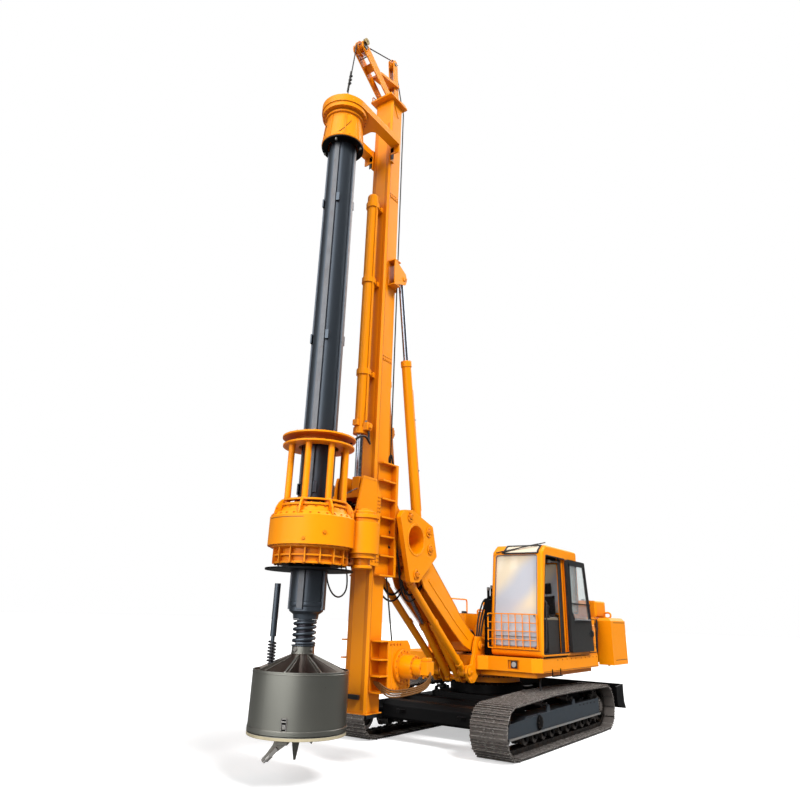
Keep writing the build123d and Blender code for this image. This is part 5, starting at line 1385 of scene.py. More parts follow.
@dataclass
class Cab:
    """Seals, panes, wipers, hatch, door trim, handrails, seat and controls of the cab.

    Fields:
        inner, outer: Y of the cab's two sides.
        front, rear: X of its nose and back.
        roof: Height of its roof.
        hinge: X and Y of the door's hinge line.
        screen: Windscreen's corners as (X, Y, Z), on the cab's outer face.
    """

    inner: float = 0.57
    outer: float = 1.59
    front: float = 0.90
    rear: float = -1.0
    roof: float = 3.324
    hinge: Pair = (-0.335, 1.598)
    screen: tuple[Place, ...] = (
        (0.9, 0.642, 1.562), (0.9, 1.472, 1.562), (0.9, 1.475, 1.722), (0.754, 1.482, 3.134),
        (0.754, 0.652, 3.134),
        (0.9, 0.645, 1.722))

    def build(self) -> None:
        """Makes every piece of the cab."""
        self.seals()
        self.roof_gear()
        self.door()
        self.sides()
        self.guard()
        self.seat()
        self.controls()

    def seals(self) -> None:
        """Rubber round the windscreen, the side window, the rear window and the doorway."""
        band = np.array([(-0.014, -0.01), (0.016, -0.01), (0.016, 0.006), (0.008, 0.009), (-0.006, 0.009),
                         (-0.014, 0.004)])
        screen = [np.array(c) for c in self.screen]
        loop = rounded_loop([tuple(c) for c in screen], 0.05)
        seal = belted(band * (0.45, 0.6), loop, (0.99, 0, 0.1))
        side = rounded_loop([(-0.9, self.outer, 2.15), (-0.42, self.outer, 2.15), (-0.42, self.outer, 3.124),
                             (-0.9, self.outer, 3.124)], 0.06)
        inner = rounded_loop([(-0.88, self.inner, 2.05), (0.69, self.inner, 2.05), (0.54, self.inner, 3.124),
                              (-0.88, self.inner, 3.124)], 0.06)
        rear = rounded_loop([(self.rear, 0.69, 2.15), (self.rear, 1.47, 2.15), (self.rear, 1.47, 3.104),
                             (self.rear, 0.69, 3.104)], 0.05)
        doorway = rounded_loop([(-0.335, 1.588, 1.452), (0.872, 1.588, 1.452), (0.812, 1.588, 2.05),
                                (0.61, 1.588, 3.134),
                                (-0.335, 1.588, 3.134)], 0.03)
        thin = band * (0.8, 0.5)
        make_piece("screen_seal", Body.UPPER, [seal], GREY_PLASTIC)
        seals = [belted(thin, side, (0, 1, 0)), belted(thin, inner, (0, -1, 0)),
                 belted(thin, rear, (-1, 0, 0)),
                 belted(thin, doorway, (0, 1, 0))]
        make_piece("window_seals", Body.UPPER, seals, BLACK_RUBBER)
        split = [carried(np.array([(-0.007, -0.006), (0.007, -0.006), (0.007, 0.006), (-0.007, 0.006)]),
                         row_of((0.893, 0.66, 1.722), (0.893, 1.46, 1.722), 8), (1, 0, 0))]
        make_piece("screen_divider", Body.UPPER, split, GREY_PLASTIC)
        panes = [slab((-0.91, self.outer - 0.028, 2.14), (-0.41, self.outer - 0.022, 3.134)),
                 prism([(-0.89, 2.04), (0.70, 2.04), (0.55, 3.134), (-0.89, 3.134)], self.inner + 0.02,
                       self.inner + 0.026, "y")]
        make_piece("side_panes", Body.UPPER, panes, CLEAR_GLASS)

    def roof_gear(self) -> None:
        """Hatch rim, framed window on the roof's front slope with its wiper, rain strips and door stay."""
        rim = rounded_loop(
            [(-0.06, 0.7, self.roof), (0.44, 0.7, self.roof), (0.44, 1.46, self.roof),
             (-0.06, 1.46, self.roof)], 0.04)
        bar = np.array([(-0.022, -0.006), (0.022, -0.006), (0.022, 0.01), (-0.022, 0.01)])
        shells = [belted(bar, rim, (0, 0, 1)),
                  slab((0.18, 0.72, self.roof - 0.004), (0.2, 1.44, self.roof + 0.004))]
        slope = ((0.756, 3.165), (0.741, 3.202), (0.594, 3.311))
        frame_run = [(x, 0.82, z) for x, z in slope] + [(x, 1.5, z) for x, z in slope[::-1]]
        shells.append(belted(bar * (0.8, 0.8), rounded_loop(frame_run, 0.012), (0.62, 0, 0.78)))
        make_piece("roof_window_rims", Body.UPPER, shells, BLACK_RUBBER)
        pane = prism([*slope, *[(x - 0.004, z - 0.003) for x, z in slope[::-1]]], 0.825, 1.495, "y")
        make_piece("roof_front_pane", Body.UPPER, [pane], SCREEN_PAINTED_REFLECTION)
        arms = [tube([(0.77, 0.78, 3.168), (0.775, 0.79, 3.185), (0.7, 1.12, 3.27), (0.63, 1.46, 3.336)],
                     0.011, 0.02)]
        blade = np.array([(-0.005, -0.006), (0.005, -0.006), (0.003, 0.008), (-0.003, 0.008)])
        blades = [carried(blade * 1.6, row_of((0.775, 0.66, 3.185), (0.61, 1.6, 3.36), 12), (1, 0, 0.1))]
        make_piece("roof_wiper", Body.UPPER, arms + blades, BLACK_PLASTIC)
        strip = [tube([(-0.92, y, self.roof - 0.012), (0.5, y, self.roof - 0.012), (0.7, y, 3.22)], 0.008,
                      0.08)
                 for y in (self.inner + 0.03, self.outer - 0.03)]
        make_piece("rain_strips", Body.UPPER, strip, ORANGE)
        stay = [rod((0.32, 1.51, 3.05), (-0.2, 1.515, 3.07), 0.018, 16),
                slab((-0.24, 1.49, 3.03), (-0.17, 1.53, 3.1)),
                slab((0.24, 1.49, 3.02), (0.34, 1.53, 3.08))]
        make_piece("door_stay", Body.UPPER, stay, BARE_STEEL, bevel=0.004)

    def door_part(self, x: float, out: float, z: float) -> Place:
        """A place on the folded door: x measured as when it is shut, out its depth off the cab's side."""
        return (2 * self.hinge[0] - x, self.outer + out, z)

    def door(self) -> None:
        """Window frame, pane, inner rail, latch, lock and hinge leaves of the door."""
        face = 0.058
        corners = [self.door_part(x, face, z) for x, z in
                   ((-0.275, 2.17), (-0.118, 2.01), (0.765, 2.01), (0.58, 3.062), (-0.275, 3.062))]
        wide = np.array([(-0.034, -0.004), (0.026, -0.004), (0.026, 0.004), (-0.034, 0.004)])
        frame_shells = [belted(wide, rounded_loop(corners, 0.03), (0, 1, 0))]
        edge = [self.door_part(x, 0.035, z) for x, z in
                ((-0.328, 1.46), (0.864, 1.46), (0.805, 2.05), (0.603, 3.126), (-0.328, 3.126))]
        rim = np.array([(-0.004, -0.026), (0.006, -0.026), (0.006, 0.024), (-0.004, 0.024)])
        frame_shells.append(belted(rim, rounded_loop(edge, 0.03), (0, 1, 0)))
        rail = [self.door_part(-0.3, 0.068, 2.32), self.door_part(0.76, 0.068, 2.32)]
        frame_shells.append(carried(np.array([(-0.012, -0.006), (0.012, -0.006), (0.012, 0.006),
                                              (-0.012, 0.006)]),
                                    row_of(*rail, 8), (0, 1, 0)))
        make_piece("door_window_frame", Body.DOOR, frame_shells, BLACK_RUBBER)
        outline = [(2 * self.hinge[0] - x, z) for x, z in
                   ((-0.265, 2.18), (-0.113, 2.025), (0.752, 2.025), (0.57, 3.045), (-0.265, 3.045))]
        pane = prism(outline, self.outer + 0.032, self.outer + 0.038, "y")
        make_piece("door_panes", Body.DOOR, [pane], CLEAR_GLASS)
        bars = [tube([self.door_part(-0.13, 0.058, 2.02), self.door_part(-0.13, 0.1, 2.03),
                      self.door_part(0.66, 0.1, 2.03),
                      self.door_part(0.66, 0.058, 2.02)], 0.012, 0.04)]
        make_piece("door_rail", Body.DOOR, bars, GREY_PLASTIC)
        hardware = [slab(*sorted_box(self.door_part(0.74, 0.058, 1.72), self.door_part(0.83, 0.082, 1.84))),
                    slab(*sorted_box(self.door_part(0.76, 0.08, 1.745), self.door_part(0.8, 0.1, 1.815))),
                    rod(self.door_part(0.66, 0.056, 1.79), self.door_part(0.66, 0.066, 1.79), 0.014, 16),
                    slab(*sorted_box(self.door_part(0.842, 0.02, 1.74), self.door_part(0.866, 0.05, 1.8)))]
        for z in (1.62, 2.5, 3.02):
            hardware.append(slab(*sorted_box(self.door_part(-0.32, 0.052, z - 0.04),
                                             self.door_part(-0.26, 0.062, z + 0.04))))
        make_piece("door_hardware", Body.DOOR, hardware, BLACK_PLASTIC, bevel=0.004)

    def sides(self) -> None:
        """Handrails, a black strip painted as shade on the pillar's inner return, sill step, panel seams and
        the bolts of the cab's feet.
        """
        rails = [tube(
            [(0.86, 1.592, 1.52), (0.86, 1.63, 1.54), (0.8, 1.63, 2.0), (0.76, 1.63, 2.3),
             (0.755, 1.592, 2.33)], 0.012, 0.035),
                 tube([(0.845, 0.566, 1.6), (0.845, 0.53, 1.62), (0.83, 0.53, 2.1), (0.825, 0.566, 2.12)],
                      0.012, 0.03)]
        make_piece("cab_handrails", Body.UPPER, rails, BLACK_PLASTIC)
        # Painted shade: a black strip darkens the pillar's inner return.
        trim = [prism([(-0.25, 1.44), (-0.162, 1.44), (-0.162, 3.12), (-0.25, 3.12)], 1.53, 1.5415, "y")]
        make_piece("pillar_shade_strip", Body.UPPER, trim, BLACK_PLASTIC, bevel=0.002)
        line = np.array([(-0.003, -0.002), (0.003, -0.002), (0.003, 0.002), (-0.003, 0.002)])
        seams = [carried(line, row_of(a, b, 16), (0, 1, 0)) for a, b in
                 (((-0.98, self.outer, 1.45), (-0.36, self.outer, 1.45)),
                  ((-0.98, self.outer, 2.06), (-0.36, self.outer, 2.06)))]
        seams += [carried(line, row_of((0.9005, 0.62, 1.5), (0.9005, 1.54, 1.5), 16), (1, 0, 0))]
        make_piece("cab_seams", Body.UPPER, seams, BLACK_PLASTIC)
        step = [slab((-0.25, 1.5, 1.395), (0.85, 1.585, 1.41)), slab((0.1, 1.562, 1.08), (0.5, 1.6, 1.1)),
                slab((0.1, 1.562, 1.08), (0.12, 1.575, 1.2)), slab((0.48, 1.562, 1.08), (0.5, 1.575, 1.2))]
        make_piece("cab_steps", Body.UPPER, step, DARK_PAINT, bevel=0.003)
        feet = [rod((x, y, 1.3805), (x, y, 1.4), 0.045, 20) for x in (-0.9, 0.8) for y in (0.66, 1.5)]
        make_piece("cab_mounts", Body.UPPER, feet, BLACK_RUBBER)

    def guard(self) -> None:
        """Outer frame, knobs and stays of the wire guard over the lower windscreen."""
        x = self.front + 0.043
        frame_bar = rounded_loop([(x, 0.545, 1.52), (x, 1.505, 1.52), (x, 1.505, 2.095), (x, 0.545, 2.095)],
                                 0.02)
        section = np.array([(-0.009, -0.007), (0.009, -0.007), (0.009, 0.009), (-0.009, 0.009)])
        make_piece("guard_frame", Body.UPPER, [belted(section, frame_bar, (1, 0, 0))], ORANGE)
        knobs = [rod((x + 0.004, 0.548, z), (x + 0.022, 0.548, z), 0.016, 14) for z in (1.62, 1.84, 2.05)]
        knobs += [rod((0.898, y, z), (x, y, z), 0.01, 12) for y in (0.6, 1.45) for z in (1.545, 2.07)]
        make_piece("guard_knobs", Body.UPPER, knobs, BLACK_PLASTIC)

    def seat(self) -> None:
        """Cushion, back and headrest blown up as cloth, with piping, and the frame, headrest posts and
        armrests.
        """
        cushion = prism([(-0.4, 1.775), (0.03, 1.765), (0.075, 1.79), (0.07, 1.86), (-0.05, 1.885),
                         (-0.35, 1.87), (-0.405, 1.84)],
                        0.872, 1.318, "y")
        back = prism([(-0.355, 1.87), (-0.335, 2.1), (-0.36, 2.3), (-0.385, 2.47), (-0.475, 2.475),
                      (-0.48, 2.2), (-0.465, 1.88)],
                     0.876, 1.316, "y")
        head = prism(
            [(-0.38, 2.49), (-0.37, 2.6), (-0.385, 2.695), (-0.455, 2.7), (-0.48, 2.6), (-0.475, 2.49)], 0.95,
            1.24, "y")
        for label, shell, cap, fill in (("seat_cushion", cushion, 0.026, 0.7),
                                        ("seat_back", back, 0.026, 0.7),
                                        ("seat_headrest", head, 0.018, 0.8)):
            blown_pad(label, Body.UPPER, shell, SEAT_CLOTH, cap)
        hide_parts("operator_seat")
        piping = []
        for y in (0.89, 1.3):
            piping.append(tube([(-0.33, y, 1.885), (-0.1, y, 1.902), (0.04, y, 1.88), (0.075, y, 1.83)],
                               0.004, 0.04))
            piping.append(tube([(-0.36, y, 1.93), (-0.338, y, 2.15), (-0.36, y, 2.35), (-0.395, y, 2.44)],
                               0.004, 0.05))
        make_piece("seat_piping", Body.UPPER, piping, BLACK_RUBBER)
        base = [slab((-0.33, 0.9, 1.445), (-0.02, 1.29, 1.475)),
                slab((-0.36, 0.9, 1.72), (0.02, 1.29, 1.768)),
                slab((-0.492, 0.9, 1.86), (-0.478, 1.29, 2.44))]
        for z in np.linspace(1.485, 1.705, 6):
            loop = rounded_loop([(-0.31, 0.92, z), (-0.04, 0.92, z), (-0.04, 1.27, z), (-0.31, 1.27, z)],
                                0.05)
            base.append(belted(circle(0.021, 8), loop, (0, 0, 1)))
        posts = [rod((-0.43, y, 2.44), (-0.43, y, 2.52), 0.007, 12) for y in (1.04, 1.15)]
        make_piece("seat_base", Body.UPPER, base, BLACK_PLASTIC, bevel=0.005)
        make_piece("headrest_posts", Body.UPPER, posts, BARE_STEEL)
        arms = [prism([(-0.42, 2.06), (-0.12, 2.05), (-0.06, 2.075), (-0.07, 2.105), (-0.4, 2.115)], y,
                      y + 0.07, "y")
                for y in (0.79, 1.33)]
        make_piece("seat_armrests", Body.UPPER, arms, BLACK_PLASTIC, bevel=0.012)

    def controls(self) -> None:
        """Console tops with joysticks, switches and screen, travel levers with pedals, and the grab loop."""
        tops = []
        for y in (0.722, 1.352):
            tops.append(prism([(-0.2, 2.01), (0.33, 2.01), (0.31, 2.035), (0.05, 2.06), (-0.18, 2.055)], y,
                              y + 0.106, "y"))
        make_piece("console_tops", Body.UPPER, tops, BEIGE_PLASTIC, bevel=0.008)
        sticks, boots, keys = [], [], []
        for y in (0.775, 1.405):
            boots.append(lathe([(0, 0.09), (0.014, 0.09), (0.02, 0.07), (0.017, 0.062), (0.032, 0.045),
                                (0.027, 0.036), (0.045, 0.018),
                                (0.048, 0), (0, 0)], 20, False).moved((0.17, y, 2.03)))
            sticks.append(tube([(0.17, y, 2.1), (0.175, y, 2.16), (0.168, y, 2.24)], 0.013, 0.02))
            sticks.append(lathe([(0, 0.06), (0.02, 0.056), (0.027, 0.03), (0.022, 0), (0, 0)], 18,
                                False).moved((0.168, y, 2.215)))
            keys.append(repeated(lathe([(0, 0.01), (0.009, 0.01), (0.011, 0), (0, 0)], 8, False),
                                 np.concatenate([row_of((-0.14, y + s, 2.057), (0.06, y + s, 2.057), 6)
                                                 for s in (-0.025, 0.025)]),
                                 (0, 0, 1)))
        make_piece("lever_boots", Body.UPPER, boots, BLACK_RUBBER)
        make_piece("joysticks", Body.UPPER, sticks, BLACK_PLASTIC)
        make_piece("console_keys", Body.UPPER, keys, GREY_PLASTIC)
        screen = [prism([(0.6, 2.12), (0.62, 2.12), (0.58, 2.36), (0.56, 2.36)], 0.64, 0.86, "y"),
                  tube([(0.6, 0.66, 1.5), (0.62, 0.68, 1.9), (0.6, 0.75, 2.15)], 0.014, 0.1)]
        make_piece("display_screen", Body.UPPER, screen, BLACK_PLASTIC, bevel=0.006)
        levers = []
        for y in (1.02, 1.16):
            levers.append(tube([(0.55, y, 1.46), (0.57, y, 1.75), (0.48, y, 2.02), (0.47, y, 2.1)], 0.011,
                               0.06))
            levers.append(rod((0.47, y, 2.08), (0.465, y, 2.19), 0.018, 16))
            levers.append(slab((0.5, y - 0.045, 1.47), (0.7, y + 0.045, 1.485)).turned("y", -14,
                    (0.6, y, 1.5)))
        make_piece("travel_levers", Body.UPPER, levers, BLACK_PLASTIC, bevel=0.003)
        loop = [tube(
            [(0.76, 1.5, 1.7), (0.7, 1.5, 1.74), (0.66, 1.5, 2.1), (0.7, 1.5, 2.14), (0.74, 1.51, 2.13)],
            0.01, 0.05)]
        make_piece("grab_loop", Body.UPPER, loop, BLACK_PLASTIC)
        mat = [slab((-0.9, 0.64, 1.438), (0.82, 1.52, 1.446))]
        make_piece("floor_mat", Body.UPPER, mat, BLACK_RUBBER)
        lining = [slab((-0.93, 0.64, 1.46), (-0.915, 1.53, 2.12)),
                  slab((-0.9, 0.618, 1.46), (0.75, 0.63, 2.0))]
        make_piece("cab_lining", Body.UPPER, lining, DARK_TRIM, bevel=0.004)
        liner = [slab((-0.93, 0.63, 3.235), (-0.09, 1.535, 3.262)),
                 slab((-0.09, 0.63, 3.235), (0.5, 0.69, 3.262)),
                 slab((-0.09, 1.47, 3.235), (0.5, 1.535, 3.262)),
                 slab((0.46, 0.63, 3.235), (0.53, 1.535, 3.262)),
                 slab((-0.93, 0.618, 3.14), (0.52, 0.64, 3.24)),
                 slab((-0.32, 1.52, 3.15), (0.55, 1.54, 3.24)),
                 slab((-0.95, 0.64, 3.125), (-0.925, 1.53, 3.24)),
                 slab((-0.17, 1.5, 1.46), (-0.155, 1.535, 3.14))]
        make_piece("cab_headliner", Body.UPPER, liner, DARK_TRIM, bevel=0.006)
# ---- boom linkage --------------------------------------------------------------------------------


@dataclass
class BoomLinkage:
    """Pin keepers, welds, cylinder glands and ports, and the hoses of the boom, links and rocker plates.

    Fields:
        foot, head: Boom's pins as (X, Z).
        link_foot, link_head: Lower links' pins.
        lift: Boom cylinders' foot and rod eye.
        tilt: Mast cylinders' foot and rod eye.
        pivot: Mast's pivot on the rocker plates.
        plate: Outer face of a rocker plate.
    """

    foot: Pair = (0.96, 1.545)
    head: Pair = (2.875, 3.045)
    link_foot: Pair = (1.36, 1.12)
    link_head: Pair = (3.275, 2.62)
    lift: tuple[Pair, Pair] = ((1.25, 1.0), (2.64, 2.385))
    tilt: tuple[Pair, Pair] = ((2.925, 3.325), (3.68, 7.85))
    pivot: Pair = (3.49, 3.51)
    plate: float = 0.48

    def build(self) -> None:
        """Makes every piece of the boom linkage."""
        self.keepers()
        self.welds()
        self.cylinders()
        self.hoses()

    def keepers(self) -> None:
        """C-shaped keepers and end caps at the rocker plates' four pins, each with its bolts."""
        rings, caps, rows = [], [], []
        for (x, z), opening in ((self.head, 200), (self.link_head, 250), (self.tilt[0], 150),
                                (self.pivot, 20)):
            rings.append(arc_plate(x, z, (0.052, 0.082), (opening + 35, opening + 325),
                                   (self.plate, self.plate + 0.017)))
            caps.append(lathe([(0, 0.012), (0.034, 0.012), (0.043, 0.005), (0.043, -0.01), (0, -0.01)], 24,
                              False)
                        .turned("x", -90).moved((x, self.plate + 0.02, z)))
            rows.append(ring_of(5, 0.067, (x, self.plate + 0.016, z), "y", opening + 60))
        make_piece("pin_keepers", Body.TRIANGLE, both_sides(rings), ORANGE, bevel=0.003)
        make_piece("pin_ends", Body.TRIANGLE, both_sides(caps), BOLT_PAINT)
        heads = bolt_heads(0.018, rows, (0, 1, 0))
        make_piece("keeper_bolts", Body.TRIANGLE, both_sides([heads]), BOLT_PAINT)

    def welds(self) -> None:
        """Beads round the cross tube, along the boom's seams and round its bosses."""
        turn_round = [ring_bead(3.3, 3.165, 0.249, y) for y in (self.plate + 0.002, 0.393)]
        make_piece("rocker_welds", Body.TRIANGLE, both_sides(turn_round), ORANGE)
        top = [(1.13, 1.762), (1.56, 2.062), (1.68, 2.182), (2.76, 3.082)]
        low = [(1.42, 1.55), (1.811, 1.791), (2.76, 2.46)]
        beads = []
        for run in (top, low):
            beads += [weld((a[0], 0.3015, a[1] - 0.014), (b[0], 0.3015, b[1] - 0.014), 0.005)
                      for a, b in zip(run, run[1:])]
        beads += [ring_bead(*self.head, 0.132, 0.3015), ring_bead(*self.foot, 0.117, 0.3015)]
        make_piece("boom_welds", Body.BOOM, both_sides(beads), ORANGE)
        stiff = [prism([(1.25, 1.62), (1.7, 1.9), (2.3, 2.33), (2.62, 2.56), (2.6, 2.6), (2.28, 2.37),
                        (1.68, 1.945), (1.23, 1.66)],
                       0.3, 0.309, "y")]
        make_piece("boom_stiffeners", Body.BOOM, both_sides(stiff), ORANGE, bevel=0.003)
        tabs = []
        direction = np.array([self.link_head[0] - self.link_foot[0], 0,
                              self.link_head[1] - self.link_foot[1]])
        slope = math.degrees(math.atan2(direction[2], direction[0]))
        for share in (0.12, 0.5, 0.88):
            x, z = np.array(self.link_foot) + share * direction[[0, 2]]
            tabs.append(slab((-0.05, -0.012, 0.05), (0.05, 0.012, 0.092)).turned("y",
                    -slope).moved((x, 0.262, z)))
        for end in (0.085, 0.915):
            x, z = np.array(self.link_foot) + end * direction[[0, 2]]
            tabs.append(rod((x - 0.03, 0.262, z - 0.0235), (x + 0.03, 0.262, z + 0.0235), 0.07, 24))
        make_piece("link_tabs", Body.LINKS, both_sides(tabs), ORANGE, bevel=0.003)

    def along(self, ends: tuple[Pair, Pair], reach: float, off: float,
              y: float) -> Place:
        """A place on a cylinder: this far along its axis and this far off it, on the upper rear side."""
        (x, z), (x_eye, z_eye) = ends
        length = math.hypot(x_eye - x, z_eye - z)
        c, s = (x_eye - x) / length, (z_eye - z) / length
        return (x + c * reach - s * off, y, z + s * reach + c * off)

    def cylinders(self) -> None:
        """Glands with their bolts, seals, ports and hard pipes of both pairs of cylinders."""
        table = (
            ("boom", Body.BOOM_BARRELS, self.lift, 0.105, 0.076, 1.25, 0.036, 0.18),
            ("mast", Body.MAST_BARRELS, self.tilt, 0.255, 0.098, 3.0, 0.046, 0.3),
        )
        for label, body, ends, y, radius, length, bore, port in table:
            a, b = self.along(ends, length - 0.002, 0, y), self.along(ends, length + 0.018, 0, y)
            direction = np.array(b) - np.array(a)
            angle = np.linspace(0, 2 * np.pi, 8, endpoint=False)
            across = np.array([-direction[2], 0, direction[0]]) / np.linalg.norm(direction)
            ring = np.array(b) + (radius - 0.016) * (np.cos(angle)[:, None] * across + np.sin(angle)[:,
                    None] * (0, 1, 0))
            collar = lathe(
                [(bore + 0.003, 0), (radius, 0), (radius, 0.014), (radius - 0.008, 0.019),
                 (bore + 0.003, 0.019)], 40)
            collar = Shell(collar.points @ facing(direction[None])[0].T + np.array(a), collar.faces)
            make_piece(f"{label}_cylinder_glands", body, both_sides([collar]), ORANGE)
            make_piece(f"{label}_gland_bolts", body, both_sides([bolt_heads(0.016, ring, direction)]),
                       BOLT_PAINT)
            pipes = []
            for shift, start, stop in ((-0.3, port, length - 0.08), (0.3, port + 0.06, length - 0.5)):
                off = radius + 0.012
                pipes.append(tube([self.along(ends, start, radius - 0.02, y + shift * radius),
                                   self.along(ends, start, off, y + shift * radius),
                                   self.along(ends, stop, off, y + shift * radius),
                                   self.along(ends, stop, radius - 0.02, y + shift * radius)], 0.011, 0.03))
            make_piece(f"{label}_cylinder_pipes", body, both_sides(pipes), ORANGE)
            blocks = [rod(self.along(ends, r, radius - 0.025, y), self.along(ends, r, radius + 0.03, y),
                          0.026, 8)
                      for r in (port - 0.02, length - 0.06)]
            blocks += [rod(self.along(ends, r, radius - 0.01, y + s * 0.045),
                           self.along(ends, r, radius + 0.03, y + s * 0.045), 0.006, 8)
                       for r in (length * 0.35, length * 0.65) for s in (-1, 1)]
            make_piece(f"{label}_cylinder_ports", body, both_sides(blocks), DARK_STEEL)

    def hoses(self) -> None:
        """Hoses from the deck along the boom's top, over its head, and their clamps."""
        rows = np.linspace(-0.2, 0.2, 6)
        foot = [hose(
            [(0.5, y * 0.8, 1.42), (0.72, y * 0.9, 1.6), (0.9, y, 1.78), (1.02, y, 1.785), (1.16, y, 1.83)],
            0.016)
                for y in rows]
        piece = make_piece("boom_foot_hoses", None, foot, BLACK_RUBBER)
        bend(piece, Body.UPPER, Body.BOOM, (0.6, 0, 1.5), (1.0, 0, 1.8))
        top = [hose(
            [(1.15, y, 1.82), (1.54, y, 2.09), (1.66, y, 2.2), (2.2, y, 2.655), (2.74, y, 3.1),
             (2.84, y, 3.185)], 0.016)
               for y in rows]
        make_piece("boom_top_hoses", Body.BOOM, top, BLACK_RUBBER)
        head = [hose(
            [(2.84, y, 3.183), (2.93, y, 3.27), (3.0, y, 3.42), (3.12, y * 0.9, 3.56), (3.26, y * 0.8, 3.6)],
            0.016)
                for y in rows]
        piece = make_piece("boom_head_hoses", None, head, BLACK_RUBBER)
        bend(piece, Body.BOOM, Body.TRIANGLE, (2.85, 0, 3.2), (3.05, 0, 3.5))
        bridge = []
        for k, y in enumerate(rows):
            drop = 0.06 * (k % 3)
            bridge.append(hose([(3.26, y * 0.8, 3.6), (3.4, y * 0.75, 3.66), (3.5, y * 0.7, 3.9 + drop),
                                (3.52, y * 0.6, 4.25 + drop),
                                (3.58, y * 0.6, 4.48 + drop), (3.66, y * 0.55, 4.42)], 0.016))
        piece = make_piece("mast_back_hoses", None, bridge, BLACK_RUBBER)
        bend(piece, Body.TRIANGLE, Body.MAST, (3.3, 0, 3.6), (3.56, 0, 4.3))
        clamps = [slab((x - 0.03, -0.25, z), (x + 0.03, 0.25, z + 0.05)).turned("y", -39.8, (x, 0, z))
                  for x, z in ((1.9, 2.366), (2.3, 2.7), (2.66, 3.0))]
        make_piece("boom_hose_clamps", Body.BOOM, clamps, ORANGE, bevel=0.003)
        self.foot_loops()

    def foot_loops(self) -> None:
        """Hose loops under the boom's head, cut where they cross the rocker plates, one part per hinge."""
        runs = (
            (
                [(2.72, 0.178, 2.45), (2.98, 0.18, 2.3), (3.2, 0.19, 2.38), (3.42, 0.24, 2.7),
                 (3.5, 0.26, 2.95), (3.62, 0.22, 3.0)], 0.017),
            (
                [(2.6, 0.177, 2.52), (2.9, 0.182, 2.2), (3.25, 0.2, 2.26), (3.48, 0.28, 2.66),
                 (3.56, 0.28, 3.05), (3.63, 0.22, 3.2)], 0.015),
        )
        near, far = [], []
        for corners, radius in runs:
            spine = smooth_run(corners)
            cut = int(np.searchsorted(spine[:, 0], 3.16))
            near.append(carried(circle(radius), spine[:cut + 1], (0, 1, 0.013)))
            far.append(carried(circle(radius), spine[cut - 1:], (0, 1, 0.013)))
        piece = make_piece("boom_foot_hose_loops", None, both_sides(near), BLACK_RUBBER)
        bend(piece, Body.BOOM, Body.TRIANGLE, (2.78, 0, 2.4), (3.1, 0, 2.4))
        piece = make_piece("mast_foot_hose_loops", None, both_sides(far), BLACK_RUBBER)
        bend(piece, Body.TRIANGLE, Body.MAST, (3.2, 0, 2.4), (3.56, 0, 2.9))


# ---- mast ----------------------------------------------------------------------------------------


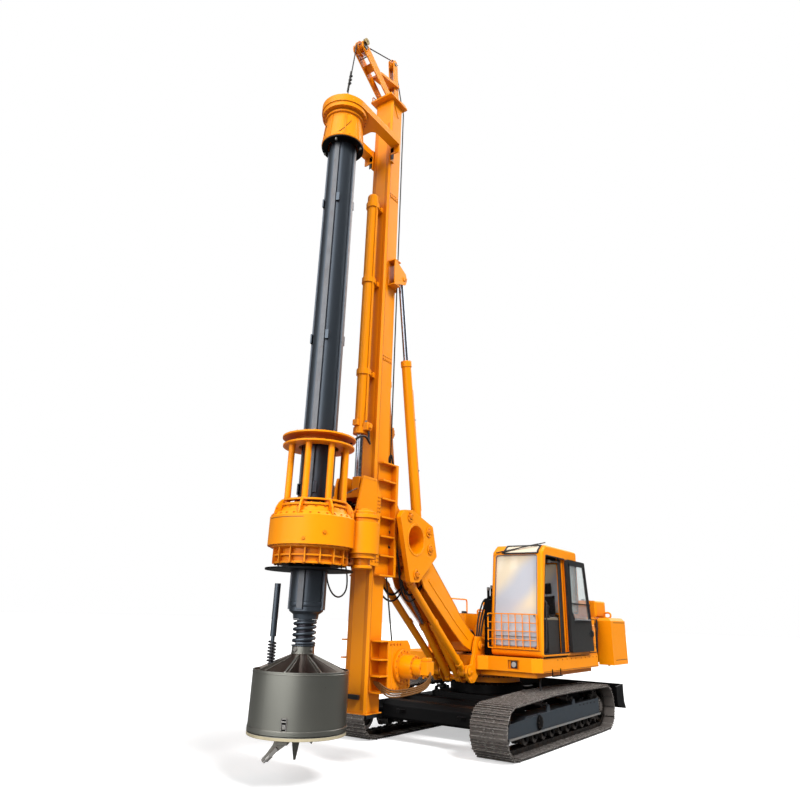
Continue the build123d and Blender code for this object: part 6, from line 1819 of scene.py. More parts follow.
@dataclass
class Mast:
    """Welds, bolts, valves, ropes, sheave trim and winch details of the mast.

    Fields:
        back, face: X of the mast's rear and front.
        half: Half width of its box.
        rail: Half width of its front rail.
        foot, top: Its lower and upper end.
        winch: Drum's axis as (X, Z).
        jib, post: Sheave axes as (X, Z, radius of the rope's own line).
        crowd: X of the crowd cylinder.
        rope: Radius of the hoist rope.
    """

    back: float = 3.74
    face: float = 4.11
    half: float = 0.175
    rail: float = 0.212
    foot: float = 0.68
    top: float = 11.9
    winch: Pair = (3.48, 1.29)
    jib: Place = (4.97, 12.57, 0.136)
    post: Place = (3.89, 13.08, 0.111)
    crowd: float = 4.31
    rope: float = 0.012

    def build(self) -> None:
        """Makes every piece of the mast."""
        self.column()
        self.cradle()
        self.head()
        self.crowd_cylinder()
        self.ropes()
        self.winch_details()
        self.valves()

    def column(self) -> None:
        """Long seam welds, joint plates, foot plate with its bolts, and the worn strips on the rail."""
        beads = []
        for low, high in ((0.7, 2.5), (2.5, 4.4), (4.4, 6.2), (6.2, 7.55), (8.2, 10.0), (10.0, 11.85)):
            beads.append(weld((self.face - 0.047, self.half + 0.003, low),
                              (self.face - 0.047, self.half + 0.003, high), 0.006))
        make_piece("mast_welds", Body.MAST, both_sides(beads), ORANGE)
        joints = [
            slab((self.back + 0.02, self.half, z - 0.05), (self.face - 0.07, self.half + 0.007, z + 0.05))
            for z in (6.2, 9.6)]
        joints += [slab((self.back - 0.007, 0, z - 0.05), (self.back, self.half - 0.02, z + 0.05))
                   for z in (6.2, 9.6)]
        make_piece("mast_joint_plates", Body.MAST, both_sides(joints), ORANGE, bevel=0.002)
        heads = np.concatenate([row_of((self.back + 0.05, self.half + 0.006, z + s),
                                       (self.face - 0.1, self.half + 0.006, z + s), 5)
                                for z in (6.2, 9.6) for s in (-0.028, 0.028)])
        make_piece("mast_joint_bolts", Body.MAST, both_sides([bolt_heads(0.024, heads, (0, 1, 0))]),
                   BOLT_PAINT)
        strips = [slab((self.face - 0.0005, 0.11, self.foot + 0.05),
                       (self.face + 0.0015, 0.168, self.top - 0.6)),
                  slab((self.face - 0.04, self.rail - 0.0005, self.foot + 0.05),
                       (self.face - 0.024, self.rail + 0.0015, self.top - 0.6))]
        make_piece("rail_wear_strips", Body.MAST, both_sides(strips), BOLT_PAINT)
        plate = [slab((self.back - 0.012, -self.rail - 0.01, self.foot - 0.012),
                      (self.face + 0.012, self.rail + 0.01, self.foot + 0.001))]
        make_piece("mast_foot_plate", Body.MAST, plate, ORANGE, bevel=0.002)
        stops = [slab((self.face, -0.1, z), (self.face + 0.05, 0.1, z + 0.06)) for z in (0.86,)]
        make_piece("carriage_stops", Body.MAST, stops, BLACK_RUBBER, bevel=0.006)

    def cradle(self) -> None:
        """Bolted rear flange, rib welds and big mounting bolts of the cradle."""
        places = np.concatenate([row_of((3.605, y, 2.62), (3.605, y, 4.28), 14) for y in (0.245, 0.28)])
        make_piece("cradle_flange_bolts", Body.MAST, both_sides([bolt_heads(0.022, places, (-1, 0, 0))]),
                   BOLT_PAINT)
        beads = []
        for index in range(7):
            z = 2.572 + 1.756 * index / 6
            beads += [weld((3.66, self.half + 0.019, z + s), (4.01, self.half + 0.019, z + s), 0.005)
                      for s in (0.015, -0.015)]
        make_piece("cradle_welds", Body.MAST, both_sides(beads), ORANGE)
        lug = [ring_bead(3.49, 3.51, 0.062, 0.302, 0.006)]
        lug += [weld((3.641, 0.24, 3.35), (3.641, 0.24, 3.68), 0.007)]
        make_piece("lug_welds", Body.MAST, both_sides(lug), ORANGE)
        x, z = 3.68, 7.85
        caps = [pin_cap(x, z, 0.335, 0.045, 20)]
        make_piece("bracket_pin_caps", Body.MAST, both_sides(caps), ORANGE, bevel=0.002)
        heads = bolt_heads(0.028, row_of((3.725, 0.181, 7.63), (3.725, 0.181, 8.13), 6), (0, 1, 0))
        make_piece("bracket_bolts", Body.MAST, both_sides([heads]), BOLT_PAINT)

    def head(self) -> None:
        """Pin caps, gusset welds, rope guide and stays of the mast's head."""
        x, z, _ = self.jib
        caps = [lathe([(0, 0.02), (0.05, 0.02), (0.06, 0.012), (0.06, 0), (0, 0)], 28, False).turned("x",
                -90).moved((x, 0.117, z)),
                lathe([(0, 0.014), (0.034, 0.014), (0.04, 0.008), (0.04, 0), (0, 0)], 24, False).turned("x",
                        -90)
                .moved((self.post[0], 0.07, self.post[1]))]
        make_piece("sheave_pin_caps", Body.MAST, both_sides(caps), BARE_STEEL)
        edge = [ring_bead(x, z, 0.1, 0.118, 0.006)]
        beads = [weld((3.72, self.half + 0.014, 11.9), (4.04, self.half + 0.014, 11.9), 0.006),
                 weld((3.88, 0.119, 11.943), (4.19, 0.119, 11.943)),
                 weld((3.7, 0.072, 11.943), (3.83, 0.072, 11.943), 0.006)]
        make_piece("head_welds", Body.MAST, both_sides(edge + beads), ORANGE)
        guide = [slab((3.62, y, 11.94), (3.78, y + 0.015, 12.08)) for y in (0.055, 0.175)]
        guide += [rod((3.67, 0.05, 12.03), (3.67, 0.195, 12.03), 0.014)]
        make_piece("rope_guide", Body.MAST, guide, ORANGE, bevel=0.003)
        wheel = lathe([(0.014, -0.022), (0.052, -0.022), (0.052, -0.016), (0.038, -0.008), (0.038, 0.008),
                       (0.052, 0.016),
                       (0.052, 0.022), (0.014, 0.022)], 36).turned("x", 90)
        make_piece("rope_guide_wheel", Body.MAST, [wheel.moved((3.67, 0.12, 12.03))], BARE_STEEL)
        small = lathe([(0.016, -0.026), (0.07, -0.026), (0.07, -0.018), (0.052, -0.009), (0.052, 0.009),
                       (0.07, 0.018),
                       (0.07, 0.026), (0.016, 0.026)], 36).turned("x", 90)
        make_piece("tip_guard_sheave", Body.MAST, [small.moved((4.99, 0.148, 12.66))], GOLD_STEEL)
        guards = [rod((a, -0.117, b), (a, 0.117, b), 0.012)
                  for a, b in ((4.93, 12.745), (5.06, 12.6), (4.84, 12.46))]
        guards += [rod((a, -0.06, b), (a, 0.06, b), 0.009) for a, b in ((3.79, 13.16), (3.97, 13.14))]
        make_piece("rope_keepers", Body.MAST, guards, BARE_STEEL)
        heads = np.concatenate([row_of((3.7, 0.235, 11.94), (4.2, 0.235, 11.94), 6),
                                row_of((4.22, -0.2, 11.94), (4.22, 0.2, 11.94), 5)])
        make_piece("head_plate_bolts", Body.MAST, both_sides([bolt_heads(0.026, heads, (0, 0, 1))]),
                   BOLT_PAINT)
        rail = [tube([(3.68, -0.25, 11.94), (3.68, -0.25, 12.1), (4.2, -0.25, 12.1), (4.2, -0.25, 11.94)],
                     0.01, 0.04)]
        make_piece("head_rail", Body.MAST, rail, ORANGE)

    def crowd_cylinder(self) -> None:
        """Clamp bolts, gland, fitting cluster, pipe and end cap of the crowd cylinder."""
        bands = []
        for z in (5.84, 7.6, 9.2):
            bands.append(np.array([(self.crowd - 0.11, s * 0.095, z + t) for s in (-1, 1)
                                   for t in (-0.026, 0.026)]))
        heads = bolt_heads(0.026, bands, (1, 0, 0))
        make_piece("crowd_clamp_bolts", Body.MAST, [heads], BOLT_PAINT)
        gland = [lathe([(0.062, 4.755), (0.118, 4.755), (0.124, 4.762), (0.124, 4.78), (0.062, 4.78)],
                       44).moved((self.crowd, 0, 0)),
                 lathe([(0, 9.4), (0.1, 9.4), (0.092, 9.43), (0.03, 9.44), (0, 9.44)], 40,
                       False).moved((self.crowd, 0, 0))]
        make_piece("crowd_gland", Body.MAST, gland, ORANGE)
        ring = ring_of(10, 0.1, (self.crowd, 0, 4.756))
        make_piece("crowd_gland_bolts", Body.MAST, [bolt_heads(0.02, ring, (0, 0, -1))], BOLT_PAINT)
        cluster = [slab((self.crowd - 0.05, 0.1, 4.8), (self.crowd + 0.07, 0.19, 4.93)),
                   slab((self.crowd - 0.02, 0.185, 4.83), (self.crowd + 0.04, 0.23, 4.9)),
                   slab((self.crowd + 0.1, -0.05, 4.88), (self.crowd + 0.16, 0.05, 4.98))]
        make_piece("crowd_fittings", Body.MAST, cluster, ORANGE, bevel=0.006)
        lines = [tube([(self.crowd + 0.05, 0.15, 4.93), (self.crowd + 0.05, 0.15, 5.1),
                       (self.crowd + 0.03, 0.118, 5.2),
                       (self.crowd + 0.03, 0.118, 9.25), (self.crowd + 0.03, 0.08, 9.32)], 0.011, 0.05)]
        make_piece("crowd_pipe", Body.MAST, lines, ORANGE)
        nuts = [rod((self.crowd + 0.05, 0.15, 4.92), (self.crowd + 0.05, 0.15, 4.96), 0.02, 6),
                rod((self.crowd - 0.03, 0.15, 4.8), (self.crowd - 0.03, 0.15, 4.76), 0.02, 6)]
        make_piece("crowd_nuts", Body.MAST, nuts, BARE_STEEL)
        drop = [hose([(self.crowd - 0.03, 0.15, 4.77), (self.crowd - 0.02, 0.17, 4.62),
                      (self.crowd + 0.1, 0.3, 4.52),
                      (self.crowd + 0.35, 0.4, 4.6), (self.crowd + 0.52, 0.4, 4.55),
                      (self.crowd + 0.6, 0.36, 4.46)], 0.018)]
        piece = make_piece("crowd_hose", None, drop, BLACK_RUBBER)
        bend(piece, Body.MAST, Body.CARRIAGE, (self.crowd, 0, 4.7), (self.crowd + 0.45, 0, 4.56))

    def ropes(self) -> None:
        """Hoist rope up the mast's back, over both sheaves and down to the swivel, with clamps and tail.

        Round a sheave the rope is centre + radius * (cos, sin); between sheaves it is straight.
        """
        x, z, r = self.post
        over = [(x + r * math.cos(a), 0.0, z + r * math.sin(a)) for a in np.radians(np.linspace(184, 65, 9))]
        x, z, r = self.jib
        down = [(x + r * math.cos(a), 0.0, z + r * math.sin(a)) for a in np.radians(np.linspace(65, 6.5, 6))]
        x, z = self.winch
        back = [(x - 0.19, 0.1, z + 0.05), (x - 0.16, 0.1, z + 0.16), (3.608, 0.125, 2.6),
                (3.608, 0.125, 11.88),
                (3.62, 0.12, 12.0), (3.65, 0.1, 12.12)]
        spine = np.array(back + over + down)
        make_piece("hoist_rope", Body.MAST, [carried(circle(self.rope, 10), spine, (0, 1, 0.001))], WIRE_ROPE)
        end = np.array((5.262, 0.0, 11.16))
        fall = row_of(down[-1], tuple(end), 31)
        upper, lower = (carried(circle(self.rope, 10), part, (0, 1, 0.001))
                        for part in (fall[:16], fall[15:]))
        piece = make_piece("hoist_rope_fall", None, [upper], WIRE_ROPE)
        bend(piece, Body.MAST, Body.CARRIAGE, tuple(fall[0]), tuple(fall[15]))
        piece = make_piece("hoist_rope_end", None, [lower], WIRE_ROPE)
        bend(piece, Body.CARRIAGE, Body.GUIDE, tuple(fall[15]), tuple(end))
        way = (np.array(down[-1]) - end) / np.linalg.norm(np.array(down[-1]) - end)
        clamps = [rod(tuple(end + way * k + (0, -0.03, 0)), tuple(end + way * k + (0, 0.03, 0)), 0.024, 8)
                  for k in (0.3, 0.4, 0.5)]
        tail = [rod(tuple(end + way * 0.06 + (0.024, 0, 0)), tuple(end + way * 0.62 + (0.024, 0, 0)), 0.011,
                    10)]
        make_piece("rope_clamps", Body.GUIDE, clamps, BLACK_PLASTIC)
        make_piece("rope_tail", Body.GUIDE, tail, WIRE_ROPE)

    def winch_details(self) -> None:
        """Rope windings on the drum, bolted rings, ports, tie bolts, frame webs and hoses of the winch."""
        x, z = self.winch
        turns = 26
        pitch = 0.648 / turns
        wave = [(0.185, -0.324)]
        for k in range(turns):
            low = -0.324 + pitch * k
            wave += [(0.192, low + pitch * 0.1), (0.203, low + pitch * 0.32), (0.207, low + pitch * 0.5),
                     (0.203, low + pitch * 0.68)]
        wave += [(0.185, 0.324)]
        winding = lathe(wave, 48).turned("x", 90).moved((x, 0, z))
        make_piece("rope_winding", Body.DRUM, [winding], WIRE_ROPE)
        rings = [ring_of(16, 0.212, (x, 0.43, z), "y"), ring_of(12, 0.146, (x, 0.64, z), "y"),
                 ring_of(6, 0.1, (x, 0.78, z), "y")]
        make_piece("winch_ring_bolts", Body.MAST, [bolt_heads(0.024, rings, (0, 1, 0))], BOLT_PAINT)
        other = lathe([(0, 0.03), (0.1, 0.03), (0.13, 0.02), (0.14, 0), (0, 0)], 36, False).turned("x",
                90).moved((x, -0.385, z))
        make_piece("drum_bearing_cap", Body.MAST, [other], ORANGE)
        make_piece("bearing_cap_bolts", Body.MAST,
                   [bolt_heads(0.022, ring_of(8, 0.115, (x, -0.406, z), "y"), (0, -1, 0))], BOLT_PAINT)
        blocks = [slab((x - 0.07, 0.79, z + 0.09), (x + 0.07, 0.88, z + 0.14)),
                  slab((x - 0.06, 0.8, z - 0.14), (x + 0.06, 0.88, z - 0.09))]
        make_piece("winch_motor_ports", Body.MAST, blocks, ORANGE, bevel=0.004)
        webs = [slab((3.796, 0.19, 0.97), (3.808, 0.384, 1.625))]
        make_piece("winch_frame_webs", Body.MAST, both_sides(webs), ORANGE)
        heads = bolt_heads(0.03, np.concatenate([row_of((x - 0.17, 0.386, 1.02), (x - 0.05, 0.386, 0.97), 2),
                                                     row_of((x + 0.05, 0.386, 1.6), (3.78, 0.386, 1.6), 4),
                                                     row_of((x + 0.05, 0.386, 0.99), (3.78, 0.386, 0.99),
                                                             4)]), (0, 1, 0))
        make_piece("winch_plate_bolts", Body.MAST, both_sides([heads]), BOLT_PAINT)
        beads = [weld((3.745, 0.387, 0.965), (3.745, 0.387, 1.63), 0.006)]
        beads += [weld((3.81, 0.193, height), (4.01, 0.193, height), 0.005)
                  for height in (0.968, 1.183, 1.403, 1.627)]
        make_piece("winch_welds", Body.MAST, both_sides(beads), ORANGE)
        lines = []
        for k in range(4):
            drop = 0.026 * k
            lines.append(hose([(x + 0.06 * (k % 2), 0.87, z - 0.05 - drop), (x + 0.02, 0.93, z - 0.06 - drop),
                               (x + 0.12, 0.9, z - 0.2 - drop),
                               (3.75 + drop, 0.72, z - 0.27 - drop), (3.95 + drop, 0.56, z - 0.3 - drop),
                               (4.0, 0.42, z - 0.24 - drop),
                               (3.94, 0.3, z - 0.2 - drop), (3.9, 0.16, z - 0.2)], 0.012))
        make_piece("winch_hoses", Body.MAST, lines, GOLD_HOSE)

    def valves(self) -> None:
        """Valve clusters with fittings on the mast's cylinders, and the hose loop under the gear case."""
        rows = [(3.23, 5.1), (3.38, 6.0)]
        bodies, ports, lines = [], [], []
        for x, z in rows:
            bodies += [slab((x - 0.15, -0.31, z - 0.1), (x - 0.07, -0.2, z + 0.1)),
                       slab((x - 0.2, -0.29, z - 0.05), (x - 0.14, -0.22, z + 0.07))]
            ports += [rod((x - 0.11, y, z + 0.1), (x - 0.11, y, z + 0.135), 0.017, 6) for y in (-0.28, -0.23)]
            ports += [rod((x - 0.2, -0.255, z), (x - 0.235, -0.255, z), 0.02, 8)]
            lines.append(hose(
                [(x - 0.11, -0.28, z + 0.13), (x - 0.12, -0.29, z + 0.26), (x - 0.04, -0.36, z + 0.36),
                 (x + 0.02, -0.345, z + 0.5)], 0.011))
        make_piece("cylinder_valves", Body.MAST_BARRELS, bodies, ORANGE, bevel=0.006)
        make_piece("cylinder_valve_ports", Body.MAST_BARRELS, ports, BARE_STEEL)
        make_piece("cylinder_valve_hoses", Body.MAST_BARRELS, lines, BLACK_RUBBER)
        low = [hose([(4.62, -0.235, 2.75), (4.66, -0.22, 2.6), (4.63, -0.22, 2.44), (4.5, -0.22, 2.27),
                     (4.32, -0.22, 2.22), (4.17, -0.21, 2.33),
                     (4.14, -0.235, 2.55), (4.2, -0.25, 2.75)], 0.012)]
        make_piece("sledge_low_hose", Body.CARRIAGE, low, BLACK_RUBBER)
# ---- rotary drive, kelly and bucket --------------------------------------------------------------


@dataclass
class RotaryDrive:
    """Bolts, plugs, gearbox block, hoses and welds of the sledge, gear case, caps and cage.

    Fields:
        axis: X of the kelly.
        case: Radius of the gear case, with its lower and upper edge.
        pinion: A pinion's axis as (X, Y).
        crown: Height of the case's neck, under the cage.
    """

    axis: float = 5.28
    case: Place = (0.614, 2.86, 3.25)
    pinion: Pair = (4.765, 0.52)
    crown: float = 3.4

    def build(self) -> None:
        """Makes every piece of the rotary drive."""
        self.case_bolts()
        self.case_details()
        self.cage_details()
        self.sledge()

    def case_bolts(self) -> None:
        """Rows of bolts round the case's rims, the lower band, the pinion caps and the cage rings."""
        radius, low, high = self.case
        x = self.axis
        up = np.concatenate([ring_of(32, 0.588, (x, 0, high + 0.026), start=4),
                             ring_of(24, 0.49, (x, 0, high + 0.13)),
                             ring_of(24, 0.465, (x, 0, self.crown + 0.03), start=7)])
        rims = np.array([(*self.pinion, 3.302), (self.pinion[0], -self.pinion[1], 3.302)])
        heads = [bolt_heads(
            0.028, up[(np.hypot(*(up[:, None, :2] - rims[None, :, :2]).T).T > 0.21).all(axis=1)], (0, 0, 1))]
        for px, py, pz in rims:
            heads.append(bolt_heads(0.024, ring_of(14, 0.212, (px, py, 3.352), start=6), (0, 0, 1)))
            heads.append(bolt_heads(0.02, ring_of(8, 0.098, (px, py, 3.43)), (0, 0, 1)))
        down = np.concatenate([ring_of(32, 0.588, (x, 0, low), start=4),
                               ring_of(24, 0.488, (x, 0, 2.62), start=3)])
        heads.append(bolt_heads(
            0.026, down[np.hypot(*(down[:, None, :2] - rims[None, :, :2]).T).T.min(axis=1) > 0.24],
            (0, 0, -1)))
        make_piece("gear_case_bolts", Body.CARRIAGE, heads, BOLT_PAINT)
        rings = [ring_of(24, 0.515, (x, 0, 4.325), start=4), ring_of(24, 0.53, (x, 0, 4.45), start=4)]
        make_piece("cage_ring_bolts", Body.CARRIAGE, [bolt_heads(0.022, rings, (0, 0, 1))], BOLT_PAINT)

    def case_details(self) -> None:
        """Drain plugs and the seam line round the front of the gear case."""
        radius, low, high = self.case
        x = self.axis
        angle = math.radians(58)
        c, s = math.cos(angle), math.sin(angle)
        plug = [rod((x + (radius - 0.004) * c, (radius - 0.004) * s, 3.02),
                    (x + (radius + 0.018) * c, (radius + 0.018) * s, 3.02), 0.028, 6),
                rod((x + (radius - 0.004) * s, (radius - 0.004) * c, 2.93),
                    (x + (radius + 0.014) * s, (radius + 0.014) * c, 2.93), 0.024, 6)]
        make_piece("case_plugs", Body.CARRIAGE, plug, BOLT_PAINT)
        groove = np.array([(-0.003, -0.003), (0.003, -0.003), (0.003, 0.003), (-0.003, 0.003)])
        circle_loop = ring_of(96, radius + 0.0005, (x, 0, high - 0.035))
        keep = circle_loop[np.abs(circle_loop[:, 1]) < 0.34]
        front = keep[keep[:, 0] > x]
        seam = carried(groove, front[np.argsort(front[:, 1])], (0, 0, 1))
        make_piece("case_seam", Body.CARRIAGE, [seam], BLACK_PLASTIC)

    def cage_details(self) -> None:
        """Weld rings at the cage posts' feet and heads, curved lugs' bolts, and inner wear ring."""
        beads = []
        for index in range(8):
            angle = math.radians(45 * index + 22.5)
            px, py = self.axis + 0.43 * math.cos(angle), 0.43 * math.sin(angle)
            for z in (self.crown + 0.097, 4.298):
                beads.append(belted(circle(0.007, 6), ring_of(24, 0.049, (px, py, z)), (0, 0, 1)))
        make_piece("cage_welds", Body.CARRIAGE, beads, ORANGE)
        ring = lathe([(0.302, 4.45), (0.34, 4.45), (0.335, 4.47), (0.306, 4.47)], 64).moved((self.axis, 0, 0))
        make_piece("cage_wear_ring", Body.CARRIAGE, [ring], BARE_STEEL)
        angles = np.radians(45 * np.arange(8) + 22.5)
        out = np.stack([np.cos(angles), np.sin(angles), np.zeros(8)], axis=1)
        places = out * 0.578 + (self.axis, 0, self.crown - 0.045)
        tangent = np.stack([-np.sin(angles), np.cos(angles), np.zeros(8)], axis=1)
        heads = [bolt_heads(0.022, places + tangent * 0.012, tangent),
                 bolt_heads(0.022, places - tangent * 0.012, -tangent)]
        make_piece("cage_lug_bolts", Body.CARRIAGE, heads, BOLT_PAINT)

    def sledge(self) -> None:
        """Gearbox block under the crowd pin, wear pads, bolts and welds of the sledge, and the crowd pin's
        caps.
        """
        block_shells = [slab((4.19, -0.12, 3.79), (4.29, 0.12, 3.84)),
                        slab((4.53, -0.09, 3.47), (4.64, 0.09, 3.62)),
                        rod((4.64, 0, 3.54), (4.68, 0, 3.54), 0.06, 24),
                        rod((4.55, 0.09, 3.56), (4.55, 0.14, 3.56), 0.04, 20)]
        make_piece("gearbox_block", Body.CARRIAGE, block_shells, DARK_PAINT, bevel=0.006)
        lines = [tube([(4.55, 0.14, 3.56), (4.55, 0.2, 3.56), (4.5, 0.21, 3.7), (4.4, 0.22, 3.78)], 0.01,
                      0.03),
                 tube([(4.66, 0.03, 3.6), (4.66, 0.05, 3.72), (4.56, 0.14, 3.8), (4.44, 0.21, 3.86)], 0.008,
                      0.03)]
        make_piece("gearbox_pipes", Body.CARRIAGE, lines, BARE_STEEL)
        pads = [slab((4.026, 0.236, low + 0.03), (4.034, 0.2752, low + 0.27)) for low in (2.72, 3.48)]
        make_piece("slide_pads", Body.CARRIAGE, both_sides(pads), BLACK_PLASTIC, bevel=0.002)
        places = np.concatenate([row_of((4.06, 0.2755, low + 0.04), (4.06, 0.2755, low + 0.26), 5)
                                 for low in (2.72, 3.48)])
        rows = np.concatenate([places, places + (0.045, 0, 0),
                               row_of((4.2, 0.2755, 2.76), (4.7, 0.2755, 2.76), 6),
                               row_of((4.2, 0.2755, 3.405), (4.6, 0.2755, 3.405), 5)])
        make_piece("sledge_bolts", Body.CARRIAGE, both_sides([bolt_heads(0.024, rows, (0, 1, 0))]),
                   BOLT_PAINT)
        edge = [(4.13, 3.8), (4.16, 3.99), (4.5, 3.99), (4.62, 3.45)]
        beads = [weld((4.125, 0.277, 2.75), (4.125, 0.277, 3.68), 0.006)]
        beads += [weld((a[0], 0.2765, a[1]), (b[0], 0.2765, b[1]), 0.004) for a, b in zip(edge, edge[1:])]
        make_piece("sledge_welds", Body.CARRIAGE, both_sides(beads), ORANGE)
        cap = [lathe([(0, 0.02), (0.05, 0.02), (0.058, 0.012), (0.058, 0), (0, 0)], 28, False).turned("x",
                -90).moved((4.31, 0.2, 3.93))]
        make_piece("crowd_pin_caps", Body.CARRIAGE, both_sides(cap), BARE_STEEL)


@dataclass
class KellyAndBucket:
    """Coil spring, drive stops, guide details and swivel of the kelly, and the bucket's worn trim and teeth.

    Fields:
        axis: X of the kelly.
        tube_radius: Radius of its outer tube.
        key_radius: Radius over its drive keys.
        gate_low: Underside of the gate's plate.
        cutter: Direction of the long row of teeth, in degrees.
    """

    axis: float = 5.28
    tube_radius: float = 0.232
    key_radius: float = 0.258
    gate_low: float = 0.552
    cutter: float = 35.0

    def build(self) -> None:
        """Makes every piece of the kelly, its guide and the bucket."""
        self.spring()
        self.kelly_details()
        self.guide_details()
        self.swivel()
        self.bucket_details()
        self.teeth()

    def spring(self) -> None:
        """Flat-wound coil spring in place of its plain shape, between two pressure plates.

        place = (r * cos(a), r * sin(a), low + rise * a / full), with the wire's section carried along it.
        """
        turns = 4.6
        angle = np.linspace(0, 2 * np.pi * turns, 190)
        radius = 0.139
        rise = np.clip((angle - np.pi * 0.9) / (angle[-1] - np.pi * 1.8), 0, 1)
        spine = np.stack([radius * np.cos(angle), radius * np.sin(angle), 1.619 + 0.262 * rise],
                         axis=1) + (self.axis, 0, 0)
        wire = circle(0.022, 12)
        coil = carried(wire, spine, (0, 0, 1))
        sleeve = lathe([(0.094, 1.586), (0.112, 1.586), (0.112, 1.914), (0.094, 1.914)],
                       40).moved((self.axis, 0, 0))
        plates = [
            lathe([(0.096, a), (0.163, a), (0.163, a + 0.013), (0.096, a + 0.013)],
                  48).moved((self.axis, 0, 0)) for a in (1.585, 1.902)]
        piece = make_piece("kelly_coil_spring", Body.KELLY, [coil, sleeve, *plates], KELLY_GREY)
        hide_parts("kelly_spring")

    def kelly_details(self) -> None:
        """Worn edges of the drive keys, stop blocks, joint rings and bolts, and the tube's seam welds."""
        worn, beads, stops = [], [], []
        for index in range(4):
            turned_by = 90 * index + 20
            strip = slab((self.key_radius - 0.0006, -0.0415, 2.06), (self.key_radius + 0.0012, 0.0415, 9.8))
            worn.append(strip.turned("z", turned_by).moved((self.axis, 0, 0)))
            for side in (-1, 1):
                bead = weld((self.tube_radius + 0.002, side * 0.046, 2.1),
                            (self.tube_radius + 0.002, side * 0.046, 9.8), 0.006)
                beads.append(bead.turned("z", turned_by).moved((self.axis, 0, 0)))
            for z in (3.6, 6.0, 8.58):
                stop = slab((self.tube_radius - 0.004, 0.05, z), (self.tube_radius + 0.021, 0.11, z + 0.16))
                stops.append(stop.turned("z", turned_by).moved((self.axis, 0, 0)))
        make_piece("kelly_key_faces", Body.KELLY, worn, KELLY_WORN)
        make_piece("kelly_welds", Body.KELLY, beads, KELLY_GREY)
        make_piece("kelly_stops", Body.KELLY, stops, KELLY_GREY, bevel=0.004)
        inner = [lathe([(0.16, 9.3), (0.182, 9.3), (0.182, 10.12), (0.16, 10.12)],
                       48).moved((self.axis, 0, 0)),
                 lathe([(0, 9.25), (0.128, 9.25), (0.128, 10.45), (0.1, 10.47), (0, 10.47)], 40,
                       False).moved((self.axis, 0, 0))]
        make_piece("inner_kelly_tubes", Body.KELLY, inner, KELLY_GREY)
        foot = [lathe([(0.2335, 2.075), (0.2375, 2.085), (0.2375, 2.13), (0.2335, 2.14)],
                      56).moved((self.axis, 0, 0))]
        make_piece("kelly_foot_ring", Body.KELLY, foot, KELLY_GREY)
        pins = [rod((self.axis - 0.165, y, 1.545), (self.axis + 0.165, y, 1.545), 0.03, 20) for y in (0,)]
        pins += [rod((self.axis, -0.165, 1.545), (self.axis, 0.165, 1.545), 0.022, 16)]
        make_piece("kelly_box_pins", Body.KELLY, pins, BARE_STEEL)

    def guide_details(self) -> None:
        """Ring bolts, dark flange, upright pins, lock slots and welds of the kelly's guide."""
        x = self.axis
        rings = np.concatenate([ring_of(28, 0.395, (x, 0, 10.75), start=-90)[:15],
                                ring_of(20, 0.34, (x, 0, 10.476)),
                                ring_of(20, 0.372, (x, 0, 9.918), start=4)])
        make_piece("guide_bolts", Body.GUIDE, [bolt_heads(0.026, rings, (0, 0, 1))], BOLT_PAINT)
        down = ring_of(28, 0.39, (x, 0, 10.52), start=5)
        make_piece("guide_lower_bolts", Body.GUIDE, [bolt_heads(0.024, down, (0, 0, -1))], BOLT_PAINT)
        flange = [lathe([(0.276, 9.848), (0.372, 9.848), (0.378, 9.856), (0.378, 9.8755), (0.276, 9.8755)],
                        64).moved((x, 0, 0))]
        make_piece("guide_flange", Body.GUIDE, flange, DARK_PAINT)
        angles = np.radians((20, 110, 200, 290))
        pins = [rod((x + 0.335 * math.cos(a), 0.335 * math.sin(a), 9.80),
                    (x + 0.335 * math.cos(a), 0.335 * math.sin(a), 9.86), 0.022, 14)
                for a in angles]
        pins += [rod((x + 0.29 * math.cos(a), 0.29 * math.sin(a), 10.75),
                     (x + 0.29 * math.cos(a), 0.29 * math.sin(a), 10.84), 0.02, 14)
                 for a in angles + 0.3]
        make_piece("guide_pins", Body.GUIDE, pins, BARE_STEEL)
        slots = []
        for index in range(4):
            t = np.linspace(0, 1, 9)
            angle = np.radians(90 * index + 28 + 34 * t)
            radius = 0.361 - 0.03 * t
            spine = np.stack([x + radius * np.cos(angle), radius * np.sin(angle), 9.96 + 0.3 * t**1.3],
                             axis=1)
            slots.append(carried(
                np.array([(-0.014, -0.003), (0.014, -0.003), (0.014, 0.003), (-0.014, 0.003)]), spine,
                (0, 0.02, 1)))
        make_piece("guide_lock_slots", Body.GUIDE, slots, BLACK_PLASTIC)
        beads = [belted(circle(0.006, 6), ring_of(90, r, (x, 0, z)), (0, 0, 1))
                 for r, z in ((0.326, 10.44), (0.332, 10.518), (0.37, 9.919))]
        make_piece("guide_welds", Body.GUIDE, beads, ORANGE)
        pads = [slab((4.12, 0.222, z), (4.13, 0.3, z + 0.12)) for z in (10.32, 10.48)]
        make_piece("guide_slide_pads", Body.GUIDE, both_sides(pads), BLACK_PLASTIC, bevel=0.002)

    def swivel(self) -> None:
        """Rope swivel with its shackle on the kelly's head."""
        x = self.axis
        body = [lathe([(0, 10.46), (0.09, 10.46), (0.09, 10.6), (0.07, 10.63), (0.07, 10.86), (0.055, 10.89),
                       (0.055, 10.98), (0.03, 11.0),
                       (0, 11.0)], 36, False).moved((x, 0, 0))]
        make_piece("rope_swivel", Body.GUIDE, body, DARK_STEEL)
        loop = rounded_loop(
            [(x - 0.035, 0, 10.99), (x + 0.035, 0, 10.99), (x + 0.03, 0, 11.14), (x - 0.03, 0, 11.14)], 0.03)
        make_piece("swivel_shackle", Body.GUIDE, [belted(circle(0.011, 8), loop, (0, 1, 0)),
                                                  rod((x - 0.02, -0.04, 11.14), (x - 0.02, 0.04, 11.14),
                                                      0.016, 14)], BARE_STEEL)

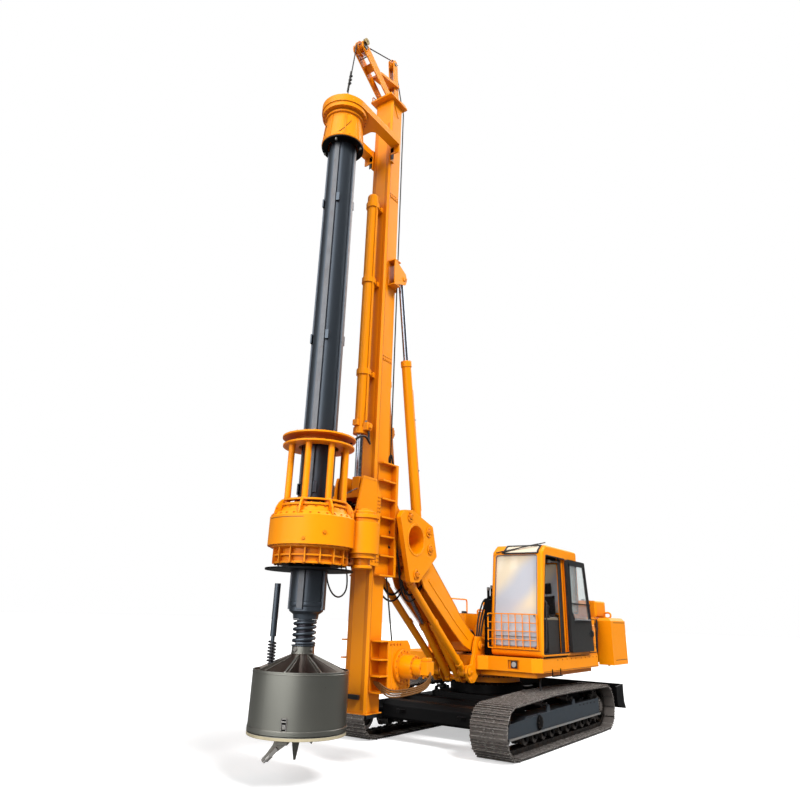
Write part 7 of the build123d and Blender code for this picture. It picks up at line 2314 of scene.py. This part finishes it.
    def bucket_details(self) -> None:
        """Rim bands, rib welds, latch, push-rod spring, grease cap and hinge trim of the bucket."""
        x = self.axis
        beads = []
        for index in range(8):
            turned_by = 45 * index + 22.5
            for side in (-1, 1):
                beads.append(weld((0.17, side * 0.012, 1.455), (0.55, side * 0.012, 1.272), 0.006).turned("z",
                        turned_by).moved((x, 0, 0)))
        beads += [belted(circle(0.006, 6), ring_of(110, r, (x, 0, z)), (0, 0, 1)) for r, z in
                  ((0.634, 0.651), (0.632, 1.271), (0.134, 1.262), (0.154, 1.492))]
        make_piece("bucket_welds", Body.KELLY, beads, BUCKET_GREY)
        frame_bars = [slab((0.633, -0.036, 0.655), (0.645, -0.026, 0.8)),
                      slab((0.633, 0.026, 0.655), (0.645, 0.036, 0.8)),
                      slab((0.633, -0.036, 0.785), (0.645, 0.036, 0.8)),
                      slab((0.618, -0.02, 0.68), (0.64, 0.02, 0.73)),
                      rod((0.645, -0.03, 0.76), (0.645, 0.03, 0.76), 0.009, 12)]
        latch = [s.turned("z", 28).moved((x, 0, 0)) for s in frame_bars]
        make_piece("gate_latch", Body.KELLY, latch, BARE_STEEL, bevel=0.002)
        a = math.radians(-55)
        px, py = x + 0.42 * math.cos(a), 0.42 * math.sin(a)
        angle = np.linspace(0, 2 * np.pi * 7, 150)
        coil = np.stack(
            [px + 0.048 * np.cos(angle), py + 0.048 * np.sin(angle), 1.36 + 0.27 * angle / angle[-1]], axis=1)
        make_piece("push_rod_spring", Body.KELLY, [carried(circle(0.011, 8), coil, (0, 0, 1))], BLACK_PLASTIC)
        red = [lathe([(0, 0.018), (0.024, 0.016), (0.03, 0), (0, 0)], 20, False).moved((x + 0.2, 0.5, 1.272))]
        make_piece("grease_cap", Body.KELLY, red, RED_PAINT)
        caps = [rod((4.612, y, 0.572), (4.612, y + s * 0.012, 0.572), 0.028, 20)
                for y, s in ((0.0905, 1), (-0.0905, -1))]
        make_piece("gate_pin_caps", Body.KELLY, caps, BARE_STEEL)

    def teeth(self) -> None:
        """Tooth tips, holders' retaining pins, pilot cutters and the gate's worn edge."""
        x = self.axis
        tips, pins, plates = [], [], []
        low = self.gate_low
        for radii, start, tip, foot, turned_by in (
            ((0.19, 0.3, 0.41, 0.52), (-0.3, -0.232), (-0.325, -0.215), (-0.2, -0.15), self.cutter),
            ((0.19, 0.33, 0.47), (-0.18, -0.14), (-0.2, -0.12), (-0.12, -0.09), self.cutter + 180),
        ):
            for radius in radii:
                wedge = [(tip[0] + 0.012, low + tip[1] + 0.03), (tip[0] - 0.004, low + tip[1] + 0.004),
                         (start[0] - 0.006, low + start[1] - 0.006), (start[0] + 0.03, low + start[1] + 0.02)]
                body = prism(wedge, radius - 0.029, radius + 0.029, "x")
                tips.append(body.turned("z", turned_by).moved((x, 0, 0)))
                middle = (foot[0] * 0.8, low + foot[1] * 0.6)
                pin = rod((radius - 0.031, *middle), (radius + 0.031, *middle), 0.011, 12)
                pins.append(pin.turned("z", turned_by).moved((x, 0, 0)))
        make_piece("tooth_tips", Body.GATE, tips, BARE_STEEL, bevel=0.002)
        make_piece("tooth_pins", Body.GATE, pins, DARK_STEEL)
        holder = [prism([(-0.13, low - 0.1), (-0.16, low - 0.07), (-0.235, low - 0.15), (-0.205, low - 0.18)],
                        0.518, 0.58, "x"),
                  rod((0.549, -0.21, low - 0.155), (0.549, -0.27, low - 0.212), 0.028, 16),
                  rod((0.549, -0.255, low - 0.2), (0.549, -0.295, low - 0.238), 0.013, 10)]
        make_piece("pick_holder", Body.GATE, [h.turned("z", self.cutter).moved((x, 0, 0)) for h in holder],
                   BARE_STEEL, bevel=0.004)
        pilot = []
        for index in range(2):
            fin = prism([(0.012, 0.27), (0.055, 0.5), (0.075, 0.53), (0.075, 0.545), (0.02, 0.545)], -0.011,
                        0.011, "y")
            pilot.append(fin.turned("z", 180 * index + 80).moved((x, 0, 0)))
        make_piece("pilot_fins", Body.GATE, pilot, BARE_STEEL, bevel=0.002)
        edge = lathe(
            [(0.6365, low - 0.001), (0.6388, low + 0.001), (0.6388, low + 0.033), (0.6365, low + 0.036)],
            96).moved((x, 0, 0))
        plates.append(edge)
        make_piece("gate_worn_edge", Body.GATE, plates, WORN_EDGE)


# ---- the fixed frame's own finishes, the camera and the light ------------------------------------


FRAME_FINISHES: dict[Finish, tuple[str, ...]] = {
    ORANGE: ("deck", "machinery_housing", "engine_hood", "counterweight", "cab_shell", "boom", "lower_links",
             "triangle_frame", "boom_cylinder_barrels", "mast_cylinder_barrels", "mast_column", "mast_cradle",
             "cylinder_bracket", "mast_head", "head_sheaves", "crowd_barrel", "winch_frame", "winch_motor",
             "drive_carriage", "gear_case", "drive_motors", "drive_cage", "kelly_guide", "window_guard",
             "slew_ring"),
    DARK_PAINT: ("centre_frame", "front_guard_beam", "rear_blade", "valve_block", "drive_sleeve",
                 "winch_drum"),
    FRAME_GREY: ("track_frame_left", "track_frame_right"),
    KELLY_GREY: ("kelly_bar", "kelly_spring", "push_rod"),
    BUCKET_GREY: ("bucket", "bucket_gate"),
    DOOR_GREY: ("cab_door",),
    TRACK_STEEL: ("track_left", "track_right", "idler_left", "idler_right", "sprocket_left", "sprocket_right",
                  "rollers_left", "rollers_right"),
    DARK_STEEL: ("engine_block",),
    ROD_CHROME: ("boom_cylinder_rods", "mast_cylinder_rods", "crowd_rod"),
    SCREEN_PAINTED_REFLECTION: ("cab_glass",),
    SEAT_CLOTH: ("operator_seat",),
    DARK_TRIM: ("control_console",),
}


def dress_frame() -> None:
    """Gives every node of the fixed frame its finish."""
    for finish, nodes in FRAME_FINISHES.items():
        for node in nodes:
            slots = frame["nodes"][node].data.materials
            slots.clear()
            slots.append(finish.material())
            LOG.info("%s: %s", node, finish.name)


@dataclass
class Studio:
    """Camera, lamps, floor and backdrop.

    Fields:
        eye: Camera's place, from the slew axis.
        yaw, pitch, roll: Its direction and tilt, in degrees.
        lens: Focal length in millimetres on a 36 mm sensor.
        shift: Sideways and upward shift of the frame.
        suns: Rows of yaw, height above the horizon, strength and angular width, all angles in degrees.
        air: Strength of the even light from all round.
        panel: Yaw of the tall bright panel that metal and paint mirror, in degrees.
    """

    eye: Place = (12.32, 6.425, 1.996)
    yaw: float = -144.996
    pitch: float = 21.346
    roll: float = 1.830
    lens: float = 28.88
    shift: Pair = (-0.0039, -0.0434)
    suns: tuple[tuple[float, float, float, float], ...] = ((74.0, 48.0, 3.7, 20.0), (4.0, 22.0, 2.35, 36.0))
    air: float = 0.26
    panel: float = -4.0

    def build(self) -> None:
        """Puts up the camera, the lamps, the world and the floor."""
        self.place_camera()
        for index, row in enumerate(self.suns):
            self.place_sun(f"sun_{index}", *row)
        self.light_world()
        self.lay_floor()
        bpy.context.scene.view_settings.view_transform = "Standard"

    def place_camera(self) -> None:
        """Camera whose right, up and backward directions are the columns of its rotation."""
        yaw, pitch, roll = (math.radians(a) for a in (self.yaw, self.pitch, self.roll))
        ahead = np.array([math.cos(yaw) * math.cos(pitch), math.sin(yaw) * math.cos(pitch), math.sin(pitch)])
        level = np.array([math.sin(yaw), -math.cos(yaw), 0.0])
        up = np.cross(level, ahead)
        right = math.cos(roll) * level + math.sin(roll) * up
        top = math.cos(roll) * up - math.sin(roll) * level
        matrix = np.eye(4)
        matrix[:3, 0], matrix[:3, 1], matrix[:3, 2] = right, top, -ahead
        matrix[:3, 3] = np.array(self.eye) + (SLEW_X, 0, 0)
        data = bpy.data.cameras.new("camera")
        data.lens, data.sensor_width = self.lens, 36.0
        data.shift_x, data.shift_y = self.shift
        data.clip_end = 400.0
        camera = bpy.data.objects.new("camera", data)
        camera.matrix_world = matrix.T.tolist()
        bpy.context.scene.collection.objects.link(camera)
        bpy.context.scene.camera = camera

    def place_sun(self, name: str, yaw: float, height: float, strength: float, width: float) -> None:
        """Soft sun lamp that shines from a yaw and a height above the horizon."""
        data = bpy.data.lights.new(name, "SUN")
        data.energy, data.angle = strength, math.radians(width)
        lamp = bpy.data.objects.new(name, data)
        lamp.rotation_euler = (math.radians(90 - height), 0, math.radians(yaw + 90))
        lamp.visible_glossy = False
        bpy.context.scene.collection.objects.link(lamp)

    def light_world(self) -> None:
        """Even light all round, brighter overhead. The camera and glass see it as white.

        What mirrors: base + panel * rise of the direction's cosine to the panel + a share from overhead.
        """
        world = bpy.data.worlds.new("studio")
        bpy.context.scene.world = world
        world.use_nodes = True
        graph = Graph(world.node_tree)
        sight = graph.add("ShaderNodeLightPath").outputs
        plain = graph.math("MAXIMUM", sight["Is Camera Ray"], sight["Is Transmission Ray"])
        direction = graph.add("ShaderNodeTexCoord").outputs["Generated"]
        rise = graph.add("ShaderNodeSeparateXYZ", {0: direction}).outputs[2]
        sky = graph.blend(graph.step(rise, -0.2, 0.9), self.air * 0.8, self.air * 1.2)
        level = graph.add("ShaderNodeVectorMath", {0: graph.stretch(direction, (1, 1, 0))},
                          operation="NORMALIZE").outputs[0]
        yaw = math.radians(self.panel)
        facing_panel = graph.add("ShaderNodeVectorMath", {0: level, 1: (math.cos(yaw), math.sin(yaw), 0)},
                                 operation="DOT_PRODUCT").outputs["Value"]
        panel = graph.math("MULTIPLY", graph.step(facing_panel, 0.6, 0.985), 3.0)
        behind = graph.math("MULTIPLY", graph.step(facing_panel, -0.78, -0.93), graph.step(rise, 0.18, 0.5))
        overhead = graph.math("MULTIPLY", graph.step(rise, 0.55, 0.95), 0.6)
        shine = graph.math("ADD", graph.math("MULTIPLY", behind, 3.5), graph.math("ADD", overhead, 0.1))
        shine = graph.math("ADD", shine, panel)
        strength = graph.blend(plain, graph.blend(sight["Is Glossy Ray"], sky, shine), 1.0)
        background = world.node_tree.nodes["Background"]
        background.inputs["Color"].default_value = (1, 1, 1, 1)
        graph.put(background.inputs["Strength"], strength)

    def lay_floor(self) -> None:
        """Pale floor that keeps the object's shadow and meets the white backdrop without a line."""
        reach = 150.0
        mesh = bpy.data.meshes.new("floor")
        corners = [(-reach, -reach, 0), (reach, -reach, 0), (reach, reach, 0), (-reach, reach, 0)]
        mesh.from_pydata(corners, [], [(0, 1, 2, 3)])
        floor = bpy.data.objects.new("floor", mesh)
        bpy.context.scene.collection.objects.link(floor)
        material = bpy.data.materials.new("pale_floor")
        material.use_nodes = True
        graph = Graph(material.node_tree)
        shader = material.node_tree.nodes["Principled BSDF"]
        sight = graph.add("ShaderNodeLightPath").outputs
        tone = graph.blend(sight["Is Camera Ray"], graph.blend(sight["Is Glossy Ray"], 0.3, 0.08), 0.66)
        graph.put(shader.inputs["Base Color"],
                  graph.add("ShaderNodeCombineColor", {0: tone, 1: tone, 2: tone}).outputs[0])
        shader.inputs["Roughness"].default_value = 0.9
        shader.inputs["Emission Color"].default_value = (1, 1, 1, 1)
        lit = graph.math("MULTIPLY", sight["Is Camera Ray"], 0.5)
        graph.put(shader.inputs["Emission Strength"], lit)
        mesh.materials.append(material)


def main() -> None:
    """Builds the studio, the finishes and every sub-assembly in order."""
    logging.basicConfig(level=logging.INFO, format="%(name)s %(message)s")
    build_effects()
    Studio().build()
    dress_frame()
    for assembly in (Undercarriage(), UpperStructure(), Cab(), BoomLinkage(), Mast(), RotaryDrive(),
                     KellyAndBucket()):
        assembly.build()


if __name__ == "__main__":
    main()
